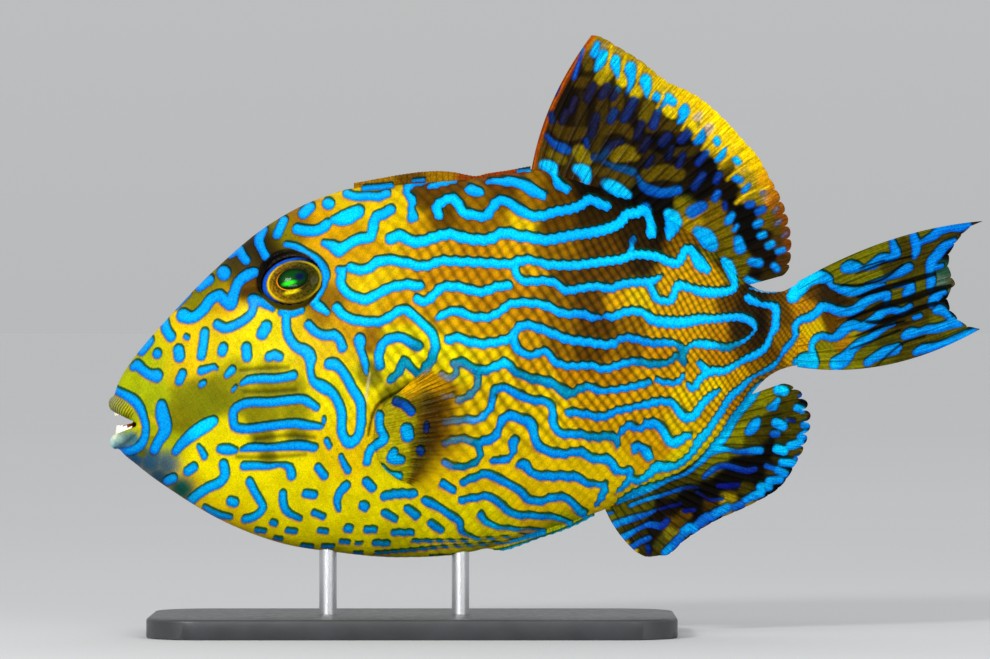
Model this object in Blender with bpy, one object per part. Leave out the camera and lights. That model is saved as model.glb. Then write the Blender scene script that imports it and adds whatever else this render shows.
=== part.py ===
"""Blueline triggerfish, a still, life-size model held on a plain display stand.

Units are metres and +Z is up. The head points to -X, the tail to +X, and the middle plane of the
fish is Y = 0. The origin lies on the floor under the middle of the model's length.

Sizes in the tables below are millimetres: the first number is the distance behind the tip of the
snout, the second the height above the floor. The fish is posed swimming, nose down by about nine
degrees, so its outlines are drawn that way.
"""

import math

import bmesh
import bpy
import numpy as np
from mathutils import Matrix, Vector

MM = 0.001
TOTAL_LENGTH = 350.0 * MM
GAP = 0.3 * MM

# Where the named nodes of flesh meet, in millimetres behind the snout.
HEAD_END = 103.2
TRUNK_END = 257.6
STEM_END = 275.6

# Outline of the body alone, without fins: back, belly and half width.
BACK = [
    (1.2, 86.4), (1.7, 92.0), (2.6, 96.6), (4.4, 101.6), (8.0, 107.6), (12.8, 114.0), (20.8, 123.2),
    (28.8, 132.0), (36.8, 140.4), (44.8, 148.0), (52.8, 155.2), (60.8, 161.6), (68.8, 166.8),
    (76.8, 171.2), (84.8, 174.6), (96.8, 178.4), (108.8, 179.8), (120.8, 180.4), (132.8, 181.2),
    (144.8, 182.2), (156.8, 184.0), (164.8, 185.6), (170.0, 186.2), (184.8, 182.4), (200.8, 177.2),
    (216.8, 170.8), (232.8, 161.2), (244.8, 151.2), (256.0, 140.4), (262.8, 137.4), (268.8, 137.2),
    (275.6, 140.8),
]
BELLY = [
    (1.2, 86.4), (1.7, 81.0), (2.8, 77.0), (5.6, 72.4), (10.8, 68.0), (16.8, 63.2), (24.8, 57.6),
    (32.8, 52.4), (40.8, 47.6), (48.8, 43.6), (56.8, 40.2), (64.8, 37.4), (72.8, 35.2), (80.8, 33.8),
    (88.8, 32.8), (96.8, 31.8), (106.8, 30.8), (116.8, 30.4), (124.8, 30.5), (136.8, 31.2),
    (148.8, 33.4), (156.8, 35.4), (164.8, 38.4), (172.8, 41.2), (180.8, 43.4), (188.8, 46.0),
    (196.8, 48.8), (212.8, 56.4), (228.8, 64.4), (240.8, 74.0), (250.8, 85.6), (257.6, 95.6),
    (262.8, 101.6), (268.8, 105.4), (275.6, 106.8),
]
HALF_WIDTH = [
    (1.2, 0.4), (1.7, 3.4), (2.6, 5.4), (5.0, 8.0), (10.0, 10.4), (18.0, 12.8), (28.0, 15.2),
    (40.0, 18.0), (56.0, 21.6), (76.0, 25.2), (96.0, 27.6), (116.0, 28.8), (136.0, 28.6),
    (156.0, 27.0), (180.0, 23.6), (204.0, 19.4), (228.0, 14.6), (244.0, 11.2), (257.6, 8.8),
    (266.0, 7.6), (275.6, 6.6),
]
# The sides are fuller than an ellipse's at the snout and leaner along the trunk.
SIDE_POWER = [(0.0, 0.95), (60.0, 1.0), (120.0, 1.14), (230.0, 1.14), (275.6, 1.0)]
GIRTH_SIDES = 28
HEAD_STATIONS = [1.2, 1.45, 1.9, 2.6, 3.6, 5.0, 7.0, 9.6, 12.8, 16.8]
HEAD_STATIONS += list(np.linspace(22.0, HEAD_END, 13))
TRUNK_STATIONS = list(np.linspace(HEAD_END + GAP / MM, TRUNK_END, 25))
STEM_STATIONS = list(np.linspace(TRUNK_END + GAP / MM, STEM_END, 6))

# Mouth, standing open, as a wedge seen from the side.
MOUTH_CORNER = (13.4, 83.9)
UPPER_EDGE_FRONT = (2.2, 89.2)
LOWER_EDGE_FRONT = (2.8, 79.8)
MOUTH_HALF_WIDTH = 10.2
LIP_REACH = 2.2
LIP_SEGMENTS = 16
LIP_SIDES = 10
TEETH_IN_A_ROW = 8
TOOTH_WIDTH = 2.2
TOOTH_THICKNESS = 1.7
LOWER_TOOTH_HEIGHT = 4.2
UPPER_TOOTH_HEIGHT = 1.8

# Eye, as an ellipsoid set in the head and turned with its surface.
EYE_CENTRE = (74.2, 141.4)
EYE_HALF_LENGTH = 14.0
EYE_HALF_HEIGHT = 10.8
EYE_HALF_DEPTH = 8.0
EYE_BULGE = 3.0
EYE_TILT = math.radians(10.0)
RIM_HALF_LENGTH = 13.3
RIM_HALF_HEIGHT = 11.9
RIM_RADIUS = 1.0
NOSTRILS = [(55.2, 140.6), (52.0, 143.2)]
NOSTRIL_RADIUS = 0.75
NOSTRIL_DEPTH = 2.0

# Gill opening, a short curved slit ahead of the pectoral fin, and the bony scutes behind it.
GILL_SLIT = [(104.6, 80.0), (106.2, 87.2), (108.4, 91.6), (111.4, 94.2), (115.6, 96.6), (119.2, 98.6), (122.6, 100.2)]
GILL_SLIT_RADIUS = 0.8
SCUTES = [(113.2, 99.4, 2.2, 1.8), (118.4, 103.0, 2.8, 2.2), (123.2, 107.6, 3.0, 2.4), (127.4, 111.8, 2.6, 2.2)]
SCUTE_HEIGHT = 0.9

# Folded first dorsal fin: three spines lying back in their groove.
FIRST_DORSAL_CREST = [
    (98.4, 180.4), (104.0, 181.4), (110.0, 182.6), (118.0, 184.0), (126.0, 185.0), (132.0, 185.3),
    (138.0, 184.9), (143.0, 183.9), (147.0, 183.3),
]
FIRST_DORSAL_HALF_THICKNESS = 1.7
SPINE_TIPS = [0.92, 0.66, 0.44]

# Fin outlines: the line of the roots, and the margin from the first ray's tip to the last ray's.
DORSAL_ROOT_SPAN = (169.2, 255.2)
DORSAL_MARGIN = [
    (193.6, 239.8), (198.0, 238.6), (201.6, 236.4), (212.8, 229.6), (224.8, 220.4), (230.8, 217.8),
    (236.8, 214.4), (248.8, 203.6), (254.8, 196.8), (259.6, 191.6), (264.0, 184.0), (268.8, 175.2),
    (272.0, 166.4), (273.4, 156.4), (272.8, 147.6), (270.8, 143.6),
]
DORSAL_RAYS = 26
ANAL_ROOT_SPAN = (198.4, 256.4)
ANAL_MARGIN = [
    (211.2, 32.8), (216.0, 30.8), (219.2, 31.2), (222.8, 31.4), (230.8, 37.6), (242.8, 45.2),
    (256.8, 51.6), (268.8, 58.8), (275.6, 68.8), (279.6, 77.6), (281.2, 85.6), (280.0, 92.0),
    (276.4, 97.6), (270.8, 100.6),
]
ANAL_RAYS = 23
TAIL_MARGIN = [
    (350.0, 165.2), (345.6, 163.2), (341.6, 159.6), (338.4, 155.2), (336.6, 151.2), (336.4, 147.2),
    (337.6, 143.2), (338.8, 140.0), (337.0, 137.4), (336.0, 134.2), (336.8, 130.4), (339.2, 127.2),
    (342.0, 124.4), (345.6, 122.8), (348.8, 122.0),
]
TAIL_RAYS = 12
TAIL_ROOT_HALF_THICKNESS = 6.0
TAIL_FLESH_LENGTH = 16.0
MEMBRANE_HALF = 0.3
RAY_HALF_AT_ROOT = 1.0
RAY_HALF_AT_TIP = 0.4

# Pectoral fins: a fleshy lobe, with fifteen rays fanned out behind it.
PECTORAL_ROOT = [
    (116.8, 97.0), (112.4, 93.4), (108.4, 87.6), (106.8, 80.0), (107.8, 72.4), (111.2, 66.4), (116.4, 62.4),
]
PECTORAL_MARGIN = [
    (130.8, 109.2), (137.2, 110.0), (142.8, 108.0), (147.2, 104.0), (149.6, 98.4), (149.8, 91.6), (147.6, 83.6),
    (143.2, 75.6), (137.2, 68.4), (130.4, 62.8), (124.4, 60.4),
]
PECTORAL_RAYS = 15
PECTORAL_LOBE_SHARE = 0.42
PECTORAL_LOBE_HEIGHT = 2.8
PECTORAL_FLARE = 7.0

# Flap of skin behind the hidden pelvic bone, along the belly's edge.
FLAP_EDGE = [
    (148.0, 31.8), (152.8, 31.9), (158.8, 33.2), (164.8, 35.2), (172.8, 38.2), (180.8, 40.8), (186.8, 43.2),
    (191.6, 45.6), (194.6, 47.2),
]
FLAP_HALF_THICKNESS = 1.0
FLAP_SPINES = 14

# Display stand.
BASE_LENGTH = 210.0
BASE_DEPTH = 104.0
BASE_HEIGHT = 8.0
BASE_CORNER = 22.0
BASE_CENTRE = 122.0
BASE_BEVEL = 1.2
ROD_RADIUS = 3.5
ROD_SIDES = 16
ROD_PLACES = {"stand_rod_front": 88.0, "stand_rod_rear": 141.0}

SKIN_YELLOW = (0.80, 0.55, 0.03)
SKIN_BROWN = (0.38, 0.22, 0.04)
FIN_BROWN = (0.20, 0.12, 0.03)
FIN_BLUE = (0.04, 0.32, 0.75)
EYE_GOLD = (0.25, 0.18, 0.04)
STAND_GREY = (0.10, 0.10, 0.11)
ROD_STEEL = (0.55, 0.56, 0.58)


def clear_scene():
    for old in list(bpy.data.objects):
        bpy.data.objects.remove(old)


def curve_through(points):
    """A smooth function y(x) through the points, whose slopes never overshoot between them."""
    xs = np.array([p[0] for p in points], float)
    ys = np.array([p[1] for p in points], float)
    steps = np.diff(xs)
    slopes = np.diff(ys) / steps
    tangents = np.zeros(len(xs))
    tangents[0] = slopes[0]
    tangents[-1] = slopes[-1]
    for i in range(1, len(xs) - 1):
        if slopes[i - 1] * slopes[i] > 0:
            w1 = 2 * steps[i] + steps[i - 1]
            w2 = steps[i] + 2 * steps[i - 1]
            tangents[i] = (w1 + w2) / (w1 / slopes[i - 1] + w2 / slopes[i])

    def value(x):
        x = np.clip(np.asarray(x, float), xs[0], xs[-1])
        i = np.clip(np.searchsorted(xs, x, side="right") - 1, 0, len(xs) - 2)
        t = (x - xs[i]) / steps[i]
        return (
            (1 + 2 * t) * (1 - t) ** 2 * ys[i]
            + t * (1 - t) ** 2 * steps[i] * tangents[i]
            + t * t * (3 - 2 * t) * ys[i + 1]
            + t * t * (t - 1) * steps[i] * tangents[i + 1]
        )

    return value


back_of = curve_through(BACK)
belly_of = curve_through(BELLY)
half_width_of = curve_through(HALF_WIDTH)
side_power_of = curve_through(SIDE_POWER)


def faceted(curve, x):
    """Height of the faceted body's outline, straight between its stations."""
    stations = HEAD_STATIONS + TRUNK_STATIONS + STEM_STATIONS
    return float(np.interp(x, stations, curve(np.array(stations))))


def along(points, share):
    """The point of a drawn line at this share of its length, as a smooth curve through its points."""
    pts = np.array(points, float)
    lengths = np.concatenate([[0.0], np.cumsum(np.linalg.norm(np.diff(pts, axis=0), axis=1))])
    at = lengths / lengths[-1]
    ahead = curve_through(list(zip(at, pts[:, 0])))
    up = curve_through(list(zip(at, pts[:, 1])))
    return np.array([float(ahead(share)), float(up(share))])


def side_at(x, z):
    """Half width of the body at this station and height, in millimetres."""
    top, bottom = back_of(x), belly_of(x)
    share = np.clip((z - (top + bottom) / 2) / ((top - bottom) / 2), -1.0, 1.0)
    return half_width_of(x) * (1 - share**2) ** (side_power_of(x) / 2)


def belly_at(x, y):
    """Height of the body's underside at this station and distance from the middle plane."""
    top, bottom = back_of(x), belly_of(x)
    sine = (abs(y) / half_width_of(x)) ** (1 / side_power_of(x))
    return (top + bottom) / 2 - (top - bottom) / 2 * math.sqrt(max(0.0, 1 - sine * sine))


def surface_frame(x, z, side):
    """Origin on the body's surface, with the outward normal and two tangents, for one side (-1 is left)."""
    reach = 2.0
    here = Vector((x, side * float(side_at(x, z)), z))
    ahead = Vector((x + reach, side * float(side_at(x + reach, z)), z))
    above = Vector((x, side * float(side_at(x, z + reach)), z + reach))
    to_tail = (ahead - here).normalized()
    up = (above - here).normalized()
    normal = to_tail.cross(up)
    if normal.y * side < 0:
        normal.negate()
    normal.normalize()
    up = (up - normal * up.dot(normal)).normalized()
    return here, normal, up


def placed(point):
    """Millimetres from the snout to metres in the model's frame."""
    return (point[0] * MM - TOTAL_LENGTH / 2, point[1] * MM, point[2] * MM)


def material(name, colour, roughness, metallic=0.0):
    made = bpy.data.materials.get(name) or bpy.data.materials.new(name)
    made.use_nodes = True
    shader = made.node_tree.nodes["Principled BSDF"]
    shader.inputs["Base Color"].default_value = (*colour, 1.0)
    shader.inputs["Roughness"].default_value = roughness
    shader.inputs["Metallic"].default_value = metallic
    return made


def new_object(name, points, faces, finish=None):
    """An object from points in millimetres from the snout."""
    mesh = bpy.data.meshes.new(name)
    mesh.from_pydata([placed(p) for p in points], [], faces)
    made = bpy.data.objects.new(name, mesh)
    bpy.context.scene.collection.objects.link(made)
    working = bmesh.new()
    working.from_mesh(mesh)
    bmesh.ops.recalc_face_normals(working, faces=working.faces)
    working.to_mesh(mesh)
    working.free()
    if finish:
        mesh.materials.append(finish)
    mesh.shade_smooth()
    mesh.set_sharp_from_angle(angle=math.radians(40))
    return made


def lofted(rings):
    """Points and triangles of a closed body through rings of equal count, capped with a fan at each end."""
    count, sides = len(rings), len(rings[0])
    points = [tuple(p) for ring in rings for p in ring]
    faces = []
    for i in range(count - 1):
        for j in range(sides):
            k = (j + 1) % sides
            a, b = i * sides + j, i * sides + k
            c, d = (i + 1) * sides + k, (i + 1) * sides + j
            faces += [(a, b, c), (a, c, d)]
    for end, ring in ((0, rings[0]), (count - 1, rings[-1])):
        points.append(tuple(np.mean(np.array(ring), axis=0)))
        middle = len(points) - 1
        for j in range(sides):
            faces.append((end * sides + j, end * sides + (j + 1) % sides, middle))
    return points, faces


def leaf(left, right):
    """Points and triangles of a thin closed body between two grids, both split along the same diagonals."""
    rows, columns = len(left), len(left[0])
    points = [tuple(p) for grid in (left, right) for row in grid for p in row]
    other = rows * columns
    faces = []
    for i in range(rows - 1):
        for j in range(columns - 1):
            a, b = i * columns + j, i * columns + j + 1
            c, d = a + columns + 1, a + columns
            faces += [(a, b, c), (a, c, d)]
            faces += [(other + a, other + c, other + b), (other + a, other + d, other + c)]
    edge = [j for j in range(columns)]
    edge += [i * columns + columns - 1 for i in range(1, rows)]
    edge += [(rows - 1) * columns + j for j in range(columns - 2, -1, -1)]
    edge += [i * columns for i in range(rows - 2, 0, -1)]
    for a, b in zip(edge, edge[1:] + edge[:1]):
        faces += [(a, b, other + b), (a, other + b, other + a)]
    return points, faces


def tube(path, radii, sides, flat=(1.0, 1.0)):
    """Rings of a tube along a path of 3-D points. flat scales it across and upwards."""
    path = [Vector(p) for p in path]
    rings = []
    for i, here in enumerate(path):
        ahead = path[min(i + 1, len(path) - 1)] - path[max(i - 1, 0)]
        ahead.normalize()
        across = ahead.cross(Vector((0, 0, 1)))
        if across.length < 0.2:
            across = ahead.cross(Vector((0, 1, 0)))
        across.normalize()
        up = across.cross(ahead)
        ring = []
        for j in range(sides):
            turn = math.tau * j / sides
            ring.append(here + across * radii[i] * flat[0] * math.cos(turn) + up * radii[i] * flat[1] * math.sin(turn))
        rings.append(ring)
    return rings


def boolean(target, operation, pieces):
    """Joins or cuts the pieces into the target and removes them."""
    group = bpy.data.collections.new("boolean_pieces")
    bpy.context.scene.collection.children.link(group)
    for piece in pieces:
        group.objects.link(piece)
    step = target.modifiers.new("join", "BOOLEAN")
    step.operation = operation
    step.operand_type = "COLLECTION"
    step.collection = group
    step.solver = "EXACT"
    bpy.context.view_layer.objects.active = target
    bpy.ops.object.modifier_apply(modifier=step.name)
    for piece in pieces:
        bpy.data.objects.remove(piece)
    bpy.data.collections.remove(group)


def keep_largest(target):
    """Drops every loose surface but the one with the greatest volume."""
    working = bmesh.new()
    working.from_mesh(target.data)
    bmesh.ops.triangulate(working, faces=working.faces)
    unseen = set(working.faces)
    groups = []
    while unseen:
        stack = [unseen.pop()]
        group = list(stack)
        while stack:
            for edge in stack.pop().edges:
                for face in edge.link_faces:
                    if face in unseen:
                        unseen.remove(face)
                        group.append(face)
                        stack.append(face)
        groups.append(group)

    def volume(group):
        return sum(f.verts[0].co.dot(f.verts[1].co.cross(f.verts[2].co)) / 6 for f in group)

    keep = set(max(groups, key=volume))
    bmesh.ops.delete(working, geom=[f for f in working.faces if f not in keep], context="FACES")
    bmesh.ops.dissolve_degenerate(working, edges=working.edges, dist=2e-6)
    bmesh.ops.triangulate(working, faces=working.faces)
    working.to_mesh(target.data)
    working.free()


def girth(x):
    """One ring round the body at this station."""
    top, bottom = float(back_of(x)), float(belly_of(x))
    width, power = float(half_width_of(x)), float(side_power_of(x))
    ring = []
    for j in range(GIRTH_SIDES):
        turn = math.tau * j / GIRTH_SIDES
        sine = math.sin(turn)
        y = width * math.copysign(abs(sine) ** power, sine)
        ring.append((x, y, (top + bottom) / 2 + (top - bottom) / 2 * math.cos(turn)))
    return ring


def flesh(name, stations, finish):
    points, faces = lofted([girth(x) for x in stations])
    return new_object(name, points, faces, finish)


def jaw_path(front, corner_inset, half_width):
    """Half circle round the jaw, from the left corner of the mouth to the right, as seen from above."""
    path = []
    for i in range(LIP_SEGMENTS + 1):
        turn = math.pi / 2 * (2 * i / LIP_SEGMENTS - 1)
        share = 1 - math.cos(turn)
        ahead = front[0] + (MOUTH_CORNER[0] - corner_inset - front[0]) * share
        up = front[1] + (MOUTH_CORNER[1] - front[1]) * share
        path.append((ahead, half_width * math.sin(turn), up))
    return path


def lip(name, front, lift, thick, tall):
    """A lip rolled round the jaw. lift raises or lowers it from the mouth's edge."""
    path = jaw_path((front[0] + thick - LIP_REACH, front[1] + lift), 0.4, MOUTH_HALF_WIDTH)
    radii = [0.62 + 0.38 * math.cos(math.pi / 2 * (2 * i / LIP_SEGMENTS - 1)) for i in range(LIP_SEGMENTS + 1)]
    points, faces = lofted(tube(path, radii, LIP_SIDES, flat=(thick, tall)))
    return new_object(name, points, faces)


def tooth(base, across, height):
    """A chisel-shaped tooth, wide at its root and coming to a blunt point."""
    across = Vector(across).normalized()
    outward = across.cross(Vector((0, 0, 1)))
    up = Vector((0, 0, math.copysign(1.0, height)))
    rings = []
    for share, width in ((-0.5, 0.9), (0.35, 1.0), (0.8, 0.72), (1.0, 0.3)):
        middle = Vector(base) + up * abs(height) * share
        wide = across * TOOTH_WIDTH / 2 * width
        deep = outward * TOOTH_THICKNESS / 2 * (1.0 if share < 0.5 else 0.7)
        rings.append([middle + wide + deep, middle - wide + deep, middle - wide - deep, middle + wide - deep])
    points, faces = lofted(rings)
    return new_object("tooth", points, faces)


def tooth_row(front, height):
    """Teeth set close together round one jaw."""
    path = [Vector(p) for p in jaw_path((front[0] + 2.0, front[1]), 2.6, MOUTH_HALF_WIDTH - 2.4)]
    made = []
    for i in range(TEETH_IN_A_ROW):
        at = (i + 0.5) / TEETH_IN_A_ROW * LIP_SEGMENTS
        low = int(at)
        base = path[low].lerp(path[low + 1], at - low)
        taller = 1.0 - 0.35 * abs(2 * (i + 0.5) / TEETH_IN_A_ROW - 1)
        made.append(tooth(base, path[low + 1] - path[low], height * taller))
    return made


def mouth_wedge():
    """The space between the open jaws, right across the snout."""
    corner = MOUTH_CORNER
    reach = 10.0

    def beyond(front):
        slope = (front[1] - corner[1]) / (front[0] - corner[0])
        return (-reach, corner[1] + slope * (-reach - corner[0]))

    upper, lower = beyond(UPPER_EDGE_FRONT), beyond(LOWER_EDGE_FRONT)
    outline = [corner, upper, lower]
    points = [(x, y, z) for y in (-30.0, 30.0) for x, z in outline]
    return new_object("mouth_wedge", points, [(0, 1, 2), (3, 5, 4), (0, 3, 4, 1), (1, 4, 5, 2), (2, 5, 3, 0)])


def eyeball(name, side, grow, finish=None):
    """The eye, or with grow the socket that it sits in."""
    here, normal, up = surface_frame(*EYE_CENTRE, side)
    lengthwise = up.cross(normal)
    if lengthwise.x < 0:
        lengthwise.negate()
    turned_length = lengthwise * math.cos(EYE_TILT) + up * math.sin(EYE_TILT)
    turned_up = up * math.cos(EYE_TILT) - lengthwise * math.sin(EYE_TILT)
    centre = here + normal * (EYE_BULGE - EYE_HALF_DEPTH)
    around, rows = 24, 10
    rings = []
    for i in range(rows + 1):
        lift = math.pi * (i + 0.35) / (rows + 0.7)
        out = math.cos(lift)
        wide = math.sin(lift)
        ring = []
        for j in range(around):
            turn = math.tau * j / around
            ring.append(
                centre
                + normal * out * (EYE_HALF_DEPTH + grow)
                + turned_length * math.cos(turn) * wide * (EYE_HALF_LENGTH + grow)
                + turned_up * math.sin(turn) * wide * (EYE_HALF_HEIGHT + grow)
            )
        rings.append(ring)
    points, faces = lofted(rings)
    return new_object(name, points, faces, finish)


def eye_rim(side):
    """The raised ring of skin round the eye, laid on the surface of the head."""
    around = 28
    sides = 6
    rings = []
    for i in range(around):
        turn = math.tau * i / around
        ahead = RIM_HALF_LENGTH * math.cos(turn)
        above = RIM_HALF_HEIGHT * math.sin(turn)
        x = EYE_CENTRE[0] + ahead * math.cos(EYE_TILT) - above * math.sin(EYE_TILT)
        z = EYE_CENTRE[1] + ahead * math.sin(EYE_TILT) + above * math.cos(EYE_TILT)
        here, normal, _ = surface_frame(x, z, side)
        middle = Vector((EYE_CENTRE[0], here.y, EYE_CENTRE[1]))
        outward = (here - middle) - normal * (here - middle).dot(normal)
        outward.normalize()
        ring = []
        for j in range(sides):
            a = math.tau * j / sides
            ring.append(here + outward * RIM_RADIUS * 1.2 * math.cos(a) + normal * RIM_RADIUS * math.sin(a))
        rings.append(ring)
    points = [p for ring in rings for p in ring]
    faces = []
    for i in range(around):
        n = (i + 1) % around
        for j in range(sides):
            k = (j + 1) % sides
            faces.append((i * sides + j, i * sides + k, n * sides + k, n * sides + j))
    return new_object("eye_rim", points, faces)


def pit(x, z, side):
    """A short round cutter sunk into the skin for a nostril."""
    here, normal, _ = surface_frame(x, z, side)
    path = [here + normal * 2.0, here - normal * NOSTRIL_DEPTH]
    points, faces = lofted(tube(path, [NOSTRIL_RADIUS] * 2, 8))
    return new_object("pit", points, faces)


def make_head(finish):
    head = flesh("head", HEAD_STATIONS, finish)
    cutters = [mouth_wedge()]
    for side in (-1, 1):
        cutters.append(eyeball("socket", side, 0.35))
        cutters += [pit(x, z, side) for x, z in NOSTRILS]
    boolean(head, "DIFFERENCE", cutters)
    pieces = [
        lip("upper_lip", UPPER_EDGE_FRONT, 2.9, 2.5, 3.2),
        lip("lower_lip", LOWER_EDGE_FRONT, -2.9, 2.4, 3.2),
        *(eye_rim(side) for side in (-1, 1)),
        *tooth_row(LOWER_EDGE_FRONT, LOWER_TOOTH_HEIGHT),
        *tooth_row(UPPER_EDGE_FRONT, -UPPER_TOOTH_HEIGHT),
    ]
    boolean(head, "UNION", pieces)
    keep_largest(head)
    return head


def scute(x, z, half_length, half_height, side):
    """A bony plate raised a little from the skin."""
    here, normal, up = surface_frame(x, z, side)
    lengthwise = up.cross(normal)
    around = 8
    rings = []
    for out, share in ((-1.5, 1.0), (0.35, 1.0), (1.0, 0.68)):
        ring = []
        for j in range(around):
            turn = math.tau * j / around
            ring.append(
                here
                + normal * out * SCUTE_HEIGHT
                + lengthwise * math.cos(turn) * half_length * share
                + up * math.sin(turn) * half_height * share
            )
        rings.append(ring)
    points, faces = lofted(rings)
    return new_object("scute", points, faces)


def gill_slit(side):
    """The cutter of the gill opening, a groove that follows the skin."""
    path = []
    steps = 12
    for i in range(steps + 1):
        x, z = along(GILL_SLIT, i / steps)
        path.append((x, side * float(side_at(x, z)), z))
    radii = [GILL_SLIT_RADIUS * (0.5 + 0.5 * math.sin(math.pi * i / steps)) for i in range(steps + 1)]
    points, faces = lofted(tube(path, radii, 6, flat=(1.8, 1.0)))
    return new_object("gill_slit", points, faces)


def make_trunk(finish):
    trunk = flesh("trunk", TRUNK_STATIONS, finish)
    boolean(trunk, "UNION", [scute(*plate, side) for side in (-1, 1) for plate in SCUTES])
    boolean(trunk, "DIFFERENCE", [gill_slit(side) for side in (-1, 1)])
    keep_largest(trunk)
    return trunk


def ray_half_thickness(column, share, per_ray, split_after):
    """Half thickness of a fin at one column of its grid: rays stand as ridges and split in two near their tips."""
    ray = RAY_HALF_AT_ROOT + (RAY_HALF_AT_TIP - RAY_HALF_AT_ROOT) * share
    place = column % per_ray
    if per_ray == 2:
        return ray if place == 1 else max(MEMBRANE_HALF, ray * 0.42)
    branched = share > split_after
    if place == 0:
        return max(MEMBRANE_HALF, ray * 0.42)
    if place == 2:
        return MEMBRANE_HALF + 0.05 if branched else ray
    return ray if branched else ray * 0.75


def median_fin(name, roots, tips, bows, shares, rays, per_ray, scallops, flesh_half, finish):
    """A fin standing in the middle plane. roots, tips and bows give each column's ends and bend."""
    columns = rays * per_ray + 1
    left, right = [], []
    for share in shares:
        row = []
        for j in range(columns):
            root, tip, bow = roots[j], tips[j], bows[j]
            reach = share
            if share > 0.8 and j % per_ray == 0:
                reach = share - scallops[j] * (share - 0.8) / 0.2
            here = root * (1 - reach) + tip * reach + bow * 4 * reach * (1 - reach)
            half = ray_half_thickness(j, share, per_ray, 0.45) + flesh_half(j, share)
            row.append((here[0], half, here[1]))
        left.append([(x, -y, z) for x, y, z in row])
        right.append(row)
    points, faces = leaf(left, right)
    return new_object(name, points, faces, finish)


def fin_columns(rays, per_ray):
    """Where each column of a fin lies, from 0 at the first ray to 1 at the last."""
    return [j / (rays * per_ray) for j in range(rays * per_ray + 1)]


ROWS = [0.0, 0.09, 0.3, 0.55, 0.82, 1.0]


def make_dorsal_fin(finish):
    at = fin_columns(DORSAL_RAYS, 2)
    first, last = DORSAL_ROOT_SPAN
    roots = []
    for s in at:
        x = first + (last - first) * s
        roots.append(np.array([x, faceted(back_of, x) + GAP / MM]))
    tips = [along(DORSAL_MARGIN, s) for s in at]
    bows = [np.array([-3.8, 0.6]) * max(0.0, 1 - 2.4 * s) for s in at]
    scallops = [0.012 + 0.07 * s**2 for s in at]
    return median_fin(
        "dorsal_fin", roots, tips, bows, ROWS, DORSAL_RAYS, 2, scallops,
        lambda j, share: 0.7 * max(0.0, 1 - share / 0.2), finish,
    )


def make_anal_fin(finish):
    at = fin_columns(ANAL_RAYS, 2)
    first, last = ANAL_ROOT_SPAN
    roots = []
    for s in at:
        x = first + (last - first) * s
        roots.append(np.array([x, faceted(belly_of, x) - GAP / MM]))
    tips = [along(ANAL_MARGIN, s) for s in at]
    bows = [np.array([-1.2, -0.6]) * max(0.0, 1 - 3 * s) for s in at]
    scallops = [0.02 + 0.07 * s**2 for s in at]
    return median_fin(
        "anal_fin", roots, tips, bows, ROWS, ANAL_RAYS, 2, scallops,
        lambda j, share: 0.7 * max(0.0, 1 - share / 0.2), finish,
    )


def make_tail_fin(finish):
    at = fin_columns(TAIL_RAYS, 4)
    x = STEM_END + GAP / MM
    top, bottom = float(back_of(STEM_END)), float(belly_of(STEM_END))
    roots = [np.array([x, top + (bottom - top) * s]) for s in at]
    tips = [along(TAIL_MARGIN, s) for s in at]
    bows = []
    for s in at:
        upper = max(0.0, 1 - 3.2 * s)
        lower = max(0.0, 1 - 3.2 * (1 - s))
        bows.append(np.array([0.0, 4.6 * upper - 6.6 * lower]))
    scallops = [0.0 if s in (0.0, 1.0) else 0.012 for s in at]
    flesh_share = TAIL_FLESH_LENGTH / 62.0

    def flesh_half(j, share):
        height = 1 - (2 * at[j] - 1) ** 2
        return (TAIL_ROOT_HALF_THICKNESS - RAY_HALF_AT_ROOT) * math.sqrt(height) * max(0.0, 1 - share / flesh_share) ** 1.3

    shares = [0.0, 0.08, 0.2, 0.36, 0.55, 0.82, 1.0]
    return median_fin("tail_fin", roots, tips, bows, shares, TAIL_RAYS, 4, scallops, flesh_half, finish)


def make_pectoral_fin(name, side, finish):
    """The fin's inner face follows the body with a thin gap at the lobe, then stands away from it."""
    columns = PECTORAL_RAYS * 2
    inner, outer = [], []
    for share in (0.0, 0.1, 0.24, 0.4, 0.58, 0.8, 1.0):
        low, high = [], []
        for j in range(columns + 1):
            place = j / columns
            reach = share - 0.03 if j % 2 == 0 and share == 1.0 else share
            x, z = along(PECTORAL_ROOT, place) * (1 - reach) + along(PECTORAL_MARGIN, place) * reach
            fan = max(0.0, share - PECTORAL_LOBE_SHARE) / (1 - PECTORAL_LOBE_SHARE)
            lift = GAP / MM + 0.1 + PECTORAL_FLARE * fan**1.3
            lobe = math.sin(math.pi * min(1.0, share / PECTORAL_LOBE_SHARE) ** 0.7)
            edge = math.sqrt(max(0.0, 1 - (2 * place - 1) ** 4))
            ridge = 0.5 * (1 - 0.5 * share) if j % 2 == 1 and share > 0.2 else 0.0
            thick = 0.6 + PECTORAL_LOBE_HEIGHT * lobe * edge + ridge
            base, normal, _ = surface_frame(x, z, side)
            low.append(tuple(base + normal * lift))
            high.append(tuple(base + normal * (lift + thick)))
        inner.append(low)
        outer.append(high)
    points, faces = leaf(inner, outer)
    return new_object(name, points, faces, finish)


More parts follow.
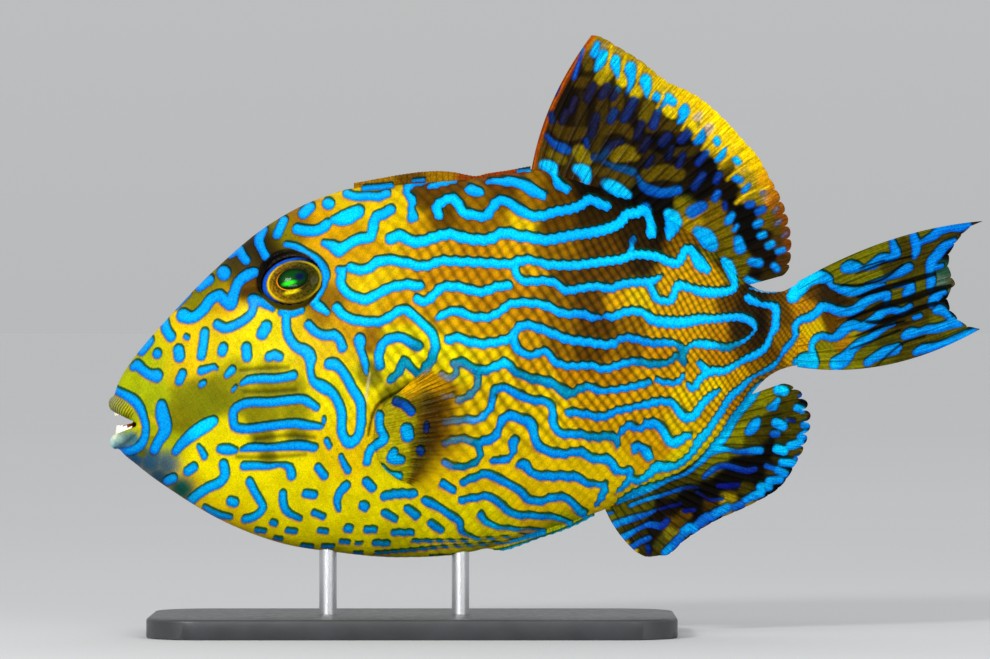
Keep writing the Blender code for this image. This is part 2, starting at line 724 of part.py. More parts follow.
def make_first_dorsal(finish):
    """A low crest: the first spine is stout, and the second and third lie against it."""
    crest_of = curve_through(FIRST_DORSAL_CREST)
    start, end = FIRST_DORSAL_CREST[0][0], FIRST_DORSAL_CREST[-1][0]
    shares = [0.0, 0.25, 0.5, 0.72, 0.9, 1.0]
    halves = [0.8, 0.95, 0.8, 1.0, 0.8, 0.25]
    columns = 22
    left = []
    for share, half in zip(shares, halves):
        row = []
        for j in range(columns + 1):
            s = j / columns
            x = start + (end - start) * s
            low = faceted(back_of, x) + GAP / MM
            high = max(float(crest_of(x)), low + 0.5)
            lying = sum(0.35 for tip in SPINE_TIPS if s < tip)
            half_here = FIRST_DORSAL_HALF_THICKNESS * half * (0.45 + 0.5 * lying) * (1 - 0.5 * s)
            row.append((x, -half_here, low + (high - low) * share))
        left.append(row)
    right = [[(x, -y, z) for x, y, z in row] for row in left]
    points, faces = leaf(left, right)
    return new_object("first_dorsal_fin", points, faces, finish)


def make_pelvic_flap(finish):
    """A thin keel of skin with short spines along its edge."""
    edge_of = curve_through(FLAP_EDGE)
    start, end = FLAP_EDGE[0][0], FLAP_EDGE[-1][0]
    columns = FLAP_SPINES * 2
    left = []
    for share in (0.0, 0.5, 1.0):
        row = []
        for j in range(columns + 1):
            s = j / columns
            x = start + (end - start) * s
            high = faceted(belly_of, x) - GAP / MM
            low = min(float(edge_of(x)), high - 0.5)
            if j % 2 == 0:
                low += 0.25 * (high - low)
            half = FLAP_HALF_THICKNESS * (1 - 0.6 * share) * (1.0 if j % 2 else 0.7)
            row.append((x, -half, high + (low - high) * share))
        left.append(row)
    right = [[(x, -y, z) for x, y, z in row] for row in left]
    points, faces = leaf(left, right)
    return new_object("pelvic_flap", points, faces, finish)


def make_base(finish):
    """A flat plate with round corners and a small bevel round its upper edge."""
    corner_steps = 6
    outline = []
    for quarter, (sx, sy) in enumerate(((1, 1), (-1, 1), (-1, -1), (1, -1))):
        for i in range(corner_steps + 1):
            turn = math.pi / 2 * (quarter + i / corner_steps)
            x = sx * (BASE_LENGTH / 2 - BASE_CORNER) + BASE_CORNER * math.cos(turn)
            y = sy * (BASE_DEPTH / 2 - BASE_CORNER) + BASE_CORNER * math.sin(turn)
            outline.append((x, y))
    rings = []
    for z, inset in ((0.0, 0.0), (BASE_HEIGHT - BASE_BEVEL, 0.0), (BASE_HEIGHT, BASE_BEVEL)):
        scale_x = 1 - 2 * inset / BASE_LENGTH
        scale_y = 1 - 2 * inset / BASE_DEPTH
        rings.append([(BASE_CENTRE + x * scale_x, y * scale_y, z) for x, y in outline])
    points, faces = lofted(rings)
    return new_object("stand_base", points, faces, finish)


def make_rod(name, x, finish):
    """A round rod whose top is hollowed to the belly it carries."""
    rings = []
    foot = BASE_HEIGHT + GAP / MM
    for level in ("foot", "top", "saddle"):
        radius = ROD_RADIUS * (0.5 if level == "saddle" else 1.0)
        ring = []
        for j in range(ROD_SIDES):
            turn = math.tau * j / ROD_SIDES
            px = x + radius * math.cos(turn)
            py = radius * math.sin(turn)
            pz = foot if level == "foot" else belly_at(px, py) - GAP / MM - 0.05
            ring.append((px, py, pz))
        rings.append(ring)
    points, faces = lofted(rings)
    return new_object(name, points, faces, finish)


def build():
    clear_scene()
    yellow = material("skin_yellow", SKIN_YELLOW, 0.4)
    brown = material("skin_brown", SKIN_BROWN, 0.45)
    fin_brown = material("fin_brown", FIN_BROWN, 0.5)
    fin_blue = material("fin_blue", FIN_BLUE, 0.5)
    gold = material("eye_gold", EYE_GOLD, 0.1)
    grey = material("stand_grey", STAND_GREY, 0.35)
    steel = material("rod_steel", ROD_STEEL, 0.3, 1.0)

    make_head(yellow)
    make_trunk(yellow)
    flesh("tail_stem", STEM_STATIONS, brown)
    eyeball("eye_left", -1, 0.0, gold)
    eyeball("eye_right", 1, 0.0, gold)
    make_first_dorsal(brown)
    make_dorsal_fin(fin_brown)
    make_anal_fin(fin_brown)
    make_tail_fin(fin_blue)
    make_pectoral_fin("pectoral_fin_left", -1, fin_brown)
    make_pectoral_fin("pectoral_fin_right", 1, fin_brown)
    make_pelvic_flap(yellow)
    make_base(grey)
    for name, x in ROD_PLACES.items():
        make_rod(name, x, steel)


build()
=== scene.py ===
"""Blueline triggerfish on a plain display stand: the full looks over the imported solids.

Lengths in the tables are millimetres, counted behind the snout and above the floor, as in the
part's own source. Places on the skin are given in pixels of the 990 x 659 photograph, where one
pixel is 0.4 mm, the snout is at pixel 108 and the floor at pixel 634.
"""

import math

import bmesh
import bpy
import numpy as np
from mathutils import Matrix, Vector

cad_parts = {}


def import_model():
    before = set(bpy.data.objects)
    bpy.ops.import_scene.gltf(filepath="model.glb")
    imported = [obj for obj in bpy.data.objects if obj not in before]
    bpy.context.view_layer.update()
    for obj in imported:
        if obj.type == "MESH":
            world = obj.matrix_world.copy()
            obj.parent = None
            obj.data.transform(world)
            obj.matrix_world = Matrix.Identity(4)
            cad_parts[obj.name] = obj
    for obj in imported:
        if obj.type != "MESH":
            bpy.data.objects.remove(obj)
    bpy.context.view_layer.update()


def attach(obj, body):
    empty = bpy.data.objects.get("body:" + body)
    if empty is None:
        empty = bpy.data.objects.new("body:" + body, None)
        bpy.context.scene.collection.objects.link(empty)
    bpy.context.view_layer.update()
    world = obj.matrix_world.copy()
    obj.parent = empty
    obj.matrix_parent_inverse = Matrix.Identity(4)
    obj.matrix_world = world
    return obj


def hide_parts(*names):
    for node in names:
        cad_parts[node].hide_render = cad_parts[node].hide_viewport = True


MM = 0.001
PHOTO_SIZE = (990, 659)
PIXEL = 0.4
SNOUT_U = 108.0
FLOOR_V = 634.0
TOTAL_LENGTH = 350.0

# Outline of the body alone, without fins, in millimetres: back, belly and half width.
BACK = [
    (1.2, 86.4), (1.7, 92.0), (2.6, 96.6), (4.4, 101.6), (8.0, 107.6), (12.8, 114.0), (20.8, 123.2),
    (28.8, 132.0), (36.8, 140.4), (44.8, 148.0), (52.8, 155.2), (60.8, 161.6), (68.8, 166.8),
    (76.8, 171.2), (84.8, 174.6), (96.8, 178.4), (108.8, 179.8), (120.8, 180.4), (132.8, 181.2),
    (144.8, 182.2), (156.8, 184.0), (164.8, 185.6), (170.0, 186.2), (184.8, 182.4), (200.8, 177.2),
    (216.8, 170.8), (232.8, 161.2), (244.8, 151.2), (256.0, 140.4), (262.8, 137.4), (268.8, 137.2),
    (275.6, 140.4), (283.0, 144.0), (292.5, 147.0),
]
BELLY = [
    (1.2, 86.4), (1.7, 81.0), (2.8, 77.0), (5.6, 72.4), (10.8, 68.0), (16.8, 63.2), (24.8, 57.6),
    (32.8, 52.4), (40.8, 47.6), (48.8, 43.6), (56.8, 40.2), (64.8, 37.4), (72.8, 35.2), (80.8, 33.8),
    (88.8, 32.8), (96.8, 31.8), (106.8, 30.8), (116.8, 30.4), (124.8, 30.5), (136.8, 31.2),
    (148.8, 33.4), (156.8, 35.4), (164.8, 38.4), (172.8, 41.2), (180.8, 43.4), (188.8, 46.0),
    (196.8, 48.8), (212.8, 56.4), (228.8, 64.4), (240.8, 74.0), (250.8, 85.6), (257.6, 95.6),
    (262.8, 101.6), (268.8, 105.4), (275.6, 107.2), (283.0, 107.6), (292.5, 108.4),
]
HALF_WIDTH = [
    (1.2, 0.4), (1.7, 3.4), (2.6, 5.4), (5.0, 8.0), (10.0, 10.4), (18.0, 12.8), (28.0, 15.2),
    (40.0, 18.0), (56.0, 21.6), (76.0, 25.2), (96.0, 27.6), (116.0, 28.8), (136.0, 28.6),
    (156.0, 27.0), (180.0, 23.6), (204.0, 19.4), (228.0, 14.6), (244.0, 11.2), (257.6, 8.8),
    (266.0, 7.6), (275.6, 6.6), (279.0, 5.6), (282.0, 4.3), (285.0, 3.1), (288.0, 2.0), (292.5, 0.4),
]
SIDE_POWER = [(0.0, 0.95), (60.0, 1.0), (120.0, 1.14), (230.0, 1.14), (275.6, 1.0), (292.5, 1.0)]
BODY_START = 1.2
BODY_END = 292.5
STEM_END = 275.6
SNOUT_STATIONS = [BODY_START, 1.3, 1.5, 1.8, 2.2, 2.8, 3.6, 4.6, 5.8, 7.4, 9.2, 11.4, 14.0, 17.0]
SKIN_VOXEL = 0.62

MOUTH_CORNER = (13.4, 83.9)
UPPER_EDGE_FRONT = (2.2, 89.2)
LOWER_EDGE_FRONT = (2.8, 79.8)
MOUTH_HALF_WIDTH = 10.2
JAW_CORNER_INSET = 0.2
LIP_REACH = 2.2
# Each lip: its name, its front edge, the rise of its middle, its half thickness and its half height.
LIPS = [
    ("upper_lip", UPPER_EDGE_FRONT, 2.9, 2.5, 3.2),
    ("lower_lip", LOWER_EDGE_FRONT, -2.9, 2.4, 3.2),
]
TONGUE_MIDDLE = (10.0, 81.6)
TONGUE_HALF_SIZE = (5.0, 6.4, 2.9)
TEETH_IN_A_ROW = 12
TOOTH_WIDTH = 2.5
TOOTH_THICKNESS = 1.7
LOWER_TEETH_LEVEL = 83.4
UPPER_TOOTH_HEIGHT = 1.5
# A tooth from below its root to its tip: share of its height, share of its width.
TOOTH_PROFILE = [(-0.6, 1.0), (0.2, 1.06), (0.7, 1.04), (0.9, 0.98), (1.0, 0.8)]

EYE_CENTRE = (74.2, 141.4)
EYE_HALF_LENGTH = 14.0
EYE_HALF_HEIGHT = 10.8
EYE_HALF_DEPTH = 8.0
EYE_BULGE = 3.0
EYE_TILT = math.radians(10.0)
RIM_HALF_LENGTH = 13.3
RIM_HALF_HEIGHT = 11.9
RIM_RADIUS = 1.0
SOCKET_GAP = 0.25
NOSTRILS = [(55.2, 140.6), (52.0, 143.2)]
GILL_SLIT = [
    (104.6, 80.0), (106.2, 87.2), (108.4, 91.6), (111.4, 94.2), (115.6, 96.6), (119.2, 98.6), (122.6, 100.2),
]
SCUTES = [
    (113.2, 99.4, 2.2, 1.8), (118.4, 103.0, 2.8, 2.2), (123.2, 107.6, 3.0, 2.4), (127.4, 111.8, 2.6, 2.2),
]

# Grooves of the cheek and before the eye, and the pale edge behind the gill slit, in the photo's pixels.
CHEEK_GROOVES = [
    ((239, 456), (255, 456.5), (271, 456), (290, 455), (307, 453.6)),
    ((258, 438), (275, 436), (294, 434.5), (316, 436.6)),
    ((246, 391), (270, 391), (298, 389)),
    ((243, 370), (265, 368), (290, 367)),
]
CHEEK_GROOVE_DEPTH = 0.25
EYE_GROOVE_DEPTH = 0.9
GILL_EDGE_HEIGHT = 0.35
EYE_GROOVE = ((232, 300), (243, 295), (254, 292), (262, 291))
GILL_EDGE = ((371, 374), (369, 386), (367, 400), (365, 416))
# Ovals round the eye, in the photo's pixels, as middle and half sizes: smooth skin, and the dark orbit.
SMOOTH_OVAL = (293, 281, 34, 30)
ORBIT_OVAL = (291, 280.5, 33.5, 31.5)
# The skin's unwrap: its length and half its girth, in millimetres. The eye's is in pixels.
UNWRAP_LENGTH = 300.0
UNWRAP_HALF_GIRTH = 110.0
EYE_UNWRAP = 80.0

FIRST_DORSAL_CREST = [
    (98.4, 180.4), (104.0, 181.4), (110.0, 182.6), (118.0, 184.0), (126.0, 185.0), (132.0, 185.3),
    (138.0, 184.9), (143.0, 183.9), (147.0, 183.3),
]
REAR_CREST = [(152.0, 184.4), (160.0, 185.6), (169.0, 187.3)]
SPINE_TIPS = (143.0, 131.0, 119.0)
FIN_ROOT_DEPTH = 1.6
MEMBRANE_HALF = 0.22
DORSAL_ROOT_SPAN = (169.2, 255.2)
DORSAL_MARGIN = [
    (193.6, 239.8), (198.0, 238.6), (201.6, 236.4), (212.8, 229.6), (224.8, 220.4), (230.8, 217.8),
    (236.8, 214.4), (248.8, 203.6), (254.8, 196.8), (259.6, 191.6), (264.0, 184.0), (268.8, 175.2),
    (272.0, 166.4), (273.4, 156.4), (272.8, 147.6), (270.8, 143.6),
]
DORSAL_RAYS = 26
ANAL_ROOT_SPAN = (198.4, 256.4)
ANAL_MARGIN = [
    (211.2, 32.8), (216.0, 30.8), (219.2, 31.2), (222.8, 31.4), (230.8, 37.6), (242.8, 45.2),
    (256.8, 51.6), (268.8, 58.8), (275.6, 68.8), (279.6, 77.6), (281.2, 85.6), (280.0, 92.0),
    (276.4, 97.6), (270.8, 100.6),
]
ANAL_RAYS = 23
TAIL_MARGIN = [
    (350.0, 165.2), (345.6, 163.2), (341.6, 159.6), (338.4, 155.2), (336.6, 151.2), (336.4, 147.2),
    (337.6, 143.2), (338.8, 140.0), (337.0, 137.4), (336.0, 134.2), (336.8, 130.4), (339.2, 127.2),
    (342.0, 124.4), (345.6, 122.8), (348.8, 122.0),
]
TAIL_RAYS = 12
TAIL_ROOT_SPAN = (140.8, 106.8)
PECTORAL_ROOT = [
    (116.8, 97.0), (112.4, 93.4), (108.4, 87.6), (106.8, 80.0), (107.8, 72.4), (111.2, 66.4), (116.4, 62.4),
]
PECTORAL_MARGIN = [
    (130.8, 109.2), (137.2, 110.0), (142.8, 108.0), (147.2, 104.0), (149.6, 98.4), (149.8, 91.6),
    (147.6, 83.6), (143.2, 75.6), (137.2, 68.4), (130.4, 62.8), (124.4, 60.4),
]
PECTORAL_RAYS = 15
PECTORAL_LOBE_SHARE = 0.42
PECTORAL_LOBE_THICKNESS = 2.8
PECTORAL_STAND_OFF = 7.0
FLAP_FOLDS = 14
FLAP_EDGE = [
    (148.0, 31.8), (152.8, 31.9), (158.8, 33.2), (164.8, 35.2), (172.8, 38.2), (180.8, 40.8), (186.8, 43.2),
    (191.6, 45.6), (194.6, 47.2),
]

BASE_LENGTH = 210.0
BASE_DEPTH = 104.0
BASE_HEIGHT = 8.0
BASE_CORNER = 22.0
BASE_CENTRE = 122.0
BASE_BEVEL = 1.2
ROD_RADIUS = 3.5
ROD_SINK = 0.2
ROD_PLACES = {"stand_rod_front": 88.0, "stand_rod_rear": 141.0}

WORLD_STRENGTH = 0.95
NADIR_SHARE = 0.52
LAMP_TARGET = (0.0, 0.0, 0.12)
# Studio lamps: name, place and size in metres, power in watts.
LAMPS = [
    ("key", (-1.0, -1.5, 0.97), (0.4, 0.3), 22.0),
    ("fill", (0.9, -1.5, 0.6), (0.8, 0.8), 9.0),
    ("low", (-0.6, -1.6, 0.3), (0.5, 0.14), 6.0),
    ("behind", (0.6, 1.8, 2.2), (1.2, 1.2), 5.0),
]
CAMERA_DISTANCE = 2.5
SENSOR_WIDTH = 36.0

# Colours as seen on screen.
LEMON = (240, 222, 0)
YELLOW = (236, 198, 0)
GOLD = (216, 160, 0)
ORANGE = (196, 134, 0)
OCHRE = (150, 104, 0)
BROWN = (96, 62, 0)
UMBER = (46, 30, 2)
SOOT = (18, 10, 2)
BLACK = (7, 5, 2)
OLIVE = (128, 122, 4)
DEEP_OLIVE = (104, 102, 2)
DIM_OLIVE = (60, 52, 2)
LIME = (170, 180, 4)
CYAN = (0, 196, 246)
SKY = (0, 168, 234)
AZURE = (0, 144, 220)
ROYAL = (6, 96, 190)
TEAL = (0, 130, 158)
FRINGE = (190, 108, 116)
RUST = (140, 58, 6)
GUM = (236, 116, 6)
SHADED_THROAT = (52, 18, 4)
GILL_PALE = (222, 206, 150)
RAY_GOLD = (226, 186, 4)
SPINE_ORANGE = (176, 78, 6)
FAN_GOLD = (196, 142, 4)
FAN_SHADE = (44, 28, 2)
TOOTH_WHITE = (255, 253, 244)
TOOTH_IVORY = (244, 236, 206)

# Ground colours of the skin: middle of a patch in the photo, its reach in pixels, its colour.
BODY_GROUND = [
    (125, 380, 18, LIME), (150, 352, 18, LIME), (150, 398, 12, LIME), (170, 330, 16, YELLOW),
    (190, 360, 16, YELLOW), (215, 335, 20, YELLOW), (240, 345, 22, LEMON), (270, 345, 22, LEMON),
    (300, 330, 14, YELLOW), (195, 395, 12, (122, 124, 4)), (215, 400, 14, (122, 124, 4)),
    (230, 385, 12, (138, 134, 4)), (182, 420, 11, OLIVE), (172, 442, 8, LIME), (152, 425, 5, YELLOW),
    (152, 443, 4, OLIVE), (240, 370, 9, (146, 140, 4)), (270, 369, 9, (150, 142, 4)),
    (270, 391, 8, (146, 140, 4)), (295, 390, 8, (150, 142, 4)), (225, 430, 10, LEMON), (215, 460, 18, LEMON),
    (190, 485, 10, YELLOW), (240, 485, 24, LEMON), (265, 413, 8, (140, 134, 4)), (300, 412, 8, (140, 134, 4)),
    (265, 438, 6, OLIVE), (300, 437, 6, OLIVE), (270, 456, 5, OLIVE), (300, 480, 30, LEMON),
    (340, 520, 26, LEMON), (290, 520, 24, LEMON), (230, 515, 16, YELLOW), (330, 400, 20, LEMON),
    (345, 450, 24, YELLOW), (320, 350, 16, YELLOW), (200, 300, 12, OLIVE), (225, 300, 10, GOLD),
    (215, 280, 12, OLIVE), (235, 262, 10, (70, 58, 16)), (250, 240, 12, (50, 40, 14)), (270, 243, 10, UMBER),
    (245, 285, 9, BROWN), (285, 232, 10, OLIVE), (300, 222, 12, OCHRE), (325, 215, 12, GOLD),
    (345, 205, 12, YELLOW), (320, 238, 9, GOLD), (345, 232, 12, GOLD), (370, 203, 12, YELLOW),
    (395, 222, 14, YELLOW), (335, 300, 10, OCHRE), (318, 318, 8, OCHRE), (350, 320, 12, GOLD),
    (340, 265, 12, GOLD), (370, 283, 16, YELLOW), (370, 254, 12, GOLD), (400, 300, 12, GOLD),
    (420, 235, 12, GOLD), (372, 340, 7, OCHRE), (400, 355, 14, LEMON), (372, 372, 6, OLIVE),
    (425, 195, 9, BROWN), (450, 192, 12, BROWN), (475, 200, 10, OCHRE), (500, 192, 12, BROWN),
    (530, 200, 10, OCHRE), (395, 200, 8, YELLOW), (385, 180, 9, OCHRE), (440, 176, 8, RUST),
    (500, 176, 9, RUST), (440, 226, 9, BROWN), (475, 226, 12, OCHRE), (500, 224, 9, OCHRE),
    (520, 226, 10, YELLOW), (555, 228, 12, BROWN), (600, 217, 14, UMBER), (560, 200, 10, BROWN),
    (590, 190, 12, SOOT), (630, 200, 16, SOOT), (655, 205, 14, SOOT), (660, 235, 16, SOOT),
    (635, 235, 12, UMBER), (690, 222, 10, OCHRE), (715, 225, 10, UMBER), (735, 250, 12, UMBER),
    (440, 252, 12, GOLD), (475, 252, 12, ORANGE), (510, 248, 14, GOLD), (560, 252, 12, OCHRE),
    (600, 248, 14, BROWN), (640, 245, 10, UMBER), (675, 247, 8, OCHRE), (688, 268, 7, GOLD),
    (700, 280, 9, GOLD), (720, 245, 7, OLIVE), (450, 276, 12, ORANGE), (485, 276, 12, ORANGE),
    (530, 273, 9, GOLD), (570, 276, 12, BROWN), (610, 274, 12, BROWN), (645, 270, 10, UMBER),
    (665, 278, 9, GOLD), (735, 268, 6, OLIVE), (455, 302, 12, GOLD), (490, 303, 12, ORANGE),
    (520, 293, 10, ORANGE), (555, 297, 10, OCHRE), (590, 301, 12, BROWN), (615, 300, 8, GOLD),
    (640, 296, 10, YELLOW), (670, 310, 10, GOLD), (700, 306, 12, GOLD), (725, 304, 8, BROWN),
    (745, 312, 10, UMBER), (758, 322, 8, SOOT), (740, 332, 10, UMBER), (755, 345, 8, UMBER),
    (715, 332, 8, ORANGE), (460, 328, 12, GOLD), (495, 329, 12, GOLD), (530, 316, 10, ORANGE),
    (560, 322, 10, OCHRE), (595, 328, 12, BROWN), (630, 325, 9, OCHRE), (665, 332, 12, GOLD),
    (695, 334, 12, GOLD), (528, 342, 8, GOLD), (560, 347, 9, OCHRE), (590, 353, 12, BROWN),
    (625, 351, 10, OCHRE), (660, 354, 9, ORANGE), (455, 352, 14, LEMON), (490, 356, 12, YELLOW),
    (530, 368, 10, GOLD), (570, 376, 10, ORANGE), (610, 377, 12, ORANGE), (650, 373, 10, GOLD),
    (690, 370, 10, GOLD), (720, 358, 12, ORANGE), (740, 350, 7, BROWN), (765, 355, 6, BROWN),
    (780, 320, 9, BROWN), (783, 335, 7, OCHRE), (760, 366, 8, OCHRE), (735, 380, 8, GOLD),
    (500, 380, 14, YELLOW), (550, 393, 12, YELLOW), (600, 401, 12, GOLD), (650, 393, 12, GOLD),
    (690, 400, 12, YELLOW), (712, 385, 8, YELLOW), (590, 424, 12, GOLD), (640, 415, 10, GOLD),
    (690, 428, 12, YELLOW), (530, 410, 12, YELLOW), (700, 415, 10, GOLD), (480, 430, 20, YELLOW),
    (520, 450, 20, YELLOW), (580, 443, 16, YELLOW), (640, 450, 14, GOLD), (440, 470, 22, YELLOW),
    (480, 465, 14, YELLOW), (560, 487, 16, YELLOW), (620, 462, 10, YELLOW), (430, 525, 24, LEMON),
    # The darker olive-yellow patches along the belly's lower edge, at pixels (400, 550) and (330, 550), are
    # painted shade.
    (480, 530, 18, LEMON), (540, 508, 12, YELLOW), (400, 550, 18, (190, 180, 0)),
    (330, 550, 14, (190, 180, 0)), (480, 548, 12, LIME), (560, 527, 10, LIME), (390, 480, 18, LEMON),
    (650, 480, 7, (216, 204, 0)), (628, 492, 6, (230, 200, 0)), (672, 471, 7, (232, 214, 0)),
    (690, 457, 7, LEMON), (703, 444, 7, LEMON), (716, 428, 6, (240, 200, 0)), (405, 400, 10, OLIVE),
    (395, 425, 9, GOLD), (430, 400, 14, OCHRE), (440, 440, 14, OCHRE), (730, 405, 6, ORANGE),
    (744, 388, 6, OCHRE), (270, 550, 14, YELLOW), (200, 512, 10, YELLOW), (805, 310, 8, ORANGE),
    (800, 345, 7, GOLD), (812, 329, 6, YELLOW), (812, 292, 6, BROWN), (822, 293, 7, UMBER),
    (832, 303, 6, UMBER), (835, 320, 7, BROWN), (823, 350, 7, OLIVE), (845, 343, 6, OCHRE),
    (858, 335, 5, OLIVE), (850, 258, 9, DEEP_OLIVE), (880, 247, 9, DEEP_OLIVE), (920, 232, 7, (90, 90, 2)),
    (845, 280, 6, DEEP_OLIVE), (870, 277, 6, DEEP_OLIVE), (895, 262, 8, DIM_OLIVE), (905, 250, 6, DIM_OLIVE),
    (928, 248, 6, DIM_OLIVE), (945, 236, 5, DIM_OLIVE), (920, 265, 7, DIM_OLIVE), (922, 282, 6, (84, 86, 2)),
    (893, 295, 6, (84, 82, 2)), (870, 303, 6, (66, 62, 2)), (860, 318, 7, UMBER), (895, 324, 7, (52, 40, 2)),
    (920, 312, 6, DIM_OLIVE), (940, 320, 5, (92, 92, 2)), (925, 340, 8, (72, 66, 2)),
    (960, 332, 6, (84, 84, 2)), (890, 340, 8, (68, 66, 2)), (868, 352, 7, (88, 84, 2)),
    (905, 352, 6, (64, 58, 2)), (880, 365, 8, (80, 78, 2)), (930, 357, 7, (64, 62, 2)),
    (858, 365, 6, DEEP_OLIVE), (975, 222, 8, (40, 34, 20)), (978, 329, 6, BLACK), (952, 283, 5, (70, 60, 20)),
    (946, 268, 5, (30, 70, 50)), (945, 283, 5, (70, 100, 80)), (945, 300, 5, BLACK), (948, 255, 5, BLACK),
]
# Patches of the chin and the lips, laid over that ground with a firmer edge.
CHIN_PATCHES = [
    (118, 449, 12, (16, 92, 144)), (136, 457, 12, (26, 80, 118)), (152, 462, 12, (50, 96, 124)),
    (168, 464, 10, (86, 108, 112)), (160, 477, 12, (16, 64, 88)), (182, 489, 11, (8, 86, 72)),
]
LIP_PATCHES = [
    (112, 399, 7, (150, 152, 110)), (120, 404, 6, (178, 176, 60)), (129, 410, 5, (200, 198, 8)),
    (136, 417, 4, (170, 180, 8)), (117, 410, 5, (132, 138, 70)), (128, 416, 4, (96, 104, 12)),
    (114, 436, 5, (246, 252, 216)), (111, 443, 5, (190, 244, 234)), (121, 440, 4, (150, 190, 176)),
    (127, 441, 6, (104, 140, 136)), (134, 438, 5, (70, 128, 140)), (118, 447, 4, (70, 130, 160)),
    (126, 450, 5, (0, 118, 190)), (141, 431, 3, (178, 184, 10)), (153, 428, 6, (176, 180, 4)),
    (152, 443, 5, (150, 150, 4)), (143, 452, 4, (96, 104, 4)),
]

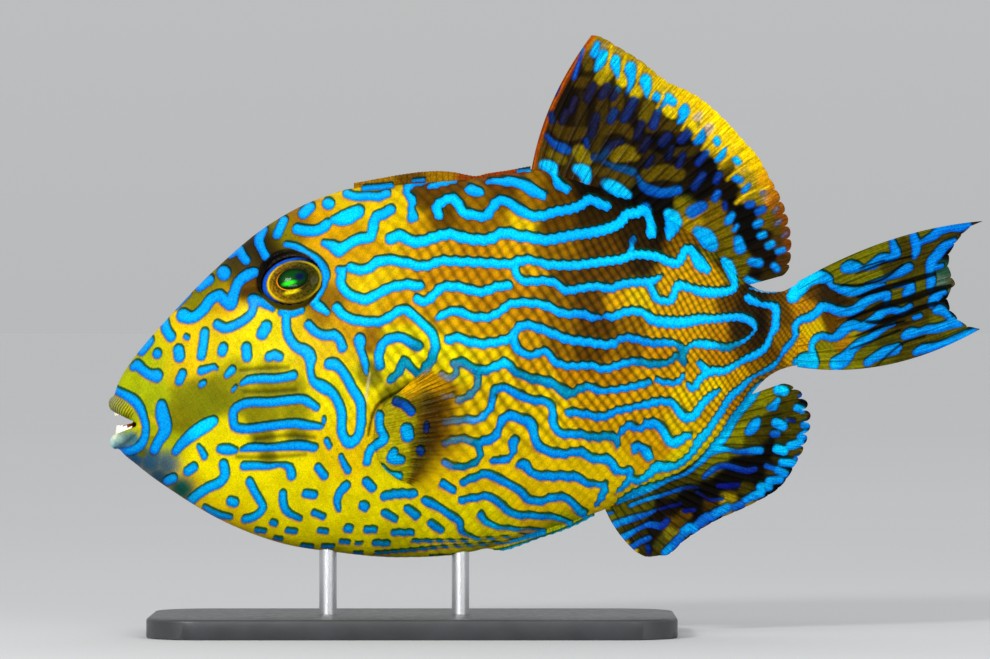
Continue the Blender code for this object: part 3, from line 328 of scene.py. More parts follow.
# Blue strokes on the skin: half width in pixels, then the points of a smooth line. A third number
# at a point is its own half width.
HEAD_STROKES = [
    (5.0, (142, 351), (150, 341)), (4.5, (158.3, 353.6), (158.6, 354.4)),
    (5.0, (164, 320), (167, 330), (172, 337)), (2.5, (187, 337), (189, 338)), (5.5, (180, 350.5), (181, 357)),
    (4.6, (206, 333), (205, 345), (203, 356)), (4.8, (225, 348), (224, 352)), (5.0, (248, 348), (249, 357)),
    (4.5, (271, 357), (276, 355), (281, 357)), (6.0, (264, 334), (268, 327)),
    (5.5, (184, 316, 7), (194, 318), (204.6, 310), (212, 300), (221, 296), (227, 302), (232, 304, 7),
     (235.4, 293.6), (240.5, 282), (250, 275, 6), (256, 273, 5)),
    (7.0, (224, 273), (225, 274)), (5.0, (200, 287), (210, 280)), (2.2, (190, 294), (177, 308)),
    (3.0, (230, 256), (240, 251)), (4.8, (240, 250), (243, 256), (247, 261)),
    (4.6, (264, 230), (259.5, 240, 5.5), (263, 250), (267, 257)), (5.0, (284, 221), (278, 235)),
    (6.0, (304, 214), (310, 208)), (6.0, (328, 204), (329.5, 204.8)),
    (5.5, (298, 230), (311, 232), (321.5, 230), (327.7, 225)),
    (6.0, (334, 221, 4), (346, 218.7, 8), (358.5, 212.6, 7)),
    (4.6, (347, 194), (354, 197), (367, 197), (381, 197), (387, 194)),
    (3.6, (364.6, 188), (377, 187), (391, 185.5)),
    (5.5, (325, 244, 3.5), (334, 247), (340, 251, 7), (346, 247.4), (358.5, 240.3), (371, 238), (374, 226),
     (377, 217.7), (387, 213.6), (391, 210.5)),
    (3.4, (287, 245, 3), (297, 247.4), (308, 254, 4), (318, 261, 4.5), (325, 270, 5), (327, 278, 4.5),
     (326, 287, 2.5), (322, 294, 3)),
    (4.0, (319, 296), (316, 303, 5), (322, 308, 5), (329, 313, 3)), (3.8, (283, 313), (294, 314), (303, 311)),
    (4.6, (288, 314), (288, 326), (290, 336), (297, 346), (308, 352, 6), (312, 358, 6), (312, 370, 3.5),
     (315, 381, 4), (325, 387, 6), (334, 393), (340, 403), (343, 413), (343, 430), (346, 438), (351, 442, 6),
     (358, 438), (361.5, 428), (362.5, 411), (360.5, 399), (354, 389), (349, 379), (343, 370),
     (336, 364, 5.5), (331, 364, 5.5)),
    (4.6, (219, 325), (228, 328.5), (243.6, 322), (253, 314), (255, 305), (254, 300, 5.5), (264, 303),
     (275, 310, 2.5)),
    (4.5, (310, 325), (317, 332), (327, 336), (335, 335, 5), (341, 340), (344, 348)),
    (4.8, (338, 308), (344, 315), (354, 320), (367, 322), (381, 322), (391, 317), (403.6, 310), (414, 316),
     (422, 323), (433, 334), (435.6, 347), (433, 358), (425, 370), (419, 377, 2.5)),
    (5.0, (343, 274), (342, 284), (349, 294), (360, 299), (368, 300, 5.5), (378, 295), (391, 288.5),
     (408, 285.4), (420, 287)),
    (4.6, (134, 367, 4), (138, 365, 5), (145, 371), (152, 375, 5), (158, 376, 6.5)),
    (3.8, (115, 390), (122, 393), (130, 397, 4.5), (137, 402, 5), (142, 409, 4.5), (145, 417), (147, 425),
     (147, 431, 3.8), (145.5, 439, 4.2), (141, 446, 4.4), (133, 450, 4.4), (124, 451, 3.6), (117, 449, 2)),
    (6.5, (163, 405, 5), (164, 415, 7), (167, 426, 6.5), (165, 434, 6), (160, 441, 5), (156, 449, 5)),
    (6.0, (215, 421, 5), (208, 425, 6.5), (200, 430, 6.5), (192, 436, 6), (184, 443, 5), (177, 451, 4)),
    (3.0, (200, 446, 2), (203, 450), (206, 456, 3.4)), (4.6, (189, 471), (195, 467)),
    (4.5, (168, 481), (174, 478)),
    (4.7, (225, 464), (226.5, 474), (221, 482), (210, 487), (199, 494), (192, 500)),
    (4.8, (232, 501), (235.5, 502)), (3.2, (205, 507, 2.5), (217, 514, 3.5), (231, 517, 2.5)),
    (4.2, (251, 481), (256, 491), (262, 501.5), (264, 508), (256, 516), (246, 519)),
    (4.4, (284, 493), (284.6, 503.6), (289, 512, 4), (301, 518, 3)),
    (4.2, (245.6, 465.6), (256, 465), (270, 465.6, 3.5), (282.6, 464, 2.5), (291, 467, 4.5), (293, 475, 5)),
    (4.5, (319.5, 467), (325.6, 475)), (4.5, (307, 493), (315, 494)), (3.5, (315, 512), (324, 516)),
    (3.5, (273, 522), (276, 523)), (3.0, (288, 530), (296, 531)), (2.8, (257, 530), (265, 531)),
    (2.2, (275, 538), (282, 539)), (3.0, (320, 530), (327, 531)), (2.4, (302, 545.5), (312, 546.5)),
    (2.4, (323, 546), (333, 546.5)), (4.6, (348, 528), (350, 528)), (3.8, (367, 529), (375, 529)),
    (2.4, (341, 541), (349, 542)), (1.8, (356, 543), (362, 543)), (3.2, (375, 542.5), (388, 543)),
    (1.8, (354, 553), (362, 553)), (5.2, (364, 505), (365.5, 506)),
    (4.4, (347, 485, 5), (340, 493), (338, 501.5, 4), (339.6, 508.7, 3)), (4.8, (367, 481), (373, 487)),
    (3.6, (342, 456, 3), (346, 464.6), (349, 469.7, 4)), (2.8, (328, 440), (331, 446)),
    (2.2, (325.4, 418), (325.8, 421)), (4.4, (184, 374), (181, 381)),
    (3.4, (203, 371, 4), (210, 369), (216, 367, 2.5), (219, 369, 1.5)), (3.4, (229, 375, 3), (234, 370, 4)),
    (3.0, (203, 384.5), (205.5, 383)), (2.0, (235, 390), (237.5, 387)),
    (3.6, (243, 384, 2), (250, 380), (262.5, 378.6, 4), (277, 378.6, 4), (289, 376.8, 4), (295, 375.4, 4.5)),
    (4.2, (318, 407, 3.5), (310.7, 402), (303.6, 399), (289, 400), (271.4, 402), (253.6, 402), (242, 405),
     (235.7, 410), (235, 418), (236.6, 426), (244.6, 428.5), (258, 427.5), (276, 425), (296.4, 423),
     (307, 424.6), (323, 426, 2.5)),
    (4.2, (222, 448.5, 4), (229.5, 449, 5.2), (237, 450, 3)),
    (4.0, (243, 449, 2), (253.6, 447), (271.4, 447, 3.5), (289, 445.5, 4.4), (302.7, 445, 4.8), (316, 447)),
]
BACK_STROKES = [
    (5.0, (418, 300), (426, 302), (434, 296), (441, 289), (452, 287), (464, 289), (475, 292), (485, 292),
     (495, 288), (503, 286.5), (508, 286.5)),
    (5.0, (352, 268.5), (362, 271), (370, 269), (378, 263, 5.5), (389, 261), (404, 263), (420, 267),
     (430, 266), (440, 262), (450, 262), (470, 263), (490, 264), (510, 265), (518, 262), (527, 261),
     (536, 262, 4), (545, 265), (560, 266), (575, 266), (590, 264), (605, 262), (620, 260), (630, 256),
     (640, 255), (655, 257), (667, 262), (676, 264), (681, 258), (685, 250), (690, 250), (697, 258),
     (703, 266), (706, 270)),
    (3.0, (340, 271, 4), (346, 270)),
    (4.6, (515, 268), (517, 277), (526, 282), (545, 281.5), (555, 284), (565, 291), (580, 289), (595, 287),
     (610, 289), (620, 285), (635, 283), (650, 282), (660, 277, 2.5)),
    (4.4, (648, 284), (652, 292), (657, 300), (670, 301), (674, 291), (678, 286, 5.5), (690, 289),
     (700, 292, 5.5), (712, 293, 5.5), (724, 292, 5), (733, 289), (733.5, 281, 4.6), (730.5, 272, 6),
     (727, 265, 6.4), (724, 261.5, 4.6)),
    (5.8, (391, 240), (400, 236.5), (409, 241), (420, 243), (436, 238), (450, 235), (460, 238), (470, 240),
     (481, 241), (492, 239.5), (499, 235), (506, 234), (516, 236.5), (530, 238.5), (545, 241), (560, 238.5),
     (575, 235.5), (592, 233), (608, 229), (620, 223), (626, 215), (638, 213), (645, 208, 5.8),
     (649, 219, 4.4), (650.5, 229, 5.6), (651, 234, 5.8)),
    (4.0, (632.5, 239.5, 4), (631, 246, 3.4), (630, 253, 3)),
    (5.4, (439, 216), (437, 207), (444, 202), (452, 199), (459, 206), (463, 213), (473, 216), (486, 217),
     (492, 209), (498, 202), (508, 203), (518, 210), (529, 216), (542, 217), (550, 214), (558, 212),
     (570, 210), (582, 205), (588, 200), (597, 203), (606, 207)),
    (4.6, (424, 181), (413, 183, 5), (407, 189, 4.5), (408, 195, 3.6), (412, 200, 5), (412, 209, 3.8),
     (413, 218, 6)),
    (3.4, (430, 187), (440, 184, 4), (456, 181, 2.5)), (5.6, (470, 190), (479, 193)),
    (5.2, (488, 182, 3), (508, 182), (522, 185, 6), (532, 191, 6), (542, 196, 5.5)),
    (2.0, (518, 171), (529, 171)),
    (5.4, (544, 165, 5.5), (551, 168, 7), (554, 176, 4), (559, 185, 5.5), (566, 190, 5)),
    (5.6, (577, 169, 5), (584, 172, 7.5), (586, 180, 5)),
    (6.0, (606, 183, 5.5), (615, 189, 7.5), (627, 195, 5)),
    (6.0, (668, 213, 4.8), (673, 222, 9.4), (668, 238, 3.8)),
    (6.0, (692, 256, 3.6), (699, 264, 7.4), (705, 270, 4.4)),
    (6.4, (698, 232, 6), (706, 238, 9.4), (711, 245, 7.4)), (6.5, (692, 212), (703, 206, 5)),
    (4.6, (439, 318, 4), (447, 313.5), (458, 311.5), (468, 316), (480, 318), (490, 317), (500, 312),
     (508, 305.5), (518, 303.5), (530, 303.5), (545, 306), (555, 311), (566, 314.5), (580, 314), (590, 317.5),
     (599, 318, 2.5)),
    (4.6, (604, 316.5, 3.5), (613, 317), (622, 313), (634, 311.5), (643, 314), (652, 320.5, 5.5),
     (666, 322.5, 6), (682, 322.5, 6), (700, 319.5, 5.5), (712, 319.5, 4.4), (726, 318, 4.5),
     (740, 317.5, 4.6), (750, 322, 4.6), (754.5, 329, 2.6), (750, 335.5, 1.8), (743, 341, 2.6),
     (734, 345, 3.4), (725, 348, 4.4), (715, 346, 4), (706, 345, 5), (695, 344, 4), (688, 347, 3),
     (683, 352, 4.6), (681, 359, 4.6), (684, 364, 3)),
    (4.8, (449, 340), (458, 338), (468, 341.5), (480, 344), (492, 343), (504, 340.5), (513, 336),
     (517, 328.5), (524, 325.5), (534, 327), (544, 330.5), (556, 335.5), (568, 340), (580, 341.5), (592, 343),
     (604, 345), (614, 343.5)),
    (4.4, (513, 340), (516, 348), (523, 354), (533, 355), (542, 351.5), (548, 354), (554, 361.5),
     (564, 365.5), (577, 366), (590, 365.5), (602, 369), (612, 367), (623, 363.5), (636, 361.5), (647, 364),
     (658, 364), (668, 362, 3.5), (675, 356, 4)),
    (4.2, (617, 340, 3.5), (626, 338), (639, 340.5), (652, 343.5), (665, 343), (676, 345, 3.4),
     (681, 350, 4)),
    (4.6, (455, 363.5, 5), (463, 363, 5.4), (471, 367, 4.6), (479, 370.5, 5), (487, 370, 5), (495, 366.5, 5),
     (504, 363, 5.6), (509, 365, 5), (514, 370.5, 4.4), (521, 375, 4.4), (530, 378, 4.8), (538, 380, 5),
     (546, 381.5, 5.4), (555, 385.5, 5), (561, 390, 6), (566, 393, 6), (572, 393, 4.4), (577, 389.5, 4.4),
     (585, 387, 4.6), (592, 387.5, 4), (598, 391, 3.6), (604, 390.5, 2.8), (612, 390, 3), (625, 388, 3.2),
     (636, 385.5, 3.5), (647, 382.5, 3.6)),
    (3.6, (441, 374, 3), (448, 377.5, 4), (455, 375.5, 4), (457, 368, 3.4)),
    (2.8, (655.5, 380), (662, 382), (671, 383), (678, 381.5), (682, 375, 2.5)),
    (4.2, (687, 385, 2.6), (690, 388, 3.4), (694, 387, 3.6), (698, 380, 3.6), (703, 375, 4.2),
     (712, 371, 4.8), (722, 371, 4.4), (732, 366.5, 4), (742, 360.5, 4), (750, 357, 4.6), (758, 353, 4.6),
     (764, 348.5, 4.2), (768, 341, 3.6), (770, 334.5, 3.2), (774, 328.5, 4.8), (775, 318, 4.6),
     (774.5, 308, 5.2), (767, 305.5, 3.8), (760, 304.5, 3.2), (753, 301.5, 4.6), (747.5, 298.5, 5)),
    (3.4, (698, 363), (703, 368, 4.6), (708, 372, 5)),
    (3.6, (492, 401), (493, 391, 4.4), (500, 387.5, 4.6), (508, 389)),
    (4.6, (508, 389), (516, 393), (525, 398), (535, 400), (545, 401.5), (551, 406), (552, 415),
     (553, 424, 5), (558, 431.5), (567, 434), (577, 433.5), (587, 436), (597, 437, 4.4), (607, 435.5, 3.8),
     (614, 438.5, 3.6), (617, 447, 1.8)),
    (4.4, (568, 412, 4.6), (576, 412.5), (586, 414), (596, 416.5), (606, 415.5, 3.8), (616, 410.5, 3.4),
     (628, 408.5, 3.4), (636, 406, 2.8), (645, 404.5, 4), (654.6, 402, 3.9), (664, 401.5, 3.5),
     (671, 403, 3.8), (676.5, 409.6, 4.2), (682.3, 416.5, 4.4), (689, 417.5, 4.6), (695, 413.5, 4.4),
     (700.8, 405, 4), (706.5, 399, 4), (713.5, 393.5, 3.2), (718, 390.6, 1.8)),
    (5.4, (478, 443, 4.6), (486, 440, 5), (494, 436.5, 5.2), (498.5, 430, 4.2), (500, 423, 4.6),
     (504, 417.4, 5.2), (511, 415.5, 5.8), (520, 418, 5.2), (528, 421, 5.4), (533, 429, 5.4), (534, 438, 5),
     (538, 446, 5), (546, 450, 5.2), (556, 453, 5.2), (564, 453.5, 5), (572, 451.8, 4.6), (580, 451.5, 5.2),
     (586, 455, 5.4), (595, 459, 4.6), (605, 458.5, 4.2), (612, 464, 4.2), (616, 470.5, 3.6),
     (623.5, 471.3, 3.4), (629, 470, 3.2), (630, 477, 3.2)),
    (3.4, (615.4, 493, 0.8), (624.6, 485, 3), (630, 478.6, 3.8), (636, 481, 3.6), (643, 478.4, 3.4),
     (650, 473, 4.2), (656, 467, 5.2), (664, 467.3, 5), (675.4, 466, 3.4), (682.3, 461.5, 3.4),
     (689, 455.8, 3.3), (694, 449, 3.8), (697.5, 442, 4.6), (703, 436, 4.6), (709, 429, 3.8),
     (714.6, 420, 3.7), (720.4, 412, 3.7), (725, 403.5, 3.7), (732, 394.6, 3.9), (740, 388.6, 3.5),
     (746, 382, 3), (754, 376, 2), (765, 370.5, 3.2), (774, 365, 3.6), (780, 357, 2.4), (784, 350, 4),
     (791, 342), (796, 334, 3)),
    (5.0, (513.5, 441, 6.2), (513, 448, 4.6), (511, 455, 3.8), (504, 459.5, 4.4), (493, 459.5, 4)),
    (3.0, (617, 447, 1.4), (617.5, 436, 2.4), (622, 429.5, 3.2), (629, 424.6, 3.6), (634, 428, 3),
     (639.6, 429, 2.7), (645.4, 424, 4.5), (654.6, 424, 4.8), (660.4, 428.5, 4.6), (665, 436, 4.6),
     (669.6, 442, 5), (676.5, 442, 5), (682.3, 437.6, 4.2), (689, 435.5, 3)),
    (3.2, (633.5, 451, 3.2), (634, 445.5, 3.6), (640, 447.5, 3.8), (645.5, 451.5, 5.4), (648.5, 457, 4)),
]
REAR_STROKES = [
    (5.0, (795, 336, 3.2), (794, 327, 4.2), (799, 320.5, 4), (808, 318), (816, 313), (821, 307.5, 5.5),
     (829, 308), (838, 311.5), (848, 312, 4.5), (856, 309.5, 5), (862, 304.5, 5), (870, 299.5, 4.5),
     (880, 296, 4.4), (887, 295, 4.4), (886, 303, 3.4)),
    (1.6, (750, 288), (762, 291.5), (776, 292)),
    (7.0, (792, 297), (799, 288, 8), (808, 280, 7), (820, 277, 6.5), (828, 280, 5), (830, 285, 3.4),
     (837, 289, 3.6), (846, 291, 5), (855, 292, 4.4), (868, 288.5, 3), (884, 285, 1.8)),
    (2.4, (866, 286), (878, 281.5), (890, 277, 3), (900, 272.5, 4.4), (909, 267.5, 4.4)),
    (6.0, (797, 363), (806, 360, 7.5), (813, 364, 6), (812, 355, 4.6), (811, 347, 3.6), (814, 339.5, 4),
     (822, 336, 3.5), (831, 338.5, 4), (838, 335.5, 5), (846, 328.5, 5.5), (853, 325, 5), (862, 327, 4.6),
     (870, 323, 5), (877, 318, 5), (883, 312, 4.5), (892, 310, 3.6), (902, 312, 4), (910, 306.5, 3)),
    (7.0, (836, 364), (844, 359.5, 7), (852, 350, 5), (860, 343, 4.4), (868, 339.5, 4), (876, 334, 3.4),
     (885, 328, 2.6), (894, 324, 2)),
    (4.0, (867, 363), (876, 357, 4.5), (886, 352, 5.4), (895, 349.5, 5.4), (898, 347, 4)),
    (4.4, (905, 336), (911, 333.5, 5.5), (920, 332, 3.4), (928, 329.5, 4.4), (938, 328.5, 4.6),
     (948, 325, 4.6), (955, 323.5, 4.6), (961, 325, 2)),
    (4.0, (953, 321), (946, 314, 4), (940, 310, 5.4), (936, 311, 4)),
    (4.0, (930, 305, 3.4), (933, 300, 5), (938, 295.5, 4.4), (944, 292.5, 3)),
    (4.0, (930, 289), (931, 281, 5), (930, 272, 4.4), (931, 263, 5.2), (937, 255.5, 5.4), (943, 248, 5),
     (949, 244, 4), (955, 240, 2)),
    (3.0, (934, 268), (942, 266, 2.4)),
    (4.0, (924, 241, 3), (932, 237, 4.4), (940, 230.5, 5), (950, 228, 4), (960, 227.5, 4.5), (969, 225, 3)),
    (4.0, (912, 232, 3), (914.5, 240, 4.8), (916.5, 249, 4.6), (914, 256, 3.5)),
    (2.8, (918, 244), (926, 240.5)),
    (3.0, (892, 240), (893.5, 247, 4.4), (896, 254, 5), (890, 258, 4.2), (881, 258.5, 4.6), (873, 265, 4.8),
     (866, 268, 3)),
    (5.0, (845, 268.5), (851, 267, 6.4), (858, 267.5, 4.4), (863, 268, 2)),
    (4.4, (906, 294), (910, 290, 5.6), (911, 285.5, 4), (903, 285.5, 2), (894, 287.5, 1.4)),
    (2.4, (914, 318), (920, 316)),
    (4.2, (915, 353, 3), (922, 349.5, 4.8), (934, 347, 4), (946, 343.5, 4), (958, 338.5, 4.4),
     (967, 334.5, 4.4), (976, 330.5, 2.4)),
]
# Folds of the tail, where its blades overlap, as strokes: painted shadow runs along them.
TAIL_FOLDS = [
    (2.6, (858, 297, 1), (878, 290), (900, 284), (918, 278.5), (934, 274, 2)),
    (3.0, (868, 311, 1.4), (884, 305.5, 3.6), (900, 301.5), (916, 296.5, 3.6), (934, 290), (950, 286, 2)),
    (2.6, (866, 322, 1), (882, 321.5), (900, 316), (920, 308), (936, 303, 2)),
    (1.6, (848, 320, 0.8), (862, 313), (880, 308)),
    (1.2, (842, 285.5, 0.6), (866, 284), (884, 278.5), (902, 265, 0.8)),
    (1.6, (856, 336, 0.6), (872, 330), (888, 325), (904, 321, 0.8)),
    (1.0, (850, 349, 0.5), (870, 342), (900, 330)), (1.0, (856, 274, 0.5), (884, 263), (912, 256)),
    (0.8, (860, 268, 0.4), (884, 260.5)), (0.9, (872, 370, 0.5), (900, 345), (925, 336)),
    (1.4, (944, 296, 1), (950, 306, 1.6), (953, 316, 1)),
]
BELLY_STROKES = [
    (4.6, (381, 366), (380, 354), (384, 344), (392, 338.5), (404, 338.5), (412, 343), (419, 347)),
    (4.0, (361, 340, 6), (362, 350), (366, 362, 3.6), (368, 373, 1.6)),
    (3.6, (391, 380), (400, 372, 4), (405, 362, 5), (412, 368), (419, 374, 3.4)),
    (4.4, (380.5, 415), (381, 427, 4), (385.6, 438), (379, 443), (371, 450), (368, 461)),
    (4.2, (478, 372), (478, 382), (474, 391), (466, 397), (458, 400)), (3.4, (443, 396), (452, 395)),
    (4.2, (493, 398), (491, 406), (486, 413), (478, 419), (468, 419), (455, 420), (446, 421)),
    (4.2, (481, 442), (470, 440.5), (460, 438), (446, 442)),
    (4.0, (478, 443), (480, 455), (475, 462), (465, 465.5), (455, 466), (445, 461)),
    (4.6, (385, 495.4), (397, 493), (414, 493)),
    (4.4, (425.6, 499.5), (441, 508), (453, 516), (459.5, 522), (461.5, 530, 3.6), (470, 536, 2.4),
     (482, 538.5, 1.8), (515, 536, 1.4), (545, 532, 1.2)),
    (4.4, (408, 508), (417, 515)), (4.0, (431, 522), (441, 530)), (4.0, (385, 512), (395.4, 518)),
    (3.4, (394, 532), (412, 532)), (1.8, (412, 540.5), (441, 540.5), (468, 540.5)),
    (1.7, (375, 553), (400, 551), (441, 547), (472, 545), (498, 543), (515, 540.5), (544, 533)),
    (4.8, (443, 483), (453, 489)),
    (4.7, (463.6, 481), (476, 476), (488, 473), (502.6, 481), (519, 489), (529, 499.5), (541.5, 500.5),
     (556, 496.4), (568, 499.5), (574, 505.6), (580.5, 512), (584, 513.5)),
    (4.4, (461.5, 499.5), (478, 496.4), (490, 496), (500.5, 503.6), (509, 512), (523, 515), (543.6, 516, 4),
     (560, 519, 3.5), (570, 523, 2.8)),
    (3.4, (480, 514, 4.5), (486, 522, 4), (500.5, 527, 3), (519, 529, 2.5), (544, 530, 1.5)),
    (5.3, (519, 463.6, 4.8), (525, 465, 6.2), (530, 472, 4.6), (544, 475.5), (560, 475.5), (576, 477),
     (586, 482.5, 4.4), (598, 484.8, 3), (604, 484, 3)),
    (3.8, (604.5, 486, 3.2), (603, 492, 4.2), (599, 500, 3.4), (595, 506, 2.2)),
    (3.0, (430, 556.5, 1.6), (470, 555.5, 2), (500, 552, 2.2), (520, 546.5, 2.4), (540, 540, 2.4),
     (560, 533, 2.4), (578, 525.5, 2.6), (592, 517, 2.4)),
]
DORSAL_STROKES = [
    (4.2, (597.5, 44, 3.4), (594, 54, 4.4)), (5.0, (603.5, 55, 6), (600, 63, 5), (596, 70, 2.6)),
    (5.0, (614.5, 61, 6.6), (616.5, 69, 4.6), (618, 77, 1.8)),
    (5.0, (630, 68, 6.8), (631.5, 77, 5), (630, 87, 2.8), (626, 95, 1.6)),
    (5.0, (645, 80, 6.6), (647, 88, 5), (647, 97, 1.8)), (4.6, (655, 96, 4.8), (660.5, 100, 4)),
    (5.0, (668, 98, 5.2), (673, 102, 4.6)), (2.4, (668, 101), (661, 107, 1.6)),
    (6.0, (683, 109, 6.6), (685, 117, 5.6), (679, 122, 2.6)),
    (5.4, (701, 130, 4), (700, 138, 5.8), (696, 142, 3.6)), (3.8, (716, 139), (717.5, 143)),
    (4.0, (724, 149, 3), (721, 155, 4.4), (717, 160, 3)), (3.6, (735, 159), (739, 163)),
    (3.8, (735, 178), (740, 180)), (3.6, (749, 185, 2.4), (744.5, 191)), (3.8, (748, 205), (752, 204)),
    (3.8, (758, 212), (763, 209)), (3.8, (756, 225), (760, 222.5)), (3.6, (760, 236), (764, 234.5)),
    (3.8, (768, 246), (772, 244)), (3.4, (778, 251.5), (783, 250)), (3.8, (774, 266), (777, 269)),
    (2.2, (774, 212), (777, 208)), (2.2, (776, 224), (780, 221)), (2.2, (783, 236), (787, 233)),
    (2.0, (762, 193), (764, 190)), (3.8, (719, 175), (716, 181)), (3.8, (718, 193), (714.5, 199)),
    (3.0, (725, 204), (725, 208)), (4.4, (732, 215, 3.8), (729, 220, 4.6), (727, 223, 3)),
    (6.0, (738, 240, 4.8), (740, 248, 6.4)), (4.8, (751, 262, 4.2), (759, 263)),
    (3.6, (747, 279.5), (754, 283), (760, 285)), (6.0, (695, 210, 6.4), (701, 205, 4)),
    (4.2, (638, 177, 2.6), (643, 186, 4.4), (651, 190.5, 5.6), (664, 193, 5), (678, 190, 4.6)),
    (4.0, (622, 142, 3), (612, 145), (606, 152), (600, 158), (594, 157, 4)),
    (4.0, (604, 162, 2.6), (614, 167, 3.4), (624, 169, 4), (633, 172, 4.4)),
    (3.2, (547, 136, 2.6), (553, 143, 3.4), (562, 148, 5.4), (567, 150, 4.6)), (3.0, (586, 140), (587, 146)),
    (1.8, (583, 49), (579, 62, 2), (574, 78, 2.6)), (2.8, (559, 86, 2), (555, 94)),
    (4.2, (593, 86), (587, 99)), (4.6, (607, 87), (602, 96)), (3.6, (617, 90), (613, 98)),
    (3.8, (575, 99), (571, 111)), (4.4, (596, 117), (592, 133)), (4.4, (614.5, 112), (610.5, 120)),
    (4.6, (634, 101), (628, 112), (624, 120, 3.8)), (4.2, (641, 124), (637, 137)),
    (4.4, (658, 112, 3.4), (653, 126, 4.8)), (5.0, (668, 136, 4.6), (662, 143)),
    (4.6, (687, 134), (681, 140)), (4.2, (648, 140), (643, 149)), (3.6, (683, 155), (678, 166)),
    (3.6, (706, 153), (698, 163)), (4.0, (703, 175), (694, 187)), (3.4, (551, 114), (552, 121)),
    (3.6, (566, 112), (562, 122)), (3.2, (652, 158), (647, 166)), (3.2, (672, 148), (668, 158)),
    (2.6, (737, 226), (734, 230)),
]
# Rays that show gold between the blue cells of the dorsal fin's margin, as strokes.
DORSAL_GOLD_RAYS = [
    (1.2, (606, 72, 0.7), (609.5, 58), (612, 46, 1.7)), (1.2, (621, 77, 0.6), (623.4, 64), (626, 54, 1.7)),
    (1.2, (635, 92, 0.6), (638, 78), (641, 66, 1.8)), (1.2, (650, 99, 0.7), (655, 86, 1.4), (661, 76, 2)),
    (1.1, (657, 108, 0.7), (663.5, 96)), (1.5, (674, 114, 0.9), (680, 104, 1.7), (688, 95, 2.4)),
    (1.6, (682, 130, 0.7), (690, 117, 1.7), (701, 106, 2.6)),
    (1.7, (693, 139, 0.7), (703, 125, 1.9), (713, 115, 2.8)),
    (1.7, (702, 150, 0.7), (712, 135.5, 1.9), (722, 125, 2.8)),
    (1.7, (714, 157, 0.7), (723, 145.4, 1.8), (735, 135, 2.8)),
    (1.6, (719, 168, 0.7), (729, 157, 1.8), (743, 146, 2.8)),
    (1.5, (727, 180, 0.6), (738, 169.4, 1.7), (752, 159, 2.6)),
    (1.1, (736, 203, 1.2), (746, 194.6, 1), (756, 190, 1.1), (768, 187, 1.4)),
]
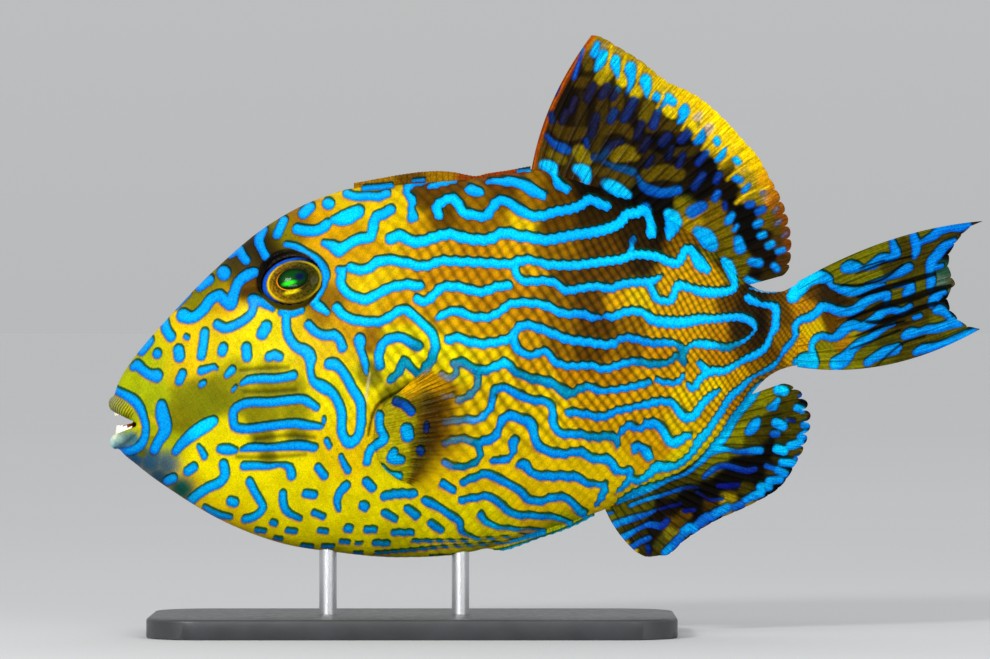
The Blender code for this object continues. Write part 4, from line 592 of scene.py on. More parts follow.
DORSAL_GROUND = [
    (597, 38, 5, (150, 120, 0)), (585, 45, 4, (120, 95, 0)), (575, 55, 4, (90, 50, 4)),
    (610, 45, 5, (150, 120, 0)), (625, 55, 5, (152, 124, 0)), (640, 65, 5, (165, 135, 0)),
    (655, 73, 6, (190, 155, 0)), (670, 83, 6, (210, 175, 0)), (685, 92, 7, (228, 188, 0)),
    (700, 102, 7, (240, 200, 0)), (715, 115, 7, (250, 214, 0)), (730, 130, 7, (250, 218, 0)),
    (745, 148, 7, (242, 206, 0)), (757, 165, 6, (226, 182, 0)), (766, 178, 5, (206, 146, 4)),
    (771, 190, 5, (180, 112, 6)), (779, 200, 4, (140, 82, 6)), (784, 212, 4, (122, 64, 4)),
    (788, 227, 4, (112, 60, 4)), (789, 245, 4, (104, 52, 4)), (787, 262, 4, (64, 38, 4)),
    (775, 228, 4, (80, 62, 2)), (775, 240, 4, (64, 44, 4)), (765, 220, 4, (96, 76, 0)),
    (604, 47, 2.4, (150, 130, 80)), (618, 54, 2.4, (150, 128, 60)), (636, 64, 2.4, (158, 134, 50)),
    (655, 84, 5, (200, 172, 10)), (668, 92, 4, (206, 180, 30)), (698, 116, 2.8, (180, 160, 130)),
    (708, 127, 3, (176, 154, 130)), (690, 104, 5, (232, 196, 10)), (707, 118, 4, (244, 212, 20)),
    (722, 137, 4, (244, 210, 20)), (734, 150, 4, (226, 190, 20)), (742, 167, 3, (186, 154, 50)),
    (748, 178, 5, (160, 136, 20)), (764, 194, 2.6, (156, 126, 90)), (755, 196, 4, (130, 112, 8)),
    (742, 198, 3, (150, 124, 4)), (592, 60, 4, (50, 38, 4)), (590, 72, 5, (34, 24, 2)),
    (606, 74, 5, (60, 48, 2)), (623, 82, 4.6, (70, 56, 2)), (637, 94, 5, (60, 48, 2)),
    (652, 90, 3, (130, 110, 2)), (608, 84, 5, (32, 24, 2)), (584, 84, 7, (28, 18, 2)),
    (600, 102, 7, (26, 16, 2)), (622, 104, 7, (26, 16, 2)), (646, 109, 6, (34, 24, 2)),
    (668, 112, 5, (60, 48, 2)), (666, 127, 6, (26, 18, 2)), (693, 127, 4, (120, 100, 2)),
    (680, 128, 4, (40, 30, 2)), (711, 148, 4, (160, 132, 2)), (725, 163, 4, (120, 98, 2)),
    (728, 172, 4, (70, 56, 2)), (560, 128, 8, (24, 14, 2)), (577, 133, 7, (24, 14, 2)),
    (605, 128, 7, (22, 14, 2)), (624, 133, 8, (22, 14, 2)), (597, 140, 5, (28, 20, 2)),
    (560, 157, 5, (44, 34, 2)), (582, 160, 5, (60, 50, 2)), (600, 158, 5, (40, 32, 2)),
    (622, 155, 8, (30, 22, 2)), (655, 175, 8, (24, 18, 2)), (680, 178, 6, (24, 18, 2)),
    (545, 110, 6, (40, 26, 2)), (555, 108, 5, SOOT), (568, 96, 7, SOOT), (570, 75, 6, SOOT),
    (585, 108, 5, SOOT), (612, 100, 4, SOOT), (640, 122, 6, SOOT), (640, 150, 8, SOOT), (662, 148, 8, BLACK),
    (690, 148, 7, BLACK), (700, 160, 6, BLACK), (712, 170, 6, BLACK), (690, 165, 6, SOOT),
    (700, 192, 8, BLACK), (725, 188, 6, SOOT), (735, 200, 6, BLACK), (745, 215, 7, BLACK),
    (750, 235, 7, BLACK), (768, 236, 4, SOOT), (762, 250, 6, SOOT), (770, 275, 5, (40, 30, 2)),
    (755, 272, 4, SOOT), (778, 283, 5, (48, 36, 4)), (688, 206, 5, (80, 80, 0)), (712, 210, 6, (104, 82, 0)),
    (690, 220, 6, (150, 120, 0)), (722, 234, 6, (100, 84, 0)), (729, 252, 5, (96, 84, 0)),
    (741, 264, 6, (90, 80, 0)), (720, 250, 4, (84, 70, 0)), (765, 262, 4, SOOT), (583, 190, 4, (190, 140, 0)),
    (572, 178, 5, UMBER), (594, 178, 5, UMBER), (600, 196, 7, SOOT), (640, 205, 8, BLACK),
    (620, 176, 6, DIM_OLIVE), (655, 204, 7, BLACK), (540, 150, 5, (70, 50, 2)), (545, 175, 5, BROWN),
]
# The stroke where the anal fin's root meets the belly, on both.
ANAL_ROOT_STROKES = [
    (4.0, (617, 503, 1.8), (624.6, 498.5, 3), (634, 494, 4), (643, 490.4, 4.2), (652, 487, 3.6),
     (661.5, 483.5, 2.6), (670.8, 479, 2), (682.3, 475.4, 2), (690.4, 470.8, 2.4), (697.3, 465, 2.6),
     (702, 460.4, 3.2), (707.7, 454.6, 3.6), (714.6, 446.5, 4.6), (721.5, 439.6, 5), (727.3, 430.4, 5),
     (732.5, 421, 4.6), (740, 410.8, 4.4), (747, 402.7, 4.8), (752.7, 394.6, 5), (758, 388, 4.4),
     (761.5, 383.5, 2.8)),
]
ANAL_STROKES = [
    (2.0, (630, 506), (645, 500), (660, 496), (675, 491), (690, 487), (698, 488, 1.2)),
    (1.6, (601, 515), (612, 513)),
    (3.8, (614, 525), (625, 521, 3.5), (638, 517, 3.1), (648, 514, 2.4), (656, 510, 1.4)),
    (1.6, (660, 509), (671, 506)),
    (3.4, (621, 538), (630, 534, 3.2), (640, 528, 2.2), (650, 524.5, 3.2), (661, 526, 4), (667, 521, 3.2)),
    (3.0, (627, 549), (633, 547, 3.2), (638, 543, 2.8), (645, 540, 3.2), (649, 538, 2.8)),
    (3.0, (648, 547), (649, 552)), (4.2, (665, 553), (670, 548)), (4.4, (673, 545), (680, 538)),
    (5.0, (684, 532), (690, 527.5)), (4.2, (694.5, 530), (697, 525)), (5.2, (701, 522), (707, 517.5)),
    (4.8, (711.5, 516.5), (716, 513)), (4.8, (721, 511), (727, 508)), (3.6, (734, 507), (741, 504.5)),
    (3.8, (745, 500.5), (751, 497.5)), (4.2, (753, 496), (761, 493)), (4.2, (760, 487), (769, 487)),
    (4.2, (769, 481), (780, 479.5)), (4.0, (777, 470), (785, 473.5)), (4.2, (782, 462.5), (794, 463.5)),
    (4.4, (790, 446), (800, 443)), (4.4, (801, 437), (806, 434)), (4.0, (804, 425), (809, 424)),
    (4.0, (797, 408), (802, 410)), (2.0, (800, 396), (804, 398)), (2.4, (796, 458), (801, 456)),
    (2.6, (766, 466), (774, 468.5)), (4.8, (777, 449), (784, 451)), (5.0, (776, 423), (783, 426)),
    (3.6, (773, 434), (777, 434)), (1.8, (787, 420), (794, 421)),
    (3.0, (769, 408), (773.5, 407, 4.2), (778, 400, 2.8)), (5.2, (778, 390), (784, 391)),
    (5.0, (749, 431.5, 4.6), (754, 426, 5.8), (757.5, 421, 3.6)),
    (3.0, (712, 452, 3.4), (720, 449.5, 3.6), (729, 450, 2.2), (738, 452, 2.4), (751, 451, 3.6),
     (760, 450.5, 4)),
    (3.0, (704, 477, 2.4), (710, 472), (718, 467, 3), (728, 466, 3.2), (738, 469, 3), (748, 471, 3.2),
     (755, 469, 2.8)),
    (2.4, (718, 486), (728, 486, 3.2), (738, 485, 2.4)), (1.8, (672, 506), (680, 504)),
    (2.2, (684, 511), (694, 510)), (1.6, (708, 500), (722, 499)), (1.8, (697, 492), (706, 498)),
]
# Blotches with a firm edge on the two fins, over their ground: a colour, then a stroke with half widths.
DORSAL_BLOTCHES = [
    ((84, 66, 2), (588, 54, 4), (588, 66, 5)), ((60, 44, 2), (577, 82, 5), (590, 83, 5.5), (604, 83, 6)),
    ((150, 128, 0), (602, 78, 7), (607, 72, 7)), ((210, 186, 0), (622, 78, 5), (622.5, 81.5, 5.4)),
    ((188, 164, 0), (636, 93, 6), (640, 90, 5)), ((70, 54, 2), (618, 96, 6), (617, 106, 6)),
    ((94, 78, 2), (649, 106, 6), (644, 118, 5.6)), ((214, 188, 0), (668, 109, 6), (672, 113, 5.6)),
    ((224, 194, 0), (690, 122, 4), (696, 129, 4)), ((60, 44, 2), (555, 126, 6), (566, 134, 7), (582, 132, 6)),
    ((44, 32, 2), (584, 96, 4), (582, 110, 5), (580, 122, 5)),
    ((56, 42, 2), (603, 100, 5), (602, 112, 6), (604, 124, 5)),
    ((64, 48, 2), (603, 132, 5), (612, 127, 6), (624, 128, 6), (630, 134, 5)),
    ((56, 42, 2), (600, 138, 4), (595, 149, 4)), ((122, 106, 0), (580, 152, 7.4), (585, 159, 7)),
    ((106, 88, 0), (616, 156, 7), (624, 153, 8.6), (634, 155, 6)),
    ((60, 46, 2), (650, 128, 5), (664, 124, 6), (676, 128, 5)),
    ((82, 66, 0), (648, 175, 7), (662, 172, 7.6), (678, 174, 7)),
    ((52, 40, 2), (674, 152, 4), (688, 152, 5), (697, 148, 4)),
    ((72, 56, 2), (596, 171, 4), (612, 174, 5), (628, 180, 4)),
    ((212, 178, 0), (708, 150, 3.4), (714, 145, 3.4)), ((112, 98, 0), (679, 202, 5), (688, 210, 6)),
    ((96, 80, 0), (551, 154, 4), (562, 160, 5)), ((36, 26, 2), (640, 150, 5), (660, 160, 5)),
]
ANAL_BLOTCHES = [
    ((150, 130, 0), (726, 502, 4.4), (730, 504, 4.4)), ((120, 106, 0), (743, 502, 3.2), (747, 504, 3.2)),
    ((120, 100, 0), (682, 531, 3), (686, 533, 3)), ((110, 92, 0), (701, 523, 3), (705, 525, 3)),
    ((80, 58, 0), (668, 520, 4), (672, 522, 4)), ((84, 60, 0), (684, 513, 4), (688, 515, 4)),
    ((62, 42, 0), (708, 501, 4), (712, 503, 4)), ((120, 110, 8), (669, 534, 3.4), (673, 536, 3.4)),
    ((60, 52, 0), (743, 487, 3.8), (747, 489, 3.8)), ((72, 62, 0), (788, 399, 4), (792, 401, 4)),
    ((70, 62, 0), (794, 417, 3.6), (798, 419, 3.6)), ((66, 60, 0), (788, 430, 3.4), (792, 432, 3.4)),
    ((64, 56, 0), (788, 452, 3), (792, 454, 3)), ((40, 34, 0), (774, 458, 3), (778, 460, 3)),
]
ANAL_GROUND = [
    (609, 524, 4, DEEP_OLIVE), (645, 507, 4, (74, 70, 0)), (625, 511, 4, (80, 76, 0)),
    (632, 528, 3, (52, 46, 0)), (642, 534, 4, (44, 38, 0)), (612, 535, 4, (60, 58, 0)), (690, 513, 8, BLACK),
    (681, 522, 5, (74, 54, 0)), (670, 534, 4, (110, 100, 8)), (663, 541, 4, (64, 62, 8)),
    (652, 557, 4, (50, 44, 0)), (700, 500, 10, BLACK), (665, 515, 7, SOOT), (655, 533, 5, SOOT),
    (738, 477, 9, BLACK), (762, 470, 7, BLACK), (730, 503, 5, (130, 112, 0)), (747, 503, 3, (110, 100, 0)),
    (709, 506, 4, (60, 42, 0)), (745, 488, 4, (52, 46, 0)), (771, 473, 4, (60, 50, 0)),
    (715, 457, 6, (108, 106, 0)), (703, 467, 5, (92, 90, 0)), (690, 479, 5, (60, 54, 0)),
    (670, 486, 5, (50, 46, 0)), (735, 437, 6, (124, 122, 0)), (765, 400, 6, (120, 116, 0)),
    (774, 384, 5, (108, 104, 0)), (756, 410, 6, (100, 96, 0)), (735, 446, 4, (84, 84, 0)),
    (750, 442, 5, (62, 58, 0)), (768, 420, 4, (52, 48, 0)), (768, 445, 5, BLACK), (790, 390, 5, (66, 62, 0)),
    (786, 403, 4, (58, 54, 0)), (796, 419, 4, (66, 60, 0)), (790, 430, 4, (62, 58, 0)),
    (782, 440, 4, (42, 38, 0)), (790, 453, 3, (62, 56, 0)), (776, 413, 3, (50, 46, 0)), (785, 456, 3, SOOT),
    (790, 472, 4, BLACK), (742, 498, 3, (30, 26, 0)), (775, 490, 4, BLACK), (740, 510, 4, BLACK),
    (700, 533, 4, BLACK), (808, 440, 3, BLACK), (812, 424, 3, (40, 10, 20)), (806, 404, 3, BLACK),
    (798, 385, 4, (60, 50, 40)), (760, 437, 5, DIM_OLIVE),
]
PECTORAL_STROKES = [
    (4.2, (397, 401), (405, 404), (412, 411)), (6.2, (407.5, 429), (408.5, 435)),
    (4.0, (395, 451), (393, 457, 5.4), (402, 459, 4)), (3.4, (383, 467), (389, 473), (400, 475)),
    (2.8, (427, 424), (427, 429)), (3.8, (420.6, 449), (421.6, 451)),
    (4.4, (380.5, 415), (381, 427, 4), (385.6, 438), (379, 443), (371, 450), (368, 461)),
]
PECTORAL_GROUND = [
    (385, 400, 8, (150, 140, 4)), (382, 425, 8, (160, 148, 4)), (380, 455, 8, (190, 176, 4)),
    (400, 418, 8, (158, 146, 2)), (398, 445, 8, (172, 160, 4)), (402, 468, 7, (160, 152, 2)),
    (420, 440, 7, (104, 92, 2)), (425, 400, 8, (96, 80, 4)), (418, 460, 6, (120, 108, 2)),
    (440, 378, 12, (236, 172, 0)), (420, 384, 8, (206, 156, 0)), (444, 410, 12, (120, 80, 0)),
    (442, 440, 12, (104, 68, 0)), (430, 466, 9, (140, 96, 0)), (460, 395, 10, (214, 160, 0)),
    (458, 425, 9, (196, 140, 0)), (425, 480, 8, OCHRE), (470, 390, 10, OCHRE), (478, 410, 8, OCHRE),
]
BLUE_GROUND = [
    (150, 370, 30, AZURE), (150, 420, 26, AZURE), (200, 340, 30, SKY), (230, 300, 24, AZURE),
    (250, 250, 20, AZURE), (270, 350, 30, SKY), (290, 390, 26, SKY), (270, 425, 26, AZURE),
    (250, 480, 30, SKY), (205, 428, 10, CYAN), (180, 445, 10, AZURE), (310, 230, 20, SKY),
    (350, 230, 18, CYAN), (350, 290, 18, CYAN), (325, 275, 12, AZURE), (330, 380, 24, SKY),
    (360, 420, 24, SKY), (380, 205, 16, SKY), (413, 200, 14, SKY), (420, 265, 24, CYAN), (460, 240, 24, CYAN),
    (470, 264, 20, CYAN), (470, 290, 16, CYAN), (520, 237, 18, CYAN), (500, 205, 20, SKY),
    (560, 240, 20, SKY), (590, 205, 16, SKY), (620, 260, 20, CYAN), (560, 265, 18, CYAN), (560, 288, 18, SKY),
    (620, 290, 16, SKY), (685, 255, 14, CYAN), (705, 240, 14, SKY), (680, 220, 12, SKY), (700, 292, 20, CYAN),
    (480, 316, 16, CYAN), (540, 305, 16, CYAN), (590, 318, 10, AZURE), (640, 312, 14, CYAN),
    (690, 320, 20, CYAN), (740, 320, 14, SKY), (480, 342, 16, CYAN), (540, 328, 14, SKY), (580, 342, 18, SKY),
    (640, 341, 16, AZURE), (705, 345, 10, CYAN), (728, 347, 8, TEAL), (681, 356, 8, TEAL),
    (560, 365, 16, SKY), (610, 366, 16, SKY), (650, 363, 12, TEAL), (530, 380, 10, TEAL),
    (565, 390, 12, TEAL), (620, 388, 14, SKY), (670, 384, 10, SKY), (712, 373, 12, CYAN), (760, 350, 12, SKY),
    (774, 315, 10, SKY), (520, 396, 12, AZURE), (555, 420, 14, SKY), (600, 416, 16, AZURE),
    (660, 402, 14, SKY), (690, 415, 12, CYAN), (600, 438, 12, TEAL), (640, 426, 12, AZURE),
    (680, 443, 12, CYAN), (505, 420, 12, AZURE), (460, 365, 10, TEAL), (476, 385, 10, TEAL),
    (455, 420, 10, TEAL), (480, 417, 8, SKY), (460, 440, 9, TEAL), (470, 463, 10, TEAL), (400, 368, 10, TEAL),
    (384, 345, 10, SKY), (500, 440, 10, AZURE), (560, 453, 18, AZURE), (610, 465, 14, SKY),
    (560, 476, 18, AZURE), (500, 480, 18, AZURE), (440, 500, 24, (0, 152, 224)),
    (400, 530, 24, (0, 146, 200)), (340, 500, 24, (0, 152, 224)), (300, 530, 20, (0, 150, 210)),
    (540, 500, 16, (0, 152, 224)), (395, 545, 10, (0, 150, 190)), (500, 540, 14, CYAN), (560, 533, 14, CYAN),
    (540, 515, 12, SKY), (700, 435, 10, CYAN), (660, 470, 10, CYAN), (730, 400, 12, SKY),
    (784, 350, 8, AZURE), (797, 290, 12, CYAN), (812, 362, 10, CYAN), (810, 318, 10, SKY),
    (850, 300, 18, AZURE), (900, 280, 16, (0, 128, 214)), (850, 335, 14, AZURE),
    (930, 270, 16, (0, 132, 220)), (930, 340, 18, (0, 140, 222)), (940, 235, 14, (0, 126, 220)),
    (545, 165, 8, CYAN), (580, 172, 8, CYAN), (615, 188, 8, CYAN), (762, 291, 3, (120, 214, 240)),
    (632, 240, 4, (0, 78, 140)),
]
DORSAL_BLUE = [
    (597, 52, 8, SKY), (604, 62, 8, CYAN), (618, 66, 9, CYAN), (632, 74, 9, SKY), (648, 84, 8, CYAN),
    (660, 98, 7, SKY), (672, 100, 7, CYAN), (686, 113, 8, SKY), (702, 136, 7, AZURE), (720, 142, 6, CYAN),
    (720, 156, 7, SKY), (738, 162, 6, CYAN), (738, 178, 6, AZURE), (747, 188, 6, AZURE), (750, 205, 6, ROYAL),
    (761, 211, 6, ROYAL), (760, 224, 6, AZURE), (763, 235, 6, SKY), (771, 245, 6, SKY), (780, 251, 6, AZURE),
    (777, 267, 6, AZURE), (776, 210, 5, (110, 110, 110)), (780, 222, 5, (110, 110, 130)),
    (787, 234, 4, (110, 90, 100)), (763, 192, 4, (120, 130, 150)), (717, 180, 7, (10, 50, 130)),
    (716, 198, 6, ROYAL), (725, 206, 5, (8, 40, 120)), (730, 220, 7, AZURE), (738, 245, 9, AZURE),
    (755, 263, 8, AZURE), (754, 283, 7, SKY), (697, 209, 8, ROYAL), (705, 238, 12, SKY),
    (650, 190, 10, (0, 80, 160)), (668, 192, 9, (0, 92, 176)), (638, 177, 6, (0, 70, 120)),
    (606, 161, 7, (10, 60, 100)), (622, 169, 7, (4, 60, 110)), (556, 147, 8, (6, 70, 150)),
    (586, 143, 5, (6, 50, 120)), (578, 65, 8, (20, 80, 180)), (556, 93, 6, (10, 60, 130)),
    (600, 92, 10, (28, 28, 60)), (573, 104, 8, (28, 24, 52)), (594, 126, 8, (22, 24, 52)),
    (612, 116, 7, (20, 50, 104)), (630, 108, 8, (22, 40, 92)), (638, 132, 8, (20, 22, 54)),
    (657, 121, 8, (24, 50, 120)), (664, 139, 7, (16, 30, 80)), (684, 138, 6, (16, 40, 110)),
    (646, 144, 8, (18, 20, 50)), (616, 144, 7, (20, 26, 60)), (600, 156, 6, (16, 44, 80)),
    (681, 160, 7, (14, 30, 84)), (701, 158, 6, (10, 50, 130)), (698, 181, 7, (10, 44, 110)),
    (552, 118, 5, (12, 40, 90)), (563, 117, 7, (26, 24, 50)), (548, 168, 11, CYAN), (565, 188, 10, CYAN),
    (583, 175, 9, CYAN), (617, 189, 12, CYAN), (672, 222, 12, CYAN), (730, 275, 9, CYAN),
    (650, 164, 8, (16, 24, 60)), (670, 155, 7, (14, 22, 56)), (604, 173, 6, (20, 30, 50)),
]
ANAL_BLUE = [
    (640, 491, 12, CYAN), (665, 481, 8, SKY), (685, 471, 8, AZURE), (705, 457, 8, SKY), (722, 440, 12, CYAN),
    (750, 400, 14, CYAN), (640, 502, 8, AZURE), (670, 493, 8, ROYAL), (692, 487, 7, (10, 40, 100)),
    (618, 524, 8, AZURE), (645, 515, 8, ROYAL), (666, 507, 7, (6, 20, 110)), (625, 536, 6, AZURE),
    (650, 525, 7, ROYAL), (665, 524, 6, (10, 50, 150)), (640, 543, 8, ROYAL), (628, 549, 5, ROYAL),
    (649, 549, 5, (4, 20, 90)), (667, 551, 6, AZURE), (678, 541, 6, ROYAL), (688, 530, 6, AZURE),
    (705, 520, 8, ROYAL), (724, 509, 8, AZURE), (738, 506, 6, ROYAL), (750, 498, 6, AZURE),
    (765, 490, 8, SKY), (776, 480, 7, AZURE), (782, 471, 6, AZURE), (790, 463, 7, SKY), (796, 445, 7, SKY),
    (805, 435, 6, AZURE), (808, 424, 5, AZURE), (801, 409, 6, SKY), (803, 397, 4, ROYAL),
    (799, 457, 4, ROYAL), (770, 467, 4, ROYAL), (781, 450, 7, CYAN), (780, 424, 7, SKY), (775, 434, 4, ROYAL),
    (791, 420, 4, (6, 30, 120)), (773, 405, 6, AZURE), (781, 390, 7, CYAN), (752, 427, 9, AZURE),
    (740, 452, 7, ROYAL), (757, 451, 6, AZURE), (706, 474, 6, ROYAL), (725, 467, 8, (6, 60, 160)),
    (750, 470, 7, (8, 50, 140)), (728, 486, 9, (8, 20, 110)), (676, 505, 6, (6, 16, 100)),
    (689, 511, 6, (6, 24, 120)), (715, 500, 6, (8, 20, 110)), (702, 495, 6, (10, 20, 70)),
]
PECTORAL_BLUE = [
    (398, 401, 7, (10, 60, 130)), (410, 409, 7, ROYAL), (408, 432, 9, SKY), (396, 457, 8, SKY),
    (391, 473, 8, CYAN), (427, 427, 5, (6, 30, 90)), (421, 450, 5, (4, 60, 130)), (378, 440, 12, SKY),
]

# Ground and strokes of the folded spines.
SPINE_GROUND = [
    (345, 190, 10, OCHRE), (380, 180, 10, OCHRE), (410, 174, 10, BROWN), (440, 171, 10, OCHRE),
    (470, 175, 8, RUST), (500, 172, 12, RUST), (530, 165, 10, RUST),
]
SPINE_STROKES = [
    (2.2, (364, 188), (377, 187), (391, 185.5)), (1.6, (424, 180), (413, 181)), (1.4, (518, 171), (529, 170)),
]

# Steps in pixels from a place to where the strokes' dark upper border and warm lower border are read.
DARK_BORDER_STEP = (-0.8, 2.1)
WARM_BORDER_STEP = (0.7, -1.7)

# The far side of the fish, which the photo doesn't show, carries the same lines pushed about by waves:
# size in pixels, two wave numbers, phase. It starts and is full at these millimetres from the middle.
FAR_SIDE_WAVES = [(13.0, 0.021, 0.034, 0.7), (9.0, 0.043, -0.027, 2.1), (5.0, -0.051, 0.063, 4.0)]
FAR_SIDE_START = 1.0
FAR_SIDE_FULL = 9.0
# Places that aren't pushed about: eye, mouth and pectoral fin, each with its reach.
STILL_PLACES = [(293, 281, 52), (128, 420, 36), (395, 410, 36)]

# By millimetres behind the snout: pitch of the rows of scales, height of the beads, and how much painted
# shade and highlight they get.
SCALE_PITCH = [
    (0.0, 1.8), (60.0, 2.4), (95.0, 3.3), (125.0, 4.2), (165.0, 4.0), (195.0, 3.3), (225.0, 2.7),
    (262.0, 1.8), (300.0, 1.5),
]
SCALE_SLANTS = (math.radians(-32.0), math.radians(48.0))
SCALE_RELIEF = [
    (0.0, 0.02), (70.0, 0.03), (105.0, 0.09), (140.0, 0.16), (240.0, 0.14), (275.0, 0.05), (292.0, 0.0),
]
GROOVE_STRENGTH = [
    (0.0, 0.05), (60.0, 0.1), (100.0, 0.3), (130.0, 0.8), (240.0, 1.0), (275.0, 0.7), (292.0, 0.2),
]


def curve_through(points):
    """A smooth function y(x) through the points, whose slopes never overshoot between them."""
    xs = np.array([p[0] for p in points], float)
    ys = np.array([p[1] for p in points], float)
    steps = np.diff(xs)
    slopes = np.diff(ys) / steps
    tangents = np.zeros(len(xs))
    tangents[0] = slopes[0]
    tangents[-1] = slopes[-1]
    for i in range(1, len(xs) - 1):
        if slopes[i - 1] * slopes[i] > 0:
            w1 = 2 * steps[i] + steps[i - 1]
            w2 = steps[i] + 2 * steps[i - 1]
            tangents[i] = (w1 + w2) / (w1 / slopes[i - 1] + w2 / slopes[i])

    def value(x):
        x = np.clip(np.asarray(x, float), xs[0], xs[-1])
        i = np.clip(np.searchsorted(xs, x, side="right") - 1, 0, len(xs) - 2)
        t = (x - xs[i]) / steps[i]
        return (
            (1 + 2 * t) * (1 - t) ** 2 * ys[i]
            + t * (1 - t) ** 2 * steps[i] * tangents[i]
            + t * t * (3 - 2 * t) * ys[i + 1]
            + t * t * (t - 1) * steps[i] * tangents[i + 1]
        )

    return value


back_of = curve_through(BACK)
belly_of = curve_through(BELLY)
half_width_of = curve_through(HALF_WIDTH)
side_power_of = curve_through(SIDE_POWER)
scale_pitch_of = curve_through(SCALE_PITCH)
scale_relief_of = curve_through(SCALE_RELIEF)
groove_strength_of = curve_through(GROOVE_STRENGTH)


def along(points, share):
    """Points of a drawn line at these shares of its length, as a smooth curve through its points."""
    pts = np.array(points, float)
    lengths = np.concatenate([[0.0], np.cumsum(np.linalg.norm(np.diff(pts, axis=0), axis=1))])
    at = lengths / lengths[-1]
    ahead = curve_through(list(zip(at, pts[:, 0])))
    up = curve_through(list(zip(at, pts[:, 1])))
    return np.stack([ahead(share), up(share)], axis=-1)


def side_at(x, z):
    """Half width of the body at this station and height, in millimetres."""
    top, bottom = back_of(x), belly_of(x)
    share = np.clip((z - (top + bottom) / 2) / np.maximum((top - bottom) / 2, 1e-6), -1.0, 1.0)
    return half_width_of(x) * (1 - share**2) ** (side_power_of(x) / 2)


def belly_at(x, y):
    """Height of the body's underside at this station and distance from the middle plane."""
    top, bottom = back_of(x), belly_of(x)
    sine = (abs(y) / half_width_of(x)) ** (1 / side_power_of(x))
    return (top + bottom) / 2 - (top - bottom) / 2 * math.sqrt(max(0.0, 1 - sine * sine))


def surface_frame(x, z, side):
    """A point of the body's surface, its outward normal and its upward tangent. Side -1 is the left."""
    reach = 1.0
    here = Vector((x, side * float(side_at(x, z)), z))
    ahead = Vector((x + reach, side * float(side_at(x + reach, z)), z))
    above = Vector((x, side * float(side_at(x, z + reach)), z + reach))
    to_tail = (ahead - here).normalized()
    up = (above - here).normalized()
    normal = to_tail.cross(up)
    if normal.y * side < 0:
        normal.negate()
    normal.normalize()
    up = (up - normal * up.dot(normal)).normalized()
    return here, normal, up


def smoothstep(low, high, value):
    t = np.clip((value - low) / (high - low), 0.0, 1.0)
    return t * t * (3 - 2 * t)


def linear(colour):
    """A screen colour, 0 to 255, as the light that a shader works in."""
    c = np.array(colour, float) / 255.0
    return np.where(c <= 0.04045, c / 12.92, ((c + 0.055) / 1.055) ** 2.4)


def turns(count):
    """The angles of a ring's points."""
    return [math.tau * i / count for i in range(count)]


def new_object(name, points, faces):
    """A smooth-shaded object from points in millimetres from the snout."""
    placed = np.array([tuple(p) for p in points], float) * MM
    placed[:, 0] -= TOTAL_LENGTH / 2 * MM
    mesh = bpy.data.meshes.new(name)
    mesh.from_pydata(placed.tolist(), [], faces)
    made = bpy.data.objects.new(name, mesh)
    bpy.context.scene.collection.objects.link(made)
    working = bmesh.new()
    working.from_mesh(mesh)
    bmesh.ops.recalc_face_normals(working, faces=working.faces)
    working.to_mesh(mesh)
    working.free()
    mesh.shade_smooth()
    return made


def lofted(rings):
    """Points and faces of a closed body through rings of equal count, capped with a fan at each end."""
    count, sides = len(rings), len(rings[0])
    points = [tuple(p) for ring in rings for p in ring]
    faces = []
    for i in range(count - 1):
        for j in range(sides):
            k = (j + 1) % sides
            faces.append((i * sides + j, i * sides + k, (i + 1) * sides + k, (i + 1) * sides + j))
    for end, ring in ((0, rings[0]), (count - 1, rings[-1])):
        points.append(tuple(np.mean(np.array([tuple(p) for p in ring]), axis=0)))
        middle = len(points) - 1
        for j in range(sides):
            faces.append((end * sides + j, end * sides + (j + 1) % sides, middle))
    return points, faces


def tube(path, radii, sides, flat=(1.0, 1.0)):
    """Rings of a tube along a path. flat scales it across and upwards."""
    path = [Vector(p) for p in path]
    rings = []
    for i, here in enumerate(path):
        ahead = path[min(i + 1, len(path) - 1)] - path[max(i - 1, 0)]
        ahead.normalize()
        across = ahead.cross(Vector((0, 0, 1)))
        if across.length < 0.2:
            across = ahead.cross(Vector((0, 1, 0)))
        across.normalize()
        up = across.cross(ahead)
        ring = []
        for turn in turns(sides):
            sideways = across * radii[i] * flat[0] * math.cos(turn)
            upward = up * radii[i] * flat[1] * math.sin(turn)
            ring.append(here + sideways + upward)
        rings.append(ring)
    return rings


def apply_modifiers(target):
    """Gives the object the mesh that its modifiers make, and drops them."""
    shapes = bpy.context.evaluated_depsgraph_get()
    shapes.update()
    fresh = bpy.data.meshes.new_from_object(target.evaluated_get(shapes))
    target.modifiers.clear()
    target.data = fresh


def boolean(target, operation, pieces):
    """Joins the pieces to the target or cuts them from it, and removes them."""
    group = bpy.data.collections.new("boolean_pieces")
    bpy.context.scene.collection.children.link(group)
    for piece in pieces:
        group.objects.link(piece)
    step = target.modifiers.new("join", "BOOLEAN")
    step.operation = operation
    step.operand_type = "COLLECTION"
    step.collection = group
    step.solver = "EXACT"
    apply_modifiers(target)
    for piece in pieces:
        bpy.data.objects.remove(piece)
    bpy.data.collections.remove(group)


def girth(x, sides):
    """The ring of the body's outline at one station."""
    top, bottom = float(back_of(x)), float(belly_of(x))
    width, power = float(half_width_of(x)), float(side_power_of(x))
    ring = []
    for turn in turns(sides):
        sine = math.sin(turn)
        y = width * math.copysign(abs(sine) ** power, sine)
        ring.append((x, y, (top + bottom) / 2 + (top - bottom) / 2 * math.cos(turn)))
    return ring


def jaw_path(front, corner_inset, half_width, segments):
    """The edge of a jaw from one corner of the mouth round the front to the other."""
    path = []
    for i in range(segments + 1):
        turn = math.pi / 2 * (2 * i / segments - 1)
        share = 1 - math.cos(turn)
        ahead = front[0] + (MOUTH_CORNER[0] - corner_inset - front[0]) * share
        up = front[1] + (MOUTH_CORNER[1] - front[1]) * share
        path.append((ahead, half_width * math.sin(turn), up))
    return path


